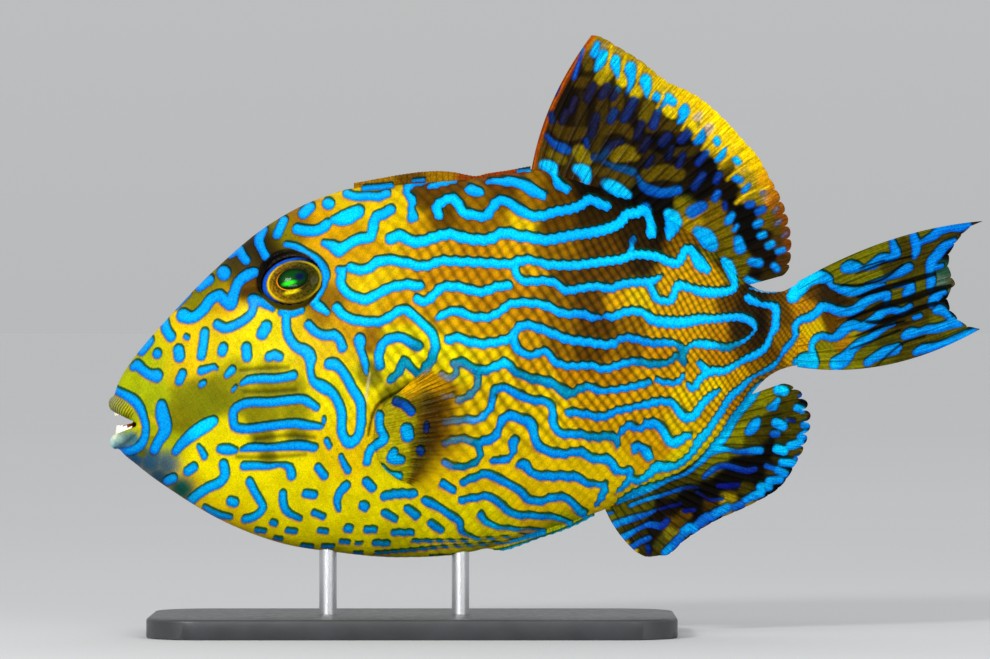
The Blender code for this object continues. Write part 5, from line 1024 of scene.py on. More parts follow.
def lip(name, front, lift, thick, tall):
    """A lip along the edge of the mouth, thinning to its corners."""
    segments = 48
    edge = jaw_path((front[0] + thick - LIP_REACH, front[1]), JAW_CORNER_INSET, MOUTH_HALF_WIDTH, segments)
    radii = [0.26 + 0.74 * math.cos(math.pi / 2 * (2 * i / segments - 1)) ** 0.7 for i in range(segments + 1)]
    path = [(x, y, z + lift * size) for (x, y, z), size in zip(edge, radii)]
    points, faces = lofted(tube(path, radii, 24, flat=(thick, tall)))
    return new_object(name, points, faces)


def tongue():
    """The floor of the mouth behind the lower teeth."""
    ahead, level = TONGUE_MIDDLE
    long, wide, tall = TONGUE_HALF_SIZE
    rings = []
    for i in range(13):
        turn = math.pi * (i + 0.3) / 12.6
        x, size = ahead - long * math.cos(turn), math.sin(turn)
        rings.append([(x, wide * size * math.cos(a), level + tall * size * math.sin(a)) for a in turns(24)])
    points, faces = lofted(rings)
    return new_object("tongue", points, faces)


def mouth_wedge():
    """The open mouth, to be cut from the head: a wedge from the mouth's corner to beyond the snout."""
    corner = MOUTH_CORNER
    reach = 10.0

    def beyond(front):
        slope = (front[1] - corner[1]) / (front[0] - corner[0])
        return (-reach, corner[1] + slope * (-reach - corner[0]))

    outline = [corner, beyond(UPPER_EDGE_FRONT), beyond(LOWER_EDGE_FRONT)]
    points = [(x, y, z) for y in (-30.0, 30.0) for x, z in outline]
    return new_object("mouth_wedge", points, [(0, 1, 2), (3, 5, 4), (0, 3, 4, 1), (1, 4, 5, 2), (2, 5, 3, 0)])


def eye_axes(side):
    """Centre of an eye, its outward axis, and its tilted lengthwise and upward axes."""
    here, normal, up = surface_frame(*EYE_CENTRE, side)
    lengthwise = up.cross(normal)
    if lengthwise.x < 0:
        lengthwise.negate()
    turned_length = lengthwise * math.cos(EYE_TILT) + up * math.sin(EYE_TILT)
    turned_up = up * math.cos(EYE_TILT) - lengthwise * math.sin(EYE_TILT)
    centre = here + normal * (EYE_BULGE - EYE_HALF_DEPTH)
    return centre, normal, turned_length, turned_up


def eyeball(name, side, grow, around=48, rows=24):
    """An eye's flattened ball, larger by grow all round."""
    centre, normal, lengthwise, up = eye_axes(side)
    rings = []
    for i in range(rows + 1):
        lift = math.pi * (i + 0.2) / (rows + 0.4)
        out, wide = math.cos(lift), math.sin(lift)
        ring = []
        for turn in turns(around):
            ring.append(
                centre
                + normal * out * (EYE_HALF_DEPTH + grow)
                + lengthwise * math.cos(turn) * wide * (EYE_HALF_LENGTH + grow)
                + up * math.sin(turn) * wide * (EYE_HALF_HEIGHT + grow)
            )
        rings.append(ring)
    points, faces = lofted(rings)
    return new_object(name, points, faces)


def eye_rim(side):
    """The raised ring of skin round the eye, laid on the surface of the head."""
    around, sides = 72, 12
    rings = []
    for turn in turns(around):
        ahead = RIM_HALF_LENGTH * math.cos(turn)
        above = RIM_HALF_HEIGHT * math.sin(turn)
        x = EYE_CENTRE[0] + ahead * math.cos(EYE_TILT) - above * math.sin(EYE_TILT)
        z = EYE_CENTRE[1] + ahead * math.sin(EYE_TILT) + above * math.cos(EYE_TILT)
        here, normal, _ = surface_frame(x, z, side)
        middle = Vector((EYE_CENTRE[0], here.y, EYE_CENTRE[1]))
        outward = (here - middle) - normal * (here - middle).dot(normal)
        outward.normalize()
        ring = []
        for a in turns(sides):
            ring.append(here + outward * RIM_RADIUS * 1.3 * math.cos(a) + normal * RIM_RADIUS * math.sin(a))
        rings.append(ring)
    points = [p for ring in rings for p in ring]
    faces = []
    for i in range(around):
        n = (i + 1) % around
        for j in range(sides):
            k = (j + 1) % sides
            faces.append((i * sides + j, i * sides + k, n * sides + k, n * sides + j))
    return new_object("eye_rim", points, faces)


def pit(x, z, side):
    """A nostril, to be cut from the head."""
    here, normal, _ = surface_frame(x, z, side)
    points, faces = lofted(tube([here + normal * 2.0, here - normal * 2.0], [0.8, 0.8], 12))
    return new_object("pit", points, faces)


def scute(x, z, half_length, half_height, side):
    """One of the raised plates behind the gill opening."""
    here, normal, up = surface_frame(x, z, side)
    lengthwise = up.cross(normal)
    rings = []
    for out, share in ((-1.5, 1.0), (0.25, 1.0), (0.75, 0.85), (0.9, 0.5)):
        ring = []
        for turn in turns(20):
            round_off = lengthwise * math.cos(turn) * half_length + up * math.sin(turn) * half_height
            ring.append(here + normal * out + round_off * share)
        rings.append(ring)
    points, faces = lofted(rings)
    return new_object("scute", points, faces)


def gill_slit(side):
    """A gill opening, to be cut from the body."""
    steps = 24
    path = []
    for i in range(steps + 1):
        x, z = along(GILL_SLIT, i / steps)
        path.append((x, side * float(side_at(x, z)), z))
    radii = [0.8 * (0.4 + 0.6 * math.sin(math.pi * i / steps)) for i in range(steps + 1)]
    points, faces = lofted(tube(path, radii, 10, flat=(2.0, 1.0)))
    return new_object("gill_slit", points, faces)


def far_side(u, v, y):
    """Where a point of the far side takes its markings from, in the photo's pixels."""
    amount = smoothstep(FAR_SIDE_START, FAR_SIDE_FULL, y)
    for pu, pv, reach in STILL_PLACES:
        amount = amount * (1 - np.exp(-((u - pu) ** 2 + (v - pv) ** 2) / (2 * reach**2)))
    du, dv = np.zeros_like(u), np.zeros_like(v)
    for size, fu, fv, phase in FAR_SIDE_WAVES:
        du += size * np.sin(fu * u + fv * v + phase)
        dv += size * 0.8 * np.sin(fv * u - fu * v + 1.7 * phase)
    return u + du * amount, v + dv * amount


def smooth_stroke(stroke):
    """Points and half widths of a stroke, with a smooth curve through the points that were read."""
    width = stroke[0]
    points = np.array([(p[0], p[1], p[2] if len(p) > 2 else width) for p in stroke[1:]], float)
    if len(points) < 3:
        return points
    padded = np.vstack([2 * points[0] - points[1], points, 2 * points[-1] - points[-2]])
    out = []
    for i in range(1, len(padded) - 2):
        p0, p1, p2, p3 = padded[i - 1], padded[i], padded[i + 1], padded[i + 2]
        steps = max(1, int(np.linalg.norm(p2[:2] - p1[:2]) / 3))
        for t in np.arange(steps) / steps:
            a = -0.5 * t**3 + t**2 - 0.5 * t
            b = 1.5 * t**3 - 2.5 * t**2 + 1
            c = -1.5 * t**3 + 2 * t**2 + 0.5 * t
            d = 0.5 * t**3 - 0.5 * t**2
            out.append(a * p0 + b * p1 + c * p2 + d * p3)
    out.append(points[-1])
    return np.array(out)


def ink_at(strokes, u, v):
    """How far inside the nearest stroke each place lies, in pixels; negative outside."""
    reach = 6.0
    order = np.argsort(u)
    us, vs = u[order], v[order]
    ink = np.full(len(u), -reach)
    for stroke in strokes:
        points = smooth_stroke(stroke)
        for a, b in zip(points[:-1], points[1:]):
            widest = max(a[2], b[2]) + reach
            low = np.searchsorted(us, min(a[0], b[0]) - widest)
            high = np.searchsorted(us, max(a[0], b[0]) + widest)
            if low >= high:
                continue
            pu, pv = us[low:high], vs[low:high]
            near = (pv > min(a[1], b[1]) - widest) & (pv < max(a[1], b[1]) + widest)
            if not near.any():
                continue
            pu, pv = pu[near], pv[near]
            run = b[:2] - a[:2]
            t = np.clip(((pu - a[0]) * run[0] + (pv - a[1]) * run[1]) / max(run @ run, 1e-9), 0, 1)
            away = np.hypot(pu - a[0] - t * run[0], pv - a[1] - t * run[1])
            place = np.arange(low, high)[near]
            ink[place] = np.maximum(ink[place], a[2] + (b[2] - a[2]) * t - away)
    back = np.empty_like(ink)
    back[order] = ink
    return back


def blend_patches(patches, u, v, fallback):
    """Soft patches of colour run together."""
    total = np.full(len(u), 1e-7)
    colour = np.tile(linear(fallback) * 1e-7, (len(u), 1))
    for pu, pv, reach, tint in patches:
        weight = np.exp(-((u - pu) ** 2 + (v - pv) ** 2) / (2 * (reach * 0.75) ** 2)) / reach
        colour += weight[:, None] * linear(tint)
        total += weight
    return colour / total[:, None]


def vertex_places(made):
    """Millimetres from the snout for each vertex, and the same as pixels of the photo."""
    mesh = made.data
    co = np.zeros(len(mesh.vertices) * 3)
    mesh.vertices.foreach_get("co", co)
    co = co.reshape(-1, 3) / MM
    co[:, 0] += TOTAL_LENGTH / 2
    return co, co[:, 0] / PIXEL + SNOUT_U, FLOOR_V - co[:, 2] / PIXEL


def store(made, name, values):
    """Keeps one number or one colour for each vertex under this name."""
    values = np.asarray(values, np.float32)
    if name in made.data.attributes:
        made.data.attributes.remove(made.data.attributes[name])
    kind = {1: "FLOAT", 2: "FLOAT_COLOR"}[values.ndim]
    layer = made.data.attributes.new(name, kind, "POINT")
    if kind == "FLOAT":
        layer.data.foreach_set("value", values)
    else:
        full = np.ones((len(values), 4), np.float32)
        full[:, :3] = values
        layer.data.foreach_set("color", full.ravel())


def girth_table():
    """Arc length round the body's girth, from the middle of the side, by station and height."""
    stations = np.linspace(BODY_START, BODY_END, 200)
    turns = np.linspace(0.0, math.pi, 97)
    lengths = []
    for x in stations:
        h = (back_of(x) - belly_of(x)) / 2
        y = half_width_of(x) * np.sin(turns) ** side_power_of(x)
        z = h * np.cos(turns)
        run = np.concatenate([[0.0], np.cumsum(np.hypot(np.diff(y), np.diff(z)))])
        lengths.append(run[48] - run)
    return stations, turns, np.array(lengths)


def girth_place(co):
    """Arc length above the middle of the side for each point."""
    stations, turns, lengths = girth_table()
    x, z = np.clip(co[:, 0], stations[0], stations[-1]), co[:, 2]
    top, bottom = back_of(x), belly_of(x)
    cosine = np.clip((z - (top + bottom) / 2) / np.maximum((top - bottom) / 2, 0.1), -1, 1)
    at_turn = np.arccos(cosine) / math.pi * (len(turns) - 1)
    at_x = (x - stations[0]) / (stations[-1] - stations[0]) * (len(stations) - 1)
    i = np.clip(at_x.astype(int), 0, len(stations) - 2)
    j = np.clip(at_turn.astype(int), 0, len(turns) - 2)
    fx, ft = at_x - i, at_turn - j
    return (
        lengths[i, j] * (1 - fx) * (1 - ft)
        + lengths[i + 1, j] * fx * (1 - ft)
        + lengths[i, j + 1] * (1 - fx) * ft
        + lengths[i + 1, j + 1] * fx * ft
    )


def scale_grid(co):
    """Two slanting coordinates that count the rows of scales, and the height of each scale's dome."""
    x = co[:, 0]
    fine = np.linspace(0.0, 351.0, 1000)
    counted = np.concatenate([[0.0], np.cumsum(np.diff(fine) / scale_pitch_of((fine[1:] + fine[:-1]) / 2))])
    ahead = np.interp(x, fine, counted)
    up = girth_place(co) / scale_pitch_of(x)
    sway = 0.25 * np.sin(0.31 * ahead + 0.2 * up) + 0.2 * np.sin(0.47 * up - 0.15 * ahead)
    rows = []
    for slant in SCALE_SLANTS:
        rows.append(ahead * math.cos(slant) - up * math.sin(slant) + sway)
    dome = np.abs(np.cos(math.pi * rows[0]) * np.cos(math.pi * rows[1])) ** 0.6
    return rows[0], rows[1], dome


def line_swell(row, x, u, v):
    """How much wider the strokes run: beaded by the scales, and narrower where they were read too wide."""
    beads = -1.7 * (np.abs(np.cos(math.pi * row)) ** 0.8 - 0.69) * groove_strength_of(x)
    low = smoothstep(330.0, 360.0, v) * smoothstep(430.0, 455.0, u)
    as_read = smoothstep(590.0, 606.0, u) * smoothstep(368.0, 380.0, v)
    upper = smoothstep(345.0, 325.0, v) * smoothstep(225.0, 260.0, u)
    belly = smoothstep(430.0, 465.0, v) * smoothstep(235.0, 265.0, u) * (1 - as_read)
    narrowed = beads - 0.05 - (0.25 * smoothstep(400.0, 450.0, u) + 0.55 * low) * (1 - as_read)
    return narrowed - 0.3 * upper - (0.5 - 0.2 * low) * belly


def paint(made, strokes, ground, blue, extra=(), blotches=(), cuts=(), grid=None):
    """Stores the ground colour, the blue's colour and the distance to the strokes at every vertex.

    extra holds lists of patches with a firmer edge, cuts are strokes without blue. The skin gives its grid
    of scales: its strokes are beaded by it, and pushed about on the far side.
    """
    co, u, v = vertex_places(made)
    if grid is not None:
        u, v = far_side(u, v, co[:, 1])
    colour = blend_patches(ground, u, v, YELLOW)
    for patches in extra:
        weight = np.zeros(len(u))
        for pu, pv, reach, _ in patches:
            weight = np.maximum(weight, np.exp(-(((u - pu) ** 2 + (v - pv) ** 2) / (2 * reach**2)) ** 2))
        tint = blend_patches(patches, u, v, YELLOW)
        colour = colour * (1 - weight[:, None]) + tint * weight[:, None]
    for tint, *places in blotches:
        weight = smoothstep(-2.0, 2.0, ink_at([(1.0, *places)], u, v))[:, None]
        colour = colour * (1 - weight) + linear(tint) * weight
    ink = ink_at(strokes, u, v)
    below = ink_at(strokes, u + DARK_BORDER_STEP[0], v + DARK_BORDER_STEP[1])
    above = ink_at(strokes, u + WARM_BORDER_STEP[0], v + WARM_BORDER_STEP[1])
    if grid is not None:
        swell = line_swell(grid[0], co[:, 0], u, v)
        ink, below, above = ink + swell, below + swell, above + swell
    if cuts:
        cut = 7.0 * smoothstep(-0.9, 0.7, ink_at(cuts, u, v))
        ink, below, above = ink - cut, below - cut, above - cut
    store(made, "ground", colour)
    store(made, "blue", blend_patches(blue, u, v, AZURE))
    store(made, "ink", ink)
    store(made, "ink_below", below)
    store(made, "ink_above", above)
    return co, u, v, colour, ink


def read(made, name):
    """The numbers kept under this name, one for each vertex."""
    layer = made.data.attributes[name]
    values = np.zeros(len(layer.data), np.float32)
    layer.data.foreach_get("value", values)
    return values


def blend_ground(made, weight, colour):
    """Runs a colour, or one colour for each vertex, over the ground."""
    layer = made.data.attributes["ground"]
    full = np.zeros(len(layer.data) * 4, np.float32)
    layer.data.foreach_get("color", full)
    full = full.reshape(-1, 4)
    full[:, :3] = full[:, :3] * (1 - weight[:, None]) + colour * weight[:, None]
    layer.data.foreach_set("color", full.ravel())


def lip_arc(co):
    """How far along the upper lip each point near the mouth lies, in millimetres."""
    path = np.array(jaw_path(UPPER_EDGE_FRONT, JAW_CORNER_INSET, MOUTH_HALF_WIDTH, 96))
    steps = np.diff(path, axis=0, prepend=path[:1])
    run = np.cumsum(np.linalg.norm(steps, axis=1))
    ways = np.gradient(path, axis=0)
    ways /= np.linalg.norm(ways, axis=1)[:, None]
    arc = np.zeros(len(co))
    near = np.flatnonzero(co[:, 0] < 20.0)
    nearest = np.argmin(((co[near, None] - path[None]) ** 2).sum(-1), axis=1)
    arc[near] = run[nearest] + ((co[near] - path[nearest]) * ways[nearest]).sum(-1)
    return arc


def oval_share(oval, u, v):
    """How far out each place lies in an oval: 0 in its middle, 1 on its line."""
    middle_u, middle_v, half_u, half_v = oval
    return np.hypot((u - middle_u) / half_u, (v - middle_v) / half_v)


def line_weight(points, width, u, v):
    """1 on a drawn line, falling to 0 at its width."""
    return smoothstep(-width, 0.0, ink_at([(0.01, *points)], u, v))


def bake_map(made, ahead, around):
    """An unwrap for baking, from one number along the piece and one round it, both 0 to 1 at each vertex."""
    mesh = made.data
    layer = mesh.uv_layers.new(name="OFBake")
    loops = np.zeros(len(mesh.loops), np.int32)
    mesh.loops.foreach_get("vertex_index", loops)
    flat = np.stack([ahead[loops], around[loops]], axis=1).astype(np.float32)
    layer.data.foreach_set("uv", flat.ravel())
    mesh.uv_layers.active = layer


def skin_mesh():
    """The body as one closed skin, with its openings cut and its lips, tongue, eye rims and scutes joined."""
    stations = SNOUT_STATIONS + list(np.linspace(20.0, BODY_END, 130))
    points, faces = lofted([girth(x, 96) for x in stations])
    skin = new_object("skin", points, faces)
    pieces = [lip(*shape) for shape in LIPS]
    pieces.append(tongue())
    cutters = [mouth_wedge()]
    for side in (-1, 1):
        cutters.append(eyeball("socket", side, SOCKET_GAP))
        cutters += [pit(x, z, side) for x, z in NOSTRILS]
        cutters.append(gill_slit(side))
        pieces.append(eye_rim(side))
        pieces += [scute(*plate, side) for plate in SCUTES]
    boolean(skin, "DIFFERENCE", cutters)
    boolean(skin, "UNION", pieces)
    remesh = skin.modifiers.new("remesh", "REMESH")
    remesh.mode = "VOXEL"
    remesh.voxel_size = SKIN_VOXEL * MM
    soft = skin.modifiers.new("soft", "SMOOTH")
    soft.factor = 0.5
    soft.iterations = 3
    apply_modifiers(skin)
    skin.name = "skin"
    return skin


def raise_scales(skin, grid):
    """Moves the skin along its normals for scales, grooves and the gill's edge. Returns the scales' share."""
    co, u, v = vertex_places(skin)
    normals = np.zeros(len(co) * 3)
    skin.data.vertices.foreach_get("normal", normals)
    normals = normals.reshape(-1, 3)
    calm = smoothstep(1.0, 1.5, oval_share(SMOOTH_OVAL, u, v)) * smoothstep(4.0, 14.0, co[:, 0])
    lift = scale_relief_of(co[:, 0]) * (grid[2] - 0.6) * calm
    for groove in CHEEK_GROOVES:
        lift = lift - CHEEK_GROOVE_DEPTH * line_weight(groove, 4.5, u, v)
    lift = lift - EYE_GROOVE_DEPTH * line_weight(EYE_GROOVE, 9.0, u, v)
    lift = lift + GILL_EDGE_HEIGHT * line_weight(GILL_EDGE, 3.0, u, v)
    co = co + normals * lift[:, None]
    moved = co.copy()
    moved[:, 0] -= TOTAL_LENGTH / 2
    skin.data.vertices.foreach_set("co", (moved * MM).ravel())
    skin.data.update()
    return calm


def mouth_weight(co):
    """1 inside the open mouth, 0 on the skin round it."""
    x, z = co[:, 0], co[:, 2]
    deep = np.maximum(side_at(x, z) - np.abs(co[:, 1]), 0.0)
    gape = []
    for front in (UPPER_EDGE_FRONT, LOWER_EDGE_FRONT):
        slope = (front[1] - MOUTH_CORNER[1]) / (front[0] - MOUTH_CORNER[0])
        gape.append(MOUTH_CORNER[1] + slope * (x - MOUTH_CORNER[0]))
    in_gape = smoothstep(gape[0] + 1.0, gape[0] + 0.2, z) * smoothstep(gape[1] - 1.0, gape[1] - 0.2, z)
    return smoothstep(0.5, 2.4, deep) * in_gape * smoothstep(3.0, 5.0, x) * smoothstep(20.0, 15.0, x)


def paint_skin(skin, grid, calm):
    """Stores the skin's colours, its lines, its scales' rows and its unwrap."""
    body_strokes = HEAD_STROKES + BACK_STROKES + REAR_STROKES + BELLY_STROKES + ANAL_ROOT_STROKES
    co, u, v, colour, ink = paint(
        skin, body_strokes, BODY_GROUND, BLUE_GROUND, extra=(CHIN_PATCHES, LIP_PATCHES), grid=grid
    )
    orbit = oval_share(ORBIT_OVAL, u, v)
    shade = 0.05 + 0.95 * smoothstep(0.95, 1.04, orbit)
    # Painted shade darkens the ground along the cheek grooves, the groove before the eye and the gill slit.
    for groove in CHEEK_GROOVES:
        shade = shade * (1 - 0.6 * line_weight(groove, 4.2, u, v))
    shade = shade * (1 - 0.6 * line_weight(EYE_GROOVE, 10.0, u, v))
    slit = [(x / PIXEL + SNOUT_U, FLOOR_V - z / PIXEL) for x, z in GILL_SLIT]
    shade = shade * (1 - 0.9 * line_weight(slit, 3.0, u, v))
    in_mouth = mouth_weight(co)
    # The mouth's inside runs from its orange gums to a dark throat: the throat's own colour, and painted
    # shade deeper in the recess.
    back = smoothstep(5.5, 11.0, co[:, 0])[:, None]
    inside = linear(GUM) * (1 - back) + linear(SHADED_THROAT) * back
    colour = colour * (1 - in_mouth[:, None]) + inside * in_mouth[:, None]
    pale = line_weight(GILL_EDGE, 2.2, u, v) * 0.7
    colour = colour * (1 - pale[:, None]) + linear(GILL_PALE) * pale[:, None]
    store(skin, "ground", colour * shade[:, None])
    store(skin, "quiet", smoothstep(0.93, 0.98, orbit) - in_mouth)
    lower_lip = smoothstep(13.0, 9.0, np.hypot(u - 125, (v - 441) * 1.3))
    store(skin, "ink_below", read(skin, "ink_below") - 5.0 * lower_lip)
    store(skin, "rib", lip_arc(co))
    du, dv = u - 122, v - 408
    on_upper_lip = smoothstep(15.0, 11.0, np.hypot(du * 0.75 + dv * 0.5, dv * 1.2 - du * 0.7))
    store(skin, "ribbed", on_upper_lip * smoothstep(-0.5, -2.5, ink))
    store(skin, "row_a", grid[0])
    store(skin, "row_b", grid[1])
    # The strength of the scales' painted shade and highlight, weaker towards the belly and the back.
    below_side = 1 - 0.75 * smoothstep(400.0, 480.0, v)
    above_side = 1 - 0.4 * smoothstep(245.0, 220.0, v)
    store(skin, "groove", groove_strength_of(co[:, 0]) * calm * below_side * above_side)
    way = np.where(co[:, 1] < 0, -1, 1)
    around = 0.5 + way * (UNWRAP_HALF_GIRTH - girth_place(co)) / (4 * UNWRAP_HALF_GIRTH)
    bake_map(skin, np.clip(co[:, 0] / UNWRAP_LENGTH, 0, 1), np.clip(around, 0, 1))


def make_skin():
    """The one skin that stands for head, trunk and tail stem, painted."""
    skin = skin_mesh()
    grid = scale_grid(vertex_places(skin)[0])
    calm = raise_scales(skin, grid)
    paint_skin(skin, grid, calm)
    return skin


class Nodes:
    """Short ways to build a shader's node tree."""

    def __init__(self, name, roughness, bump=0.0003, coat=0.0):
        self.made = bpy.data.materials.new(name)
        self.made.use_nodes = True
        self.tree = self.made.node_tree
        self.shader = self.tree.nodes["Principled BSDF"]
        self.shader.inputs["Roughness"].default_value = roughness
        self.shader.inputs["Coat Weight"].default_value = coat
        self.shader.inputs["Coat Roughness"].default_value = 0.12
        self.bump_size = bump
        self.coordinates = None

    def add(self, kind, **settings):
        node = self.tree.nodes.new(kind)
        for key, value in settings.items():
            setattr(node, key, value)
        return node

    def link(self, source, target):
        self.tree.links.new(source, target)

    def feed(self, socket, value):
        if isinstance(value, bpy.types.NodeSocket):
            self.link(value, socket)
        else:
            socket.default_value = value

    def attribute(self, name, colour=False):
        node = self.add("ShaderNodeAttribute", attribute_name=name)
        return node.outputs["Color" if colour else "Fac"]

    def math(self, operation, *values):
        node = self.add("ShaderNodeMath", operation=operation)
        for socket, value in zip(node.inputs, values):
            self.feed(socket, value)
        return node.outputs[0]

    def span(self, value, low, high, out_low=0.0, out_high=1.0):
        """value from low to high, smoothly, as out_low to out_high."""
        node = self.add("ShaderNodeMapRange", interpolation_type="SMOOTHSTEP")
        for socket, given in zip(node.inputs, (value, low, high, out_low, out_high)):
            self.feed(socket, given)
        return node.outputs[0]

    def mix(self, amount, first, second, blend="MIX"):
        node = self.add("ShaderNodeMix", data_type="RGBA", blend_type=blend)
        self.feed(node.inputs["Factor"], amount)
        for key, value in (("A", first), ("B", second)):
            socket = [s for s in node.inputs if s.name == key and s.type == "RGBA"][0]
            if isinstance(value, (tuple, list, np.ndarray)):
                value = (*[float(c) for c in value][:3], 1.0)
            self.feed(socket, value)
        return [s for s in node.outputs if s.type == "RGBA"][0]

    def noise(self, scale, detail=3.0, roughness=0.55):
        if self.coordinates is None:
            self.coordinates = self.add("ShaderNodeTexCoord").outputs["Object"]
        node = self.add("ShaderNodeTexNoise")
        self.feed(node.inputs["Vector"], self.coordinates)
        self.feed(node.inputs["Scale"], scale)
        self.feed(node.inputs["Detail"], detail)
        self.feed(node.inputs["Roughness"], roughness)
        return node.outputs["Fac"]

    def from_groove(self, value):
        """How far value is from the nearest whole and a half number, 0 to 0.5."""
        return self.math("SUBTRACT", 0.5, self.math("PINGPONG", value, 0.5))

    def grey(self, value):
        node = self.add("ShaderNodeCombineColor")
        for socket in node.inputs:
            self.feed(socket, value)
        return node.outputs[0]

    def times(self, colour, factor):
        """A colour times a colour, or times a number from a socket."""
        if isinstance(factor, bpy.types.NodeSocket):
            factor = self.grey(factor)
        return self.mix(1.0, colour, factor, "MULTIPLY")

    def streaks(self, fine, long):
        """Noise drawn out along the rays of a fin."""
        place = self.add("ShaderNodeCombineXYZ")
        self.link(self.math("MULTIPLY", self.attribute("ray"), fine), place.inputs[0])
        self.link(self.math("MULTIPLY", self.attribute("share"), long), place.inputs[1])
        node = self.add("ShaderNodeTexNoise")
        self.link(place.outputs[0], node.inputs["Vector"])
        node.inputs["Scale"].default_value = 1.0
        return node.outputs["Fac"]

    def finish(self, colour, height):
        self.link(colour, self.shader.inputs["Base Color"])
        if height is not None:
            node = self.add("ShaderNodeBump")
            node.inputs["Strength"].default_value = 1.0
            node.inputs["Distance"].default_value = self.bump_size
            self.link(height, node.inputs["Height"])
            self.link(node.outputs["Normal"], self.shader.inputs["Normal"])
        return self.made


def blue_lines(n, ground, blue, ragged, outline=1.0, soft=1.0):
    """Paints the strokes over the ground: a dark upper border, a warm lower fringe and the blue itself."""
    wobble = n.math("MULTIPLY", n.math("SUBTRACT", n.noise(620.0, 2.0), 0.5), ragged)
    ink = n.math("ADD", n.attribute("ink"), wobble)
    below = n.math("ADD", n.attribute("ink_below"), wobble)
    above = n.math("ADD", n.attribute("ink_above"), wobble)
    light = n.add("ShaderNodeRGBToBW")
    n.link(ground, light.inputs[0])
    pink = n.span(light.outputs[0], 0.05, 0.4, 0.0, 0.35)
    warm = n.mix(pink, n.times(ground, (1.0, 0.55, 0.3)), linear(FRINGE))
    fringe = n.mix(n.span(above, -0.8, 0.5, 0.0, 0.65 / soft), ground, warm)
    edge = n.mix(n.span(ink, -1.6, -0.2, 0.0, 0.6 * outline), fringe, n.times(ground, (0.26, 0.24, 0.3)))
    dark = n.mix(0.35, n.times(ground, (0.01, 0.19, 0.03)), n.times(blue, (0.02, 0.14, 0.05)))
    border = n.mix(n.span(below, -1.0, 0.5, 0.0, 0.97 * outline), edge, dark)
    mottle = n.span(n.noise(1500.0, 2.0), 0.35, 0.7, 0.7, 1.12)
    dots = n.span(n.noise(2400.0, 1.0), 0.6, 0.72, 1.0, 0.62)
    rim = n.span(ink, 0.0, 2.4, 0.6, 1.05)
    speckled = n.times(blue, n.math("MULTIPLY", n.math("MULTIPLY", mottle, dots), rim))
    tone = n.mix(n.span(below, 0.0, 3.0), n.times(speckled, (0.6, 0.66, 0.95)), speckled)
    return n.mix(n.span(ink, -0.35 * soft, 0.4 * soft), border, tone), ink


def skin_material():
    n = Nodes("triggerfish_skin", 0.42, bump=0.00022, coat=0.012)
    n.shader.inputs["Specular IOR Level"].default_value = 0.02
    groove = n.attribute("groove")
    # Painted shade and highlight of the scales: darker and warmer along the grooves between them, lighter on
    # their domes.
    bead_a = n.span(n.from_groove(n.attribute("row_a")), 0.0, 0.42, 0.5, 1.14)
    bead_b = n.span(n.from_groove(n.attribute("row_b")), 0.0, 0.42, 0.74, 1.08)
    bead = n.math("MULTIPLY", bead_a, bead_b)
    shade = n.math("ADD", n.math("MULTIPLY", n.math("SUBTRACT", bead, 1.0), groove), 1.0)
    ground = n.attribute("ground", True)
    cloud = n.span(n.noise(140.0, 4.0), 0.3, 0.7, 0.84, 1.1)
    grain = n.span(n.noise(2100.0, 2.0), 0.3, 0.75, 0.8, 1.12)
    dots = n.span(n.noise(1300.0, 3.0), 0.58, 0.7, 1.0, 0.74)
    mottled = n.times(ground, n.math("MULTIPLY", n.math("MULTIPLY", cloud, grain), dots))
    beaded = n.times(n.times(mottled, shade), n.mix(shade, (0.9, 0.7, 0.5), (1.0, 1.0, 1.0)))
    ribs = n.span(n.math("PINGPONG", n.attribute("rib"), 0.5), 0.1, 0.4, 0.42, 1.08)
    ribbed = n.mix(n.attribute("ribbed"), beaded, n.times(beaded, ribs))
    painted, _ = blue_lines(n, ribbed, n.attribute("blue", True), 1.2)
    quiet = n.mix(n.attribute("quiet"), ground, painted)
    rise = n.math("MULTIPLY", n.math("MULTIPLY", bead, groove), 0.6)
    lip_rise = n.math("MULTIPLY", n.math("MULTIPLY", ribs, n.attribute("ribbed")), 1.4)
    height = n.math("ADD", n.math("ADD", n.math("MULTIPLY", n.noise(1500.0, 2.0), 0.35), rise), lip_rise)
    return n.finish(quiet, height)


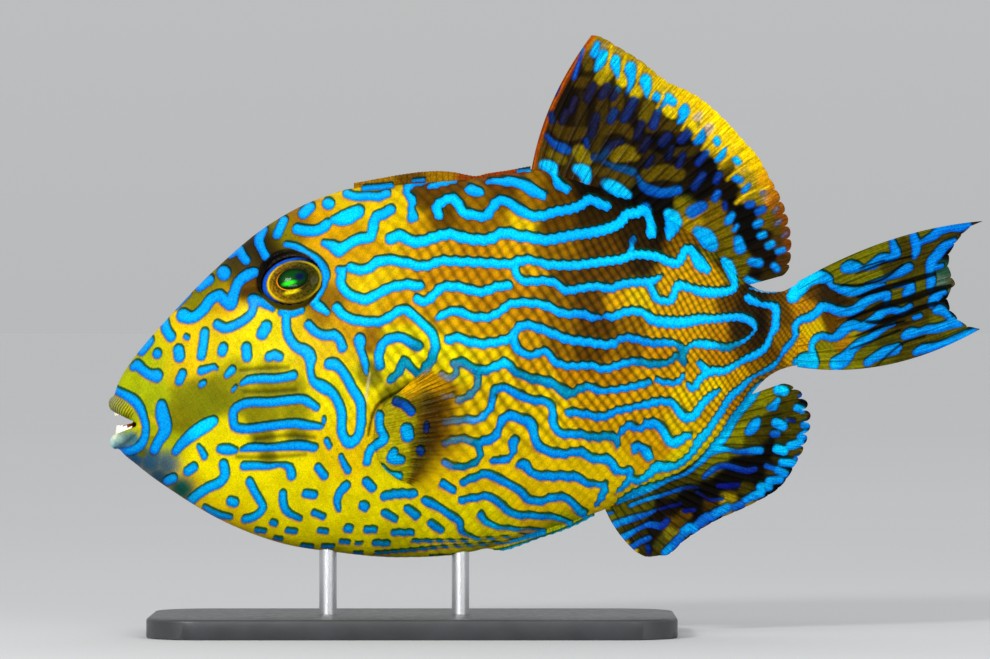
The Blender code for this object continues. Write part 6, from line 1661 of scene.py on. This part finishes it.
def fin_material(name, ray_dark, clear=False, folded=False, outline=1.0, soft=1.0, tip=1.0):
    """Thin skin over rays: streaked, darker along the rays, with painted shadow along its folds, or clear
    past a fleshy lobe.

    outline is the strength of the strokes' dark border and soft the width of their edge. tip is the share of
    the rays' darkness that is left at their tips.
    """
    n = Nodes(name, 0.45, bump=0.0002, coat=0.01)
    n.shader.inputs["Specular IOR Level"].default_value = 0.02
    ray, share = n.attribute("ray"), n.attribute("share")
    if clear:
        on_ray = n.span(n.math("PINGPONG", n.math("MULTIPLY", ray, 2.0), 0.5), 0.02, 0.3, 1.0, 0.0)
        past_lobe = n.span(share, PECTORAL_LOBE_SHARE - 0.06, PECTORAL_LOBE_SHARE + 0.06)
        on_ray = n.math("MULTIPLY", on_ray, past_lobe)
        on_ray = n.math("MULTIPLY", on_ray, n.span(n.streaks(2.4, 1.6), 0.36, 0.64, 0.3, 1.0))
    else:
        on_ray = n.span(n.math("PINGPONG", ray, 0.5), 0.01, 0.16, 1.0, 0.0)
    darkness = n.math("MULTIPLY", on_ray, n.span(share, 0.66, 0.9, ray_dark, ray_dark * tip))
    streak = n.span(n.streaks(7.0, 5.0), 0.3, 0.7, 0.58, 1.2)
    grain = n.span(n.noise(900.0, 3.0), 0.3, 0.75, 0.72, 1.14)
    ground = n.times(n.attribute("ground", True), n.math("MULTIPLY", grain, streak))
    blue = n.times(n.attribute("blue", True), n.span(n.streaks(9.0, 7.0), 0.32, 0.68, 0.6, 1.14))
    rayed = n.mix(darkness, ground, n.times(ground, (0.3, 0.22, 0.14)))
    painted, ink = blue_lines(n, rayed, blue, 1.2, outline, soft)
    over = n.mix(n.math("MULTIPLY", darkness, 0.5), painted, n.times(painted, (0.24, 0.34, 0.46)))
    # Painted shadow: the tail darkens almost to black along its folds.
    if folded:
        over = n.mix(n.attribute("fold"), over, n.times(over, (0.05, 0.04, 0.03)))
    height = n.math("ADD", n.math("MULTIPLY", on_ray, 0.6), n.math("MULTIPLY", n.noise(1400.0), 0.25))
    made = n.finish(over, height)
    if clear:
        fade = n.span(share, PECTORAL_LOBE_SHARE + 0.1, 0.86, 1.0, 0.1)
        webbing = n.span(share, PECTORAL_LOBE_SHARE, PECTORAL_LOBE_SHARE + 0.3, 1.0, 0.4)
        solid = n.math("MAXIMUM", n.span(ink, -0.4, 0.6, 0.0, 0.9), n.math("MULTIPLY", on_ray, 0.9))
        n.link(n.math("MULTIPLY", n.math("MAXIMUM", webbing, solid), fade), n.shader.inputs["Alpha"])
    return made


def sheet_grid(s, t):
    """Places along and places out, for the points of a sheet, rows by columns."""
    return np.ones_like(t)[:, None] * s[None, :], t[:, None] * np.ones_like(s)[None, :]


def leaf(name, left, right):
    """A thin closed sheet between two grids of points, rows by columns."""
    rows, columns = left.shape[:2]
    points = np.concatenate([left.reshape(-1, 3), right.reshape(-1, 3)])
    other = rows * columns
    index = np.arange(other).reshape(rows, columns)
    a, b, c, d = index[:-1, :-1], index[:-1, 1:], index[1:, 1:], index[1:, :-1]
    front = np.stack([a, b, c, d], axis=-1).reshape(-1, 4)
    faces = np.concatenate([front, front[:, ::-1] + other]).tolist()
    edge = list(index[0, :]) + list(index[1:, -1]) + list(index[-1, -2::-1]) + list(index[-2:0:-1, 0])
    for p, q in zip(edge, edge[1:] + edge[:1]):
        faces.append((int(p), int(q), int(q) + other, int(p) + other))
    return new_object(name, points, faces)


def sheet_layers(made, rays_at, shares_at):
    """Stores which ray and how far out each vertex of a sheet lies, and its unwrap."""
    ray = np.concatenate([rays_at.ravel(), rays_at.ravel()])
    share = np.concatenate([shares_at.ravel(), shares_at.ravel()])
    store(made, "ray", ray)
    store(made, "share", share)
    turn = ray / max(ray.max(), 1)
    half = len(ray) // 2
    sides = np.where(np.arange(len(ray)) < half, 0.0, 0.5)
    bake_map(made, turn, 0.48 * share + sides)


def median_fin(name, rays, per_ray, rows, roots, tips, bow, half_of, scallop, wave):
    """A fin in the middle plane, over rays from its root to its tips.

    roots, tips and bow give ends and bend of the rays from the place along, scallop the depth of the notches
    between them. half_of gives the half thickness and wave the sway, from the place along and out.
    """
    columns = rays * per_ray
    s = np.linspace(0.0, 1.0, columns + 1)
    t = np.linspace(0.0, 1.0, rows + 1) ** 1.1
    root, tip, bend = roots(s), tips(s), bow(s)
    ray_phase = np.abs(((s * rays) % 1.0) - 0.5) * 2
    notch = scallop(s) * (1 - np.sqrt(1 - ray_phase**2))
    S, T = sheet_grid(s, t)
    reach = T - notch[None, :] * smoothstep(0.75, 1.0, T)
    place = (
        root[None] * (1 - reach[..., None])
        + tip[None] * reach[..., None]
        + bend[None] * (4 * reach * (1 - reach))[..., None]
    )
    half = half_of(S, T, ray_phase[None, :] * np.ones_like(T))
    sway = wave(S, T)
    left = np.stack([place[..., 0], sway - half, place[..., 1]], axis=-1)
    right = np.stack([place[..., 0], sway + half, place[..., 1]], axis=-1)
    made = leaf(name, left, right)
    sheet_layers(made, S * rays, T)
    return made


def ray_half(_, T, ridge):
    """Half thickness of a membrane with rays as rounded ridges, the same all along the fin."""
    ray = 0.85 + (0.3 - 0.85) * T
    return MEMBRANE_HALF + (ray - MEMBRANE_HALF) * ridge**2.2 + 0.7 * np.clip(1 - T / 0.2, 0, 1)


def dorsal_fin():
    def roots(s):
        x = DORSAL_ROOT_SPAN[0] + (DORSAL_ROOT_SPAN[1] - DORSAL_ROOT_SPAN[0]) * s
        return np.stack([x, back_of(x) - FIN_ROOT_DEPTH], axis=-1)

    def bow(s):
        k = np.clip(1 - 2.4 * s, 0, 1)
        return np.stack([-3.8 * k, 0.6 * k], axis=-1)

    made = median_fin(
        "soft_dorsal_fin", DORSAL_RAYS, 12, 90, roots, lambda s: along(DORSAL_MARGIN, s), bow, ray_half,
        lambda s: 0.008 + 0.06 * smoothstep(0.62, 0.92, s),
        lambda S, T: 0.5 * T**2 * np.sin(9 * S + 0.6) * smoothstep(0, 0.1, S),
    )
    gold = [(RAY_GOLD, *stroke[1:]) for stroke in DORSAL_GOLD_RAYS]
    strokes = DORSAL_STROKES + BACK_STROKES
    paint(made, strokes, DORSAL_GROUND, DORSAL_BLUE, blotches=DORSAL_BLOTCHES + gold, cuts=DORSAL_GOLD_RAYS)
    s = read(made, "ray") / DORSAL_RAYS
    blend_ground(made, 0.85 * smoothstep(0.022, 0.008, s), linear(SPINE_ORANGE))
    made.data.materials.append(fin_material("dorsal_webbing", 0.5, outline=0.3, soft=4.0, tip=0.3))
    return made


def anal_fin():
    def roots(s):
        x = ANAL_ROOT_SPAN[0] + (ANAL_ROOT_SPAN[1] - ANAL_ROOT_SPAN[0]) * s
        return np.stack([x, belly_of(x) + FIN_ROOT_DEPTH], axis=-1)

    def bow(s):
        k = np.clip(1 - 3 * s, 0, 1)
        return np.stack([-1.2 * k, -0.6 * k], axis=-1)

    made = median_fin(
        "soft_anal_fin", ANAL_RAYS, 12, 80, roots, lambda s: along(ANAL_MARGIN, s), bow, ray_half,
        lambda s: 0.01 + 0.09 * smoothstep(0.6, 0.9, s),
        lambda S, T: 0.5 * T**2 * np.sin(8 * S + 2.0) * smoothstep(0, 0.1, S),
    )
    paint(made, ANAL_ROOT_STROKES + ANAL_STROKES, ANAL_GROUND, ANAL_BLUE, blotches=ANAL_BLOTCHES)
    made.data.materials.append(fin_material("anal_webbing", 0.5, outline=0.8, soft=2.0))
    return made


def tail_fin():
    top, bottom = TAIL_ROOT_SPAN

    def roots(s):
        return np.stack([np.full_like(s, STEM_END + 0.2), top + (bottom - top) * s], axis=-1)

    def bow(s):
        upper = np.clip(1 - 3.2 * s, 0, 1)
        lower = np.clip(1 - 3.2 * (1 - s), 0, 1)
        return np.stack([np.zeros_like(s), 4.6 * upper - 6.6 * lower], axis=-1)

    def half_of(S, T, ridge):
        plain = ray_half(S, T, ridge)
        branch = np.abs(((S * TAIL_RAYS * 2) % 1.0) - 0.5) * 2
        split = smoothstep(0.35, 0.6, T)
        ray = 0.9 + (0.32 - 0.9) * T
        branched = MEMBRANE_HALF + (ray - MEMBRANE_HALF) * (1 - branch) ** 1.5 * 0.9
        flesh = 5.2 * np.sqrt(np.clip(1 - (2 * S - 1) ** 2, 0, 1)) * np.clip(1 - T / 0.26, 0, 1) ** 1.3
        return plain * (1 - split) + branched * split + flesh

    def scallop(s):
        return np.where((s < 0.03) | (s > 0.97), 0.0, 0.014)

    made = median_fin(
        "forked_tail_fin", TAIL_RAYS, 20, 110, roots, lambda s: along(TAIL_MARGIN, s), bow, half_of, scallop,
        lambda S, T: 0.8 * T**2 * np.sin(5 * S + 0.4),
    )
    _, u, v, _, _ = paint(made, REAR_STROKES, BODY_GROUND, BLUE_GROUND)
    # fold holds where painted shadow lies along the tail's folds.
    store(made, "fold", smoothstep(-1.6, 0.8, ink_at(TAIL_FOLDS, u, v)))
    made.data.materials.append(fin_material("tail_webbing", 0.4, folded=True, soft=1.6))
    return made


def pectoral_fin(name, side):
    """A fan that stands off the flank: a fleshy lobe at its root, then clear skin over rays."""
    columns, rows = PECTORAL_RAYS * 12, 70
    s = np.linspace(0, 1, columns + 1)
    t = np.linspace(0, 1, rows + 1)
    phase = np.abs(((s * PECTORAL_RAYS) % 1.0) - 0.5) * 2
    root, tip = along(PECTORAL_ROOT, s), along(PECTORAL_MARGIN, s)
    inner, outer = np.zeros((rows + 1, columns + 1, 3)), np.zeros((rows + 1, columns + 1, 3))
    for i, share in enumerate(t):
        reach = share - 0.03 * (1 - phase) * smoothstep(0.8, 1.0, share)
        place = root * (1 - reach)[:, None] + tip * reach[:, None]
        fan = max(0.0, share - PECTORAL_LOBE_SHARE) / (1 - PECTORAL_LOBE_SHARE)
        lift = -0.5 * (1 - smoothstep(0.0, 0.5, share)) + 0.4 + PECTORAL_STAND_OFF * fan**1.3
        lobe = math.sin(math.pi * min(1.0, share / PECTORAL_LOBE_SHARE) ** 0.7)
        edge = np.sqrt(np.clip(1 - (2 * s - 1) ** 4, 0, 1))
        ridge = 0.55 * (1 - 0.5 * share) * smoothstep(0.2, 0.5, share) * phase**2
        thick = 0.35 + PECTORAL_LOBE_THICKNESS * lobe * edge + ridge
        for j in range(columns + 1):
            here, normal, _ = surface_frame(place[j, 0], place[j, 1], side)
            inner[i, j] = here + normal * lift
            outer[i, j] = here + normal * (lift + thick[j])
    made = leaf(name, inner, outer)
    S, T = sheet_grid(s, t)
    sheet_layers(made, S * PECTORAL_RAYS, T)
    _, _, v, _, _ = paint(made, PECTORAL_STROKES, PECTORAL_GROUND, PECTORAL_BLUE)
    share = read(made, "share")
    blend_ground(made, smoothstep(0.66, 0.9, share), linear(FAN_GOLD))
    shadow = smoothstep(0.36, 0.5, share) * smoothstep(0.84, 0.54, share) * smoothstep(380.0, 402.0, v)
    blend_ground(made, 0.66 * shadow, linear(FAN_SHADE))
    return made


def upright_sheet(name, s, t, x, half, z, rays):
    """A thin sheet in the middle plane, from its stations, half thickness and heights."""
    X, T = sheet_grid(x, t)
    made = leaf(name, np.stack([X, -half, z], axis=-1), np.stack([X, half, z], axis=-1))
    sheet_layers(made, sheet_grid(s, t)[0] * rays, T)
    return made


def first_dorsal():
    """The folded spines: a low crest with the membrane gathered along it."""
    crest_of = curve_through(FIRST_DORSAL_CREST + REAR_CREST)
    start, end = FIRST_DORSAL_CREST[0][0], REAR_CREST[-1][0]
    columns, rows = 240, 16
    s = np.linspace(0, 1, columns + 1)
    t = np.linspace(0, 1, rows + 1)
    x = start + (end - start) * s
    low = back_of(x) - 0.8
    pleat = 0.18 * np.abs(np.sin(x * 2.1)) * smoothstep(104.0, 112.0, x)
    high = np.maximum(crest_of(x) - pleat, low + 1.0)
    lying = sum(smoothstep(stop + 1.0, stop - 1.0, x) for stop in SPINE_TIPS)
    half = 0.35 + 0.4 * lying
    round_off = np.sqrt(np.clip(1 - (2 * t[:, None] - 1) ** 8, 0, 1)) * (1 - 0.35 * t[:, None])
    lower_seam = 0.22 * np.exp(-((t[:, None] - 0.55) / 0.08) ** 2)
    upper_seam = 0.2 * np.exp(-((t[:, None] - 0.8) / 0.07) ** 2)
    seam = 1 - lower_seam - upper_seam
    wide = half[None, :] * np.maximum(round_off, 0.12) * seam
    z = low[None, :] + (high - low)[None, :] * t[:, None]
    made = upright_sheet("folded_spines", s, t, x, wide, z, 30)
    paint(made, SPINE_STROKES, SPINE_GROUND, BLUE_GROUND)
    made.data.materials.append(fin_material("spine_skin", 0.3))
    return made


def pelvic_flap():
    """The loose fold of skin along the belly, with a row of small points."""
    edge_of = curve_through(FLAP_EDGE)
    start, end = FLAP_EDGE[0][0], FLAP_EDGE[-1][0]
    columns, rows = 168, 14
    s = np.linspace(0, 1, columns + 1)
    t = np.linspace(0, 1, rows + 1)
    x = start + (end - start) * s
    high = belly_of(x) + 1.2
    point = np.abs(((s * FLAP_FOLDS) % 1.0) - 0.5) * 2
    low = np.minimum(edge_of(x) + 0.35 * (1 - point), high - 0.4)
    low = high - 0.4 + (low - high + 0.4) * smoothstep(start, start + 12.0, x)
    round_off = np.sqrt(np.clip(1 - t[:, None] ** 6, 0.03, 1))
    half = (1.0 - 0.65 * t[:, None]) * (0.75 + 0.25 * point[None, :]) * round_off
    z = high[None, :] + (low - high)[None, :] * t[:, None]
    made = upright_sheet("pelvic_skin_flap", s, t, x, half, z, FLAP_FOLDS)
    paint(made, BELLY_STROKES, BODY_GROUND, BLUE_GROUND)
    made.data.materials.append(fin_material("flap_skin", 0.3))
    return made


def eye(name, side):
    """An eyeball that keeps how far ahead and above of its axis each vertex lies, in pixels of the photo."""
    made = eyeball(name, side, 0.0, 96, 64)
    centre, _, lengthwise, up = eye_axes(side)
    co, _, _ = vertex_places(made)
    off = co - np.array(centre)
    ahead = off @ np.array(lengthwise) / PIXEL
    above = off @ np.array(up) / PIXEL
    store(made, "ahead", ahead)
    store(made, "above", above)
    bake_map(made, 0.5 + ahead / EYE_UNWRAP, 0.5 + above / EYE_UNWRAP)
    return made


def eye_material():
    """Pupil, iris, golden ring and blue lid, as ovals round the eye's axis, in pixels of the photo."""
    n = Nodes("eye", 0.22, coat=0.1)
    n.shader.inputs["Specular IOR Level"].default_value = 0.02
    n.shader.inputs["Coat Roughness"].default_value = 0.03
    ahead, above = n.attribute("ahead"), n.attribute("above")

    def oval(middle_x, middle_y, half_x, half_y):
        dx = n.math("DIVIDE", n.math("SUBTRACT", ahead, middle_x), half_x)
        dy = n.math("DIVIDE", n.math("SUBTRACT", above, middle_y), half_y)
        return n.math("SQRT", n.math("ADD", n.math("MULTIPLY", dx, dx), n.math("MULTIPLY", dy, dy)))

    def tone(*colour):
        return tuple(linear(colour))

    ring, pupil = oval(2.4, -2.2, 27.2, 20.4), oval(2.1, -1.0, 15.8, 10.8)
    grain = n.span(n.noise(1100.0, 4.0), 0.3, 0.7, 0.35, 1.5)
    iris = n.mix(n.span(ahead, -24.0, 20.0), tone(128, 92, 2), tone(58, 54, 2))
    iris = n.mix(n.span(pupil, 1.0, 1.5, 0.8, 0.0), iris, tone(22, 22, 2))
    iris = n.times(iris, grain)
    under = n.span(oval(-1.4, -13.2, 10.4, 2.9), 0.35, 1.1, 1.0, 0.0)
    under = n.math("MULTIPLY", under, n.span(n.noise(700.0), 0.35, 0.65, 0.5, 1.0))
    iris = n.mix(under, iris, tone(226, 214, 0))
    lit_rim = n.span(n.math("ADD", ahead, above), -22.0, 6.0, 1.0, 0.0)
    rim = n.math("MULTIPLY", n.span(pupil, 0.96, 1.02), n.span(pupil, 1.03, 1.1, 1.0, 0.0))
    rim = n.math("MULTIPLY", rim, lit_rim)
    iris = n.mix(rim, iris, tone(226, 130, 0))
    depth = n.mix(n.span(oval(9.8, -0.2, 7.0, 5.4), 0.3, 1.1, 1.0, 0.0), tone(0, 58, 6), tone(2, 12, 50))
    depth = n.mix(n.span(pupil, 0.55, 1.0), depth, tone(0, 16, 2))
    # Painted glow: a bright green reflection inside the pupil, where light comes back from deep in the eye.
    depth = n.mix(n.span(oval(-2.0, -4.6, 8.4, 3.0), 0.2, 1.2, 1.0, 0.0), depth, tone(36, 226, 24))
    inside = n.mix(n.span(pupil, 0.95, 1.01, 1.0, 0.0), iris, depth)
    at_ring = n.math("MULTIPLY", n.span(ring, 0.9, 0.98), n.span(ring, 0.99, 1.05, 1.0, 0.0))
    to_side = n.span(n.math("ABSOLUTE", ahead), 6.0, 24.0, 0.24, 1.0)
    bright = n.math("MULTIPLY", to_side, n.span(ahead, -20.0, 26.0, 1.0, 0.62))
    ringed = n.mix(n.math("MULTIPLY", at_ring, bright), inside, tone(214, 184, 0))
    blue = n.mix(n.span(n.math("SUBTRACT", above, ahead), -8.0, 24.0), tone(4, 8, 36), tone(10, 82, 200))
    past_ring = n.span(ring, 1.03, 1.08)
    lid = n.times(blue, n.span(n.noise(900.0), 0.3, 0.7, 0.6, 1.1))
    lidded = n.mix(past_ring, ringed, lid)
    outer = n.mix(n.span(ring, 1.2, 1.28), lidded, tone(18, 10, 4))
    return n.finish(outer, None)


def tooth_rings(base, across, outward, rise):
    """A chisel tooth from its base. rise is its height as a vector."""
    rings = []
    for share, width in TOOTH_PROFILE:
        thin = TOOTH_THICKNESS / 2 * (1.0 - 0.45 * max(0.0, share))
        ring = []
        for turn in turns(16):
            c, q = math.cos(turn), math.sin(turn)
            c, q = math.copysign(abs(c) ** 0.6, c), math.copysign(abs(q) ** 0.6, q)
            ring.append(base + rise * share + across * c * TOOTH_WIDTH / 2 * width + outward * q * thin)
        rings.append(ring)
    return rings


def teeth():
    """Two rows of close-set chisel teeth, joined as one piece. The lower ones end at one level."""
    points, faces = [], []
    segments = 60
    for front, way in ((LOWER_EDGE_FRONT, 1.0), (UPPER_EDGE_FRONT, -1.0)):
        gum = (front[0] + 1.0, front[1])
        path = [Vector(p) for p in jaw_path(gum, 1.0, MOUTH_HALF_WIDTH - 1.2, segments)]
        for i in range(TEETH_IN_A_ROW):
            at = (i + 0.5) / TEETH_IN_A_ROW * segments
            low = int(at)
            base = path[low].lerp(path[min(low + 1, segments)], at - low)
            across = (path[min(low + 1, segments)] - path[max(low - 1, 0)]).normalized()
            outward = across.cross(Vector((0, 0, 1)))
            up = Vector((0, 0, way))
            middle = 1.0 - abs(2 * (i + 0.5) / TEETH_IN_A_ROW - 1)
            if base.x > 10.0 or (way < 0 and middle < 0.5):
                continue
            tall = 0.25 + UPPER_TOOTH_HEIGHT * float(smoothstep(0.5, 0.95, middle))
            if way > 0:
                level = LOWER_TEETH_LEVEL - 1.6 * float(smoothstep(6.5, 11.0, base.x))
                tall = max(0.5, level - base.z + 0.12 * math.sin(2.1 * i))
            some_points, some_faces = lofted(tooth_rings(base, across, outward, up * tall))
            offset = len(points)
            points += some_points
            faces += [tuple(k + offset for k in f) for f in some_faces]
    made = new_object("teeth", points, faces)
    n = Nodes("enamel", 0.2, bump=0.00005, coat=0.3)
    tone = n.mix(n.span(n.noise(500.0), 0.3, 0.7), linear(TOOTH_WHITE), linear(TOOTH_IVORY))
    made.data.materials.append(n.finish(tone, n.noise(2500.0)))
    return made


def stand_base():
    """A flat slab with round corners and a rounded upper edge."""
    outline = []
    steps = 16
    for quarter, (sx, sy) in enumerate(((1, 1), (-1, 1), (-1, -1), (1, -1))):
        for i in range(steps + 1):
            turn = math.pi / 2 * (quarter + i / steps)
            x = sx * (BASE_LENGTH / 2 - BASE_CORNER) + BASE_CORNER * math.cos(turn)
            y = sy * (BASE_DEPTH / 2 - BASE_CORNER) + BASE_CORNER * math.sin(turn)
            outline.append((x, y))
    rings = []
    profile = [(0.0, 0.4), (0.4, 0.0)]
    for i in range(7):
        turn = math.pi / 2 * i / 6
        height = BASE_HEIGHT - BASE_BEVEL + BASE_BEVEL * math.sin(turn)
        profile.append((height, BASE_BEVEL * (1 - math.cos(turn))))
    for z, inset in profile:
        shrink_x, shrink_y = 1 - 2 * inset / BASE_LENGTH, 1 - 2 * inset / BASE_DEPTH
        rings.append([(BASE_CENTRE + x * shrink_x, y * shrink_y, z) for x, y in outline])
    points, faces = lofted(rings)
    made = new_object("display_base", points, faces)
    made.data.set_sharp_from_angle(angle=math.radians(50))
    n = Nodes("satin_grey", 0.42, bump=0.00003)
    tone = n.mix(n.span(n.noise(60.0, 5.0), 0.3, 0.7), (0.028, 0.029, 0.032), (0.04, 0.041, 0.045))
    n.link(n.span(n.noise(300.0, 4.0), 0.2, 0.8, 0.36, 0.5), n.shader.inputs["Roughness"])
    made.data.materials.append(n.finish(tone, n.noise(3000.0)))
    return made


def stand_rod(node, x, finish):
    """A rod from just inside the base to just inside the belly, whose curve its top follows."""
    rings = []
    foot = BASE_HEIGHT - ROD_SINK
    for level, radius in ((foot, 1.0), (foot + 4.0, 1.0), (None, 1.0), (None, 0.5)):
        ring = []
        for turn in turns(48):
            px, py = x + ROD_RADIUS * radius * math.cos(turn), ROD_RADIUS * radius * math.sin(turn)
            ring.append((px, py, belly_at(px, py) + ROD_SINK if level is None else level))
        rings.append(ring)
    points, faces = lofted(rings)
    made = new_object(node.replace("stand_", "steel_"), points, faces)
    made.data.set_sharp_from_angle(angle=math.radians(50))
    made.data.materials.append(finish)
    return made


def steel():
    n = Nodes("brushed_steel", 0.3, bump=0.00003)
    n.shader.inputs["Metallic"].default_value = 1.0
    streaks = n.add("ShaderNodeTexNoise")
    stretch = n.add("ShaderNodeMapping")
    stretch.inputs["Scale"].default_value = (300.0, 300.0, 6000.0)
    n.link(n.add("ShaderNodeTexCoord").outputs["Object"], stretch.inputs["Vector"])
    n.link(stretch.outputs["Vector"], streaks.inputs["Vector"])
    tone = n.mix(streaks.outputs["Fac"], (0.5, 0.51, 0.53), (0.68, 0.69, 0.7))
    n.link(n.span(streaks.outputs["Fac"], 0.3, 0.7, 0.22, 0.4), n.shader.inputs["Roughness"])
    return n.finish(tone, streaks.outputs["Fac"])


def keep(made, slot, *nodes):
    """The piece rides with the fish and stands for these nodes of the solid model."""
    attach(made, "root")
    if nodes:
        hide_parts(*nodes)
    return made


def area_light(name, place, size, power):
    data = bpy.data.lights.new(name, "AREA")
    data.shape = "RECTANGLE"
    data.size, data.size_y = size
    data.energy = power
    lamp = bpy.data.objects.new(name, data)
    lamp.location = place
    lamp.rotation_euler = (Vector(LAMP_TARGET) - Vector(place)).to_track_quat("-Z", "Y").to_euler()
    bpy.context.scene.collection.objects.link(lamp)


def stage():
    """A pale floor that runs to the horizon, where the sky has the floor's tone, and soft studio lamps."""
    reach = 200.0
    floor_mesh = bpy.data.meshes.new("floor")
    corners = [(-reach, -reach, 0), (reach, -reach, 0), (reach, reach, 0), (-reach, reach, 0)]
    floor_mesh.from_pydata(corners, [], [(0, 1, 2, 3)])
    floor = bpy.data.objects.new("floor", floor_mesh)
    bpy.context.scene.collection.objects.link(floor)
    n = Nodes("pale_floor", 0.8)
    n.shader.inputs["Specular IOR Level"].default_value = 0.1
    place = n.add("ShaderNodeVectorMath", operation="LENGTH")
    n.link(n.add("ShaderNodeTexCoord").outputs["Object"], place.inputs[0])
    # Painted light: the floor's colour is lighter far from the fish, where the lamps hardly reach, than near
    # it, so that the far floor meets the sky's tone.
    tone = n.mix(n.span(place.outputs["Value"], 0.4, 4.0), (0.54, 0.545, 0.55), (0.62, 0.625, 0.635))
    tone = n.times(tone, n.span(n.noise(3.0), 0.3, 0.7, 0.99, 1.0))
    floor_mesh.materials.append(n.finish(tone, None))

    world = bpy.data.worlds.new("studio")
    world.use_nodes = True
    tree = world.node_tree
    ways = tree.nodes.new("ShaderNodeTexCoord")
    split = tree.nodes.new("ShaderNodeSeparateXYZ")
    ramp = tree.nodes.new("ShaderNodeMapRange")
    tree.links.new(ways.outputs["Generated"], split.inputs[0])
    tree.links.new(split.outputs["Z"], ramp.inputs["Value"])
    ramp.inputs["To Min"].default_value = NADIR_SHARE * WORLD_STRENGTH
    ramp.inputs["To Max"].default_value = WORLD_STRENGTH
    back = tree.nodes["Background"]
    back.inputs["Color"].default_value = (0.98, 0.99, 1.0, 1.0)
    tree.links.new(ramp.outputs["Result"], back.inputs["Strength"])
    bpy.context.scene.world = world
    for lamp in LAMPS:
        area_light(*lamp)
    bpy.context.scene.view_settings.view_transform = "Standard"


def camera():
    """A long lens square to the fish's side, which frames what the photo frames."""
    wide, tall = PHOTO_SIZE
    data = bpy.data.cameras.new("camera")
    data.sensor_width = SENSOR_WIDTH
    data.lens = SENSOR_WIDTH * CAMERA_DISTANCE / (wide * PIXEL * MM)
    data.clip_start, data.clip_end = 0.05, 400.0
    made = bpy.data.objects.new("camera", data)
    across = ((wide / 2 - SNOUT_U) * PIXEL - TOTAL_LENGTH / 2) * MM
    made.location = (across, -CAMERA_DISTANCE, (FLOOR_V - tall / 2) * PIXEL * MM)
    made.rotation_euler = (math.pi / 2, 0.0, 0.0)
    bpy.context.scene.collection.objects.link(made)
    bpy.context.scene.camera = made


def main():
    """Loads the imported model, sets the stage, and dresses every node of it."""
    bpy.ops.wm.read_factory_settings(use_empty=True)
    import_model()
    camera()
    stage()

    skin = make_skin()
    skin.data.materials.clear()
    skin.data.materials.append(skin_material())
    keep(skin, "skin_yellow", "head", "trunk", "tail_stem")
    keep(teeth(), "skin_yellow")
    eyes = eye_material()
    for name, node, side in (("left_eye", "eye_left", -1), ("right_eye", "eye_right", 1)):
        made = eye(name, side)
        made.data.materials.append(eyes)
        keep(made, "eye_gold", node)
    keep(first_dorsal(), "skin_brown", "first_dorsal_fin")
    keep(dorsal_fin(), "fin_brown", "dorsal_fin")
    keep(anal_fin(), "fin_brown", "anal_fin")
    keep(tail_fin(), "fin_blue", "tail_fin")
    webbing = fin_material("pectoral_webbing", 1.0, clear=True)
    pectorals = (("left_pectoral", "pectoral_fin_left", -1), ("right_pectoral", "pectoral_fin_right", 1))
    for name, node, side in pectorals:
        made = pectoral_fin(name, side)
        made.data.materials.append(webbing)
        keep(made, "fin_brown", node)
    keep(pelvic_flap(), "skin_yellow", "pelvic_flap")
    keep(stand_base(), "stand_grey", "stand_base")
    rod_finish = steel()
    for node, x in ROD_PLACES.items():
        keep(stand_rod(node, x, rod_finish), "rod_steel", node)


main()
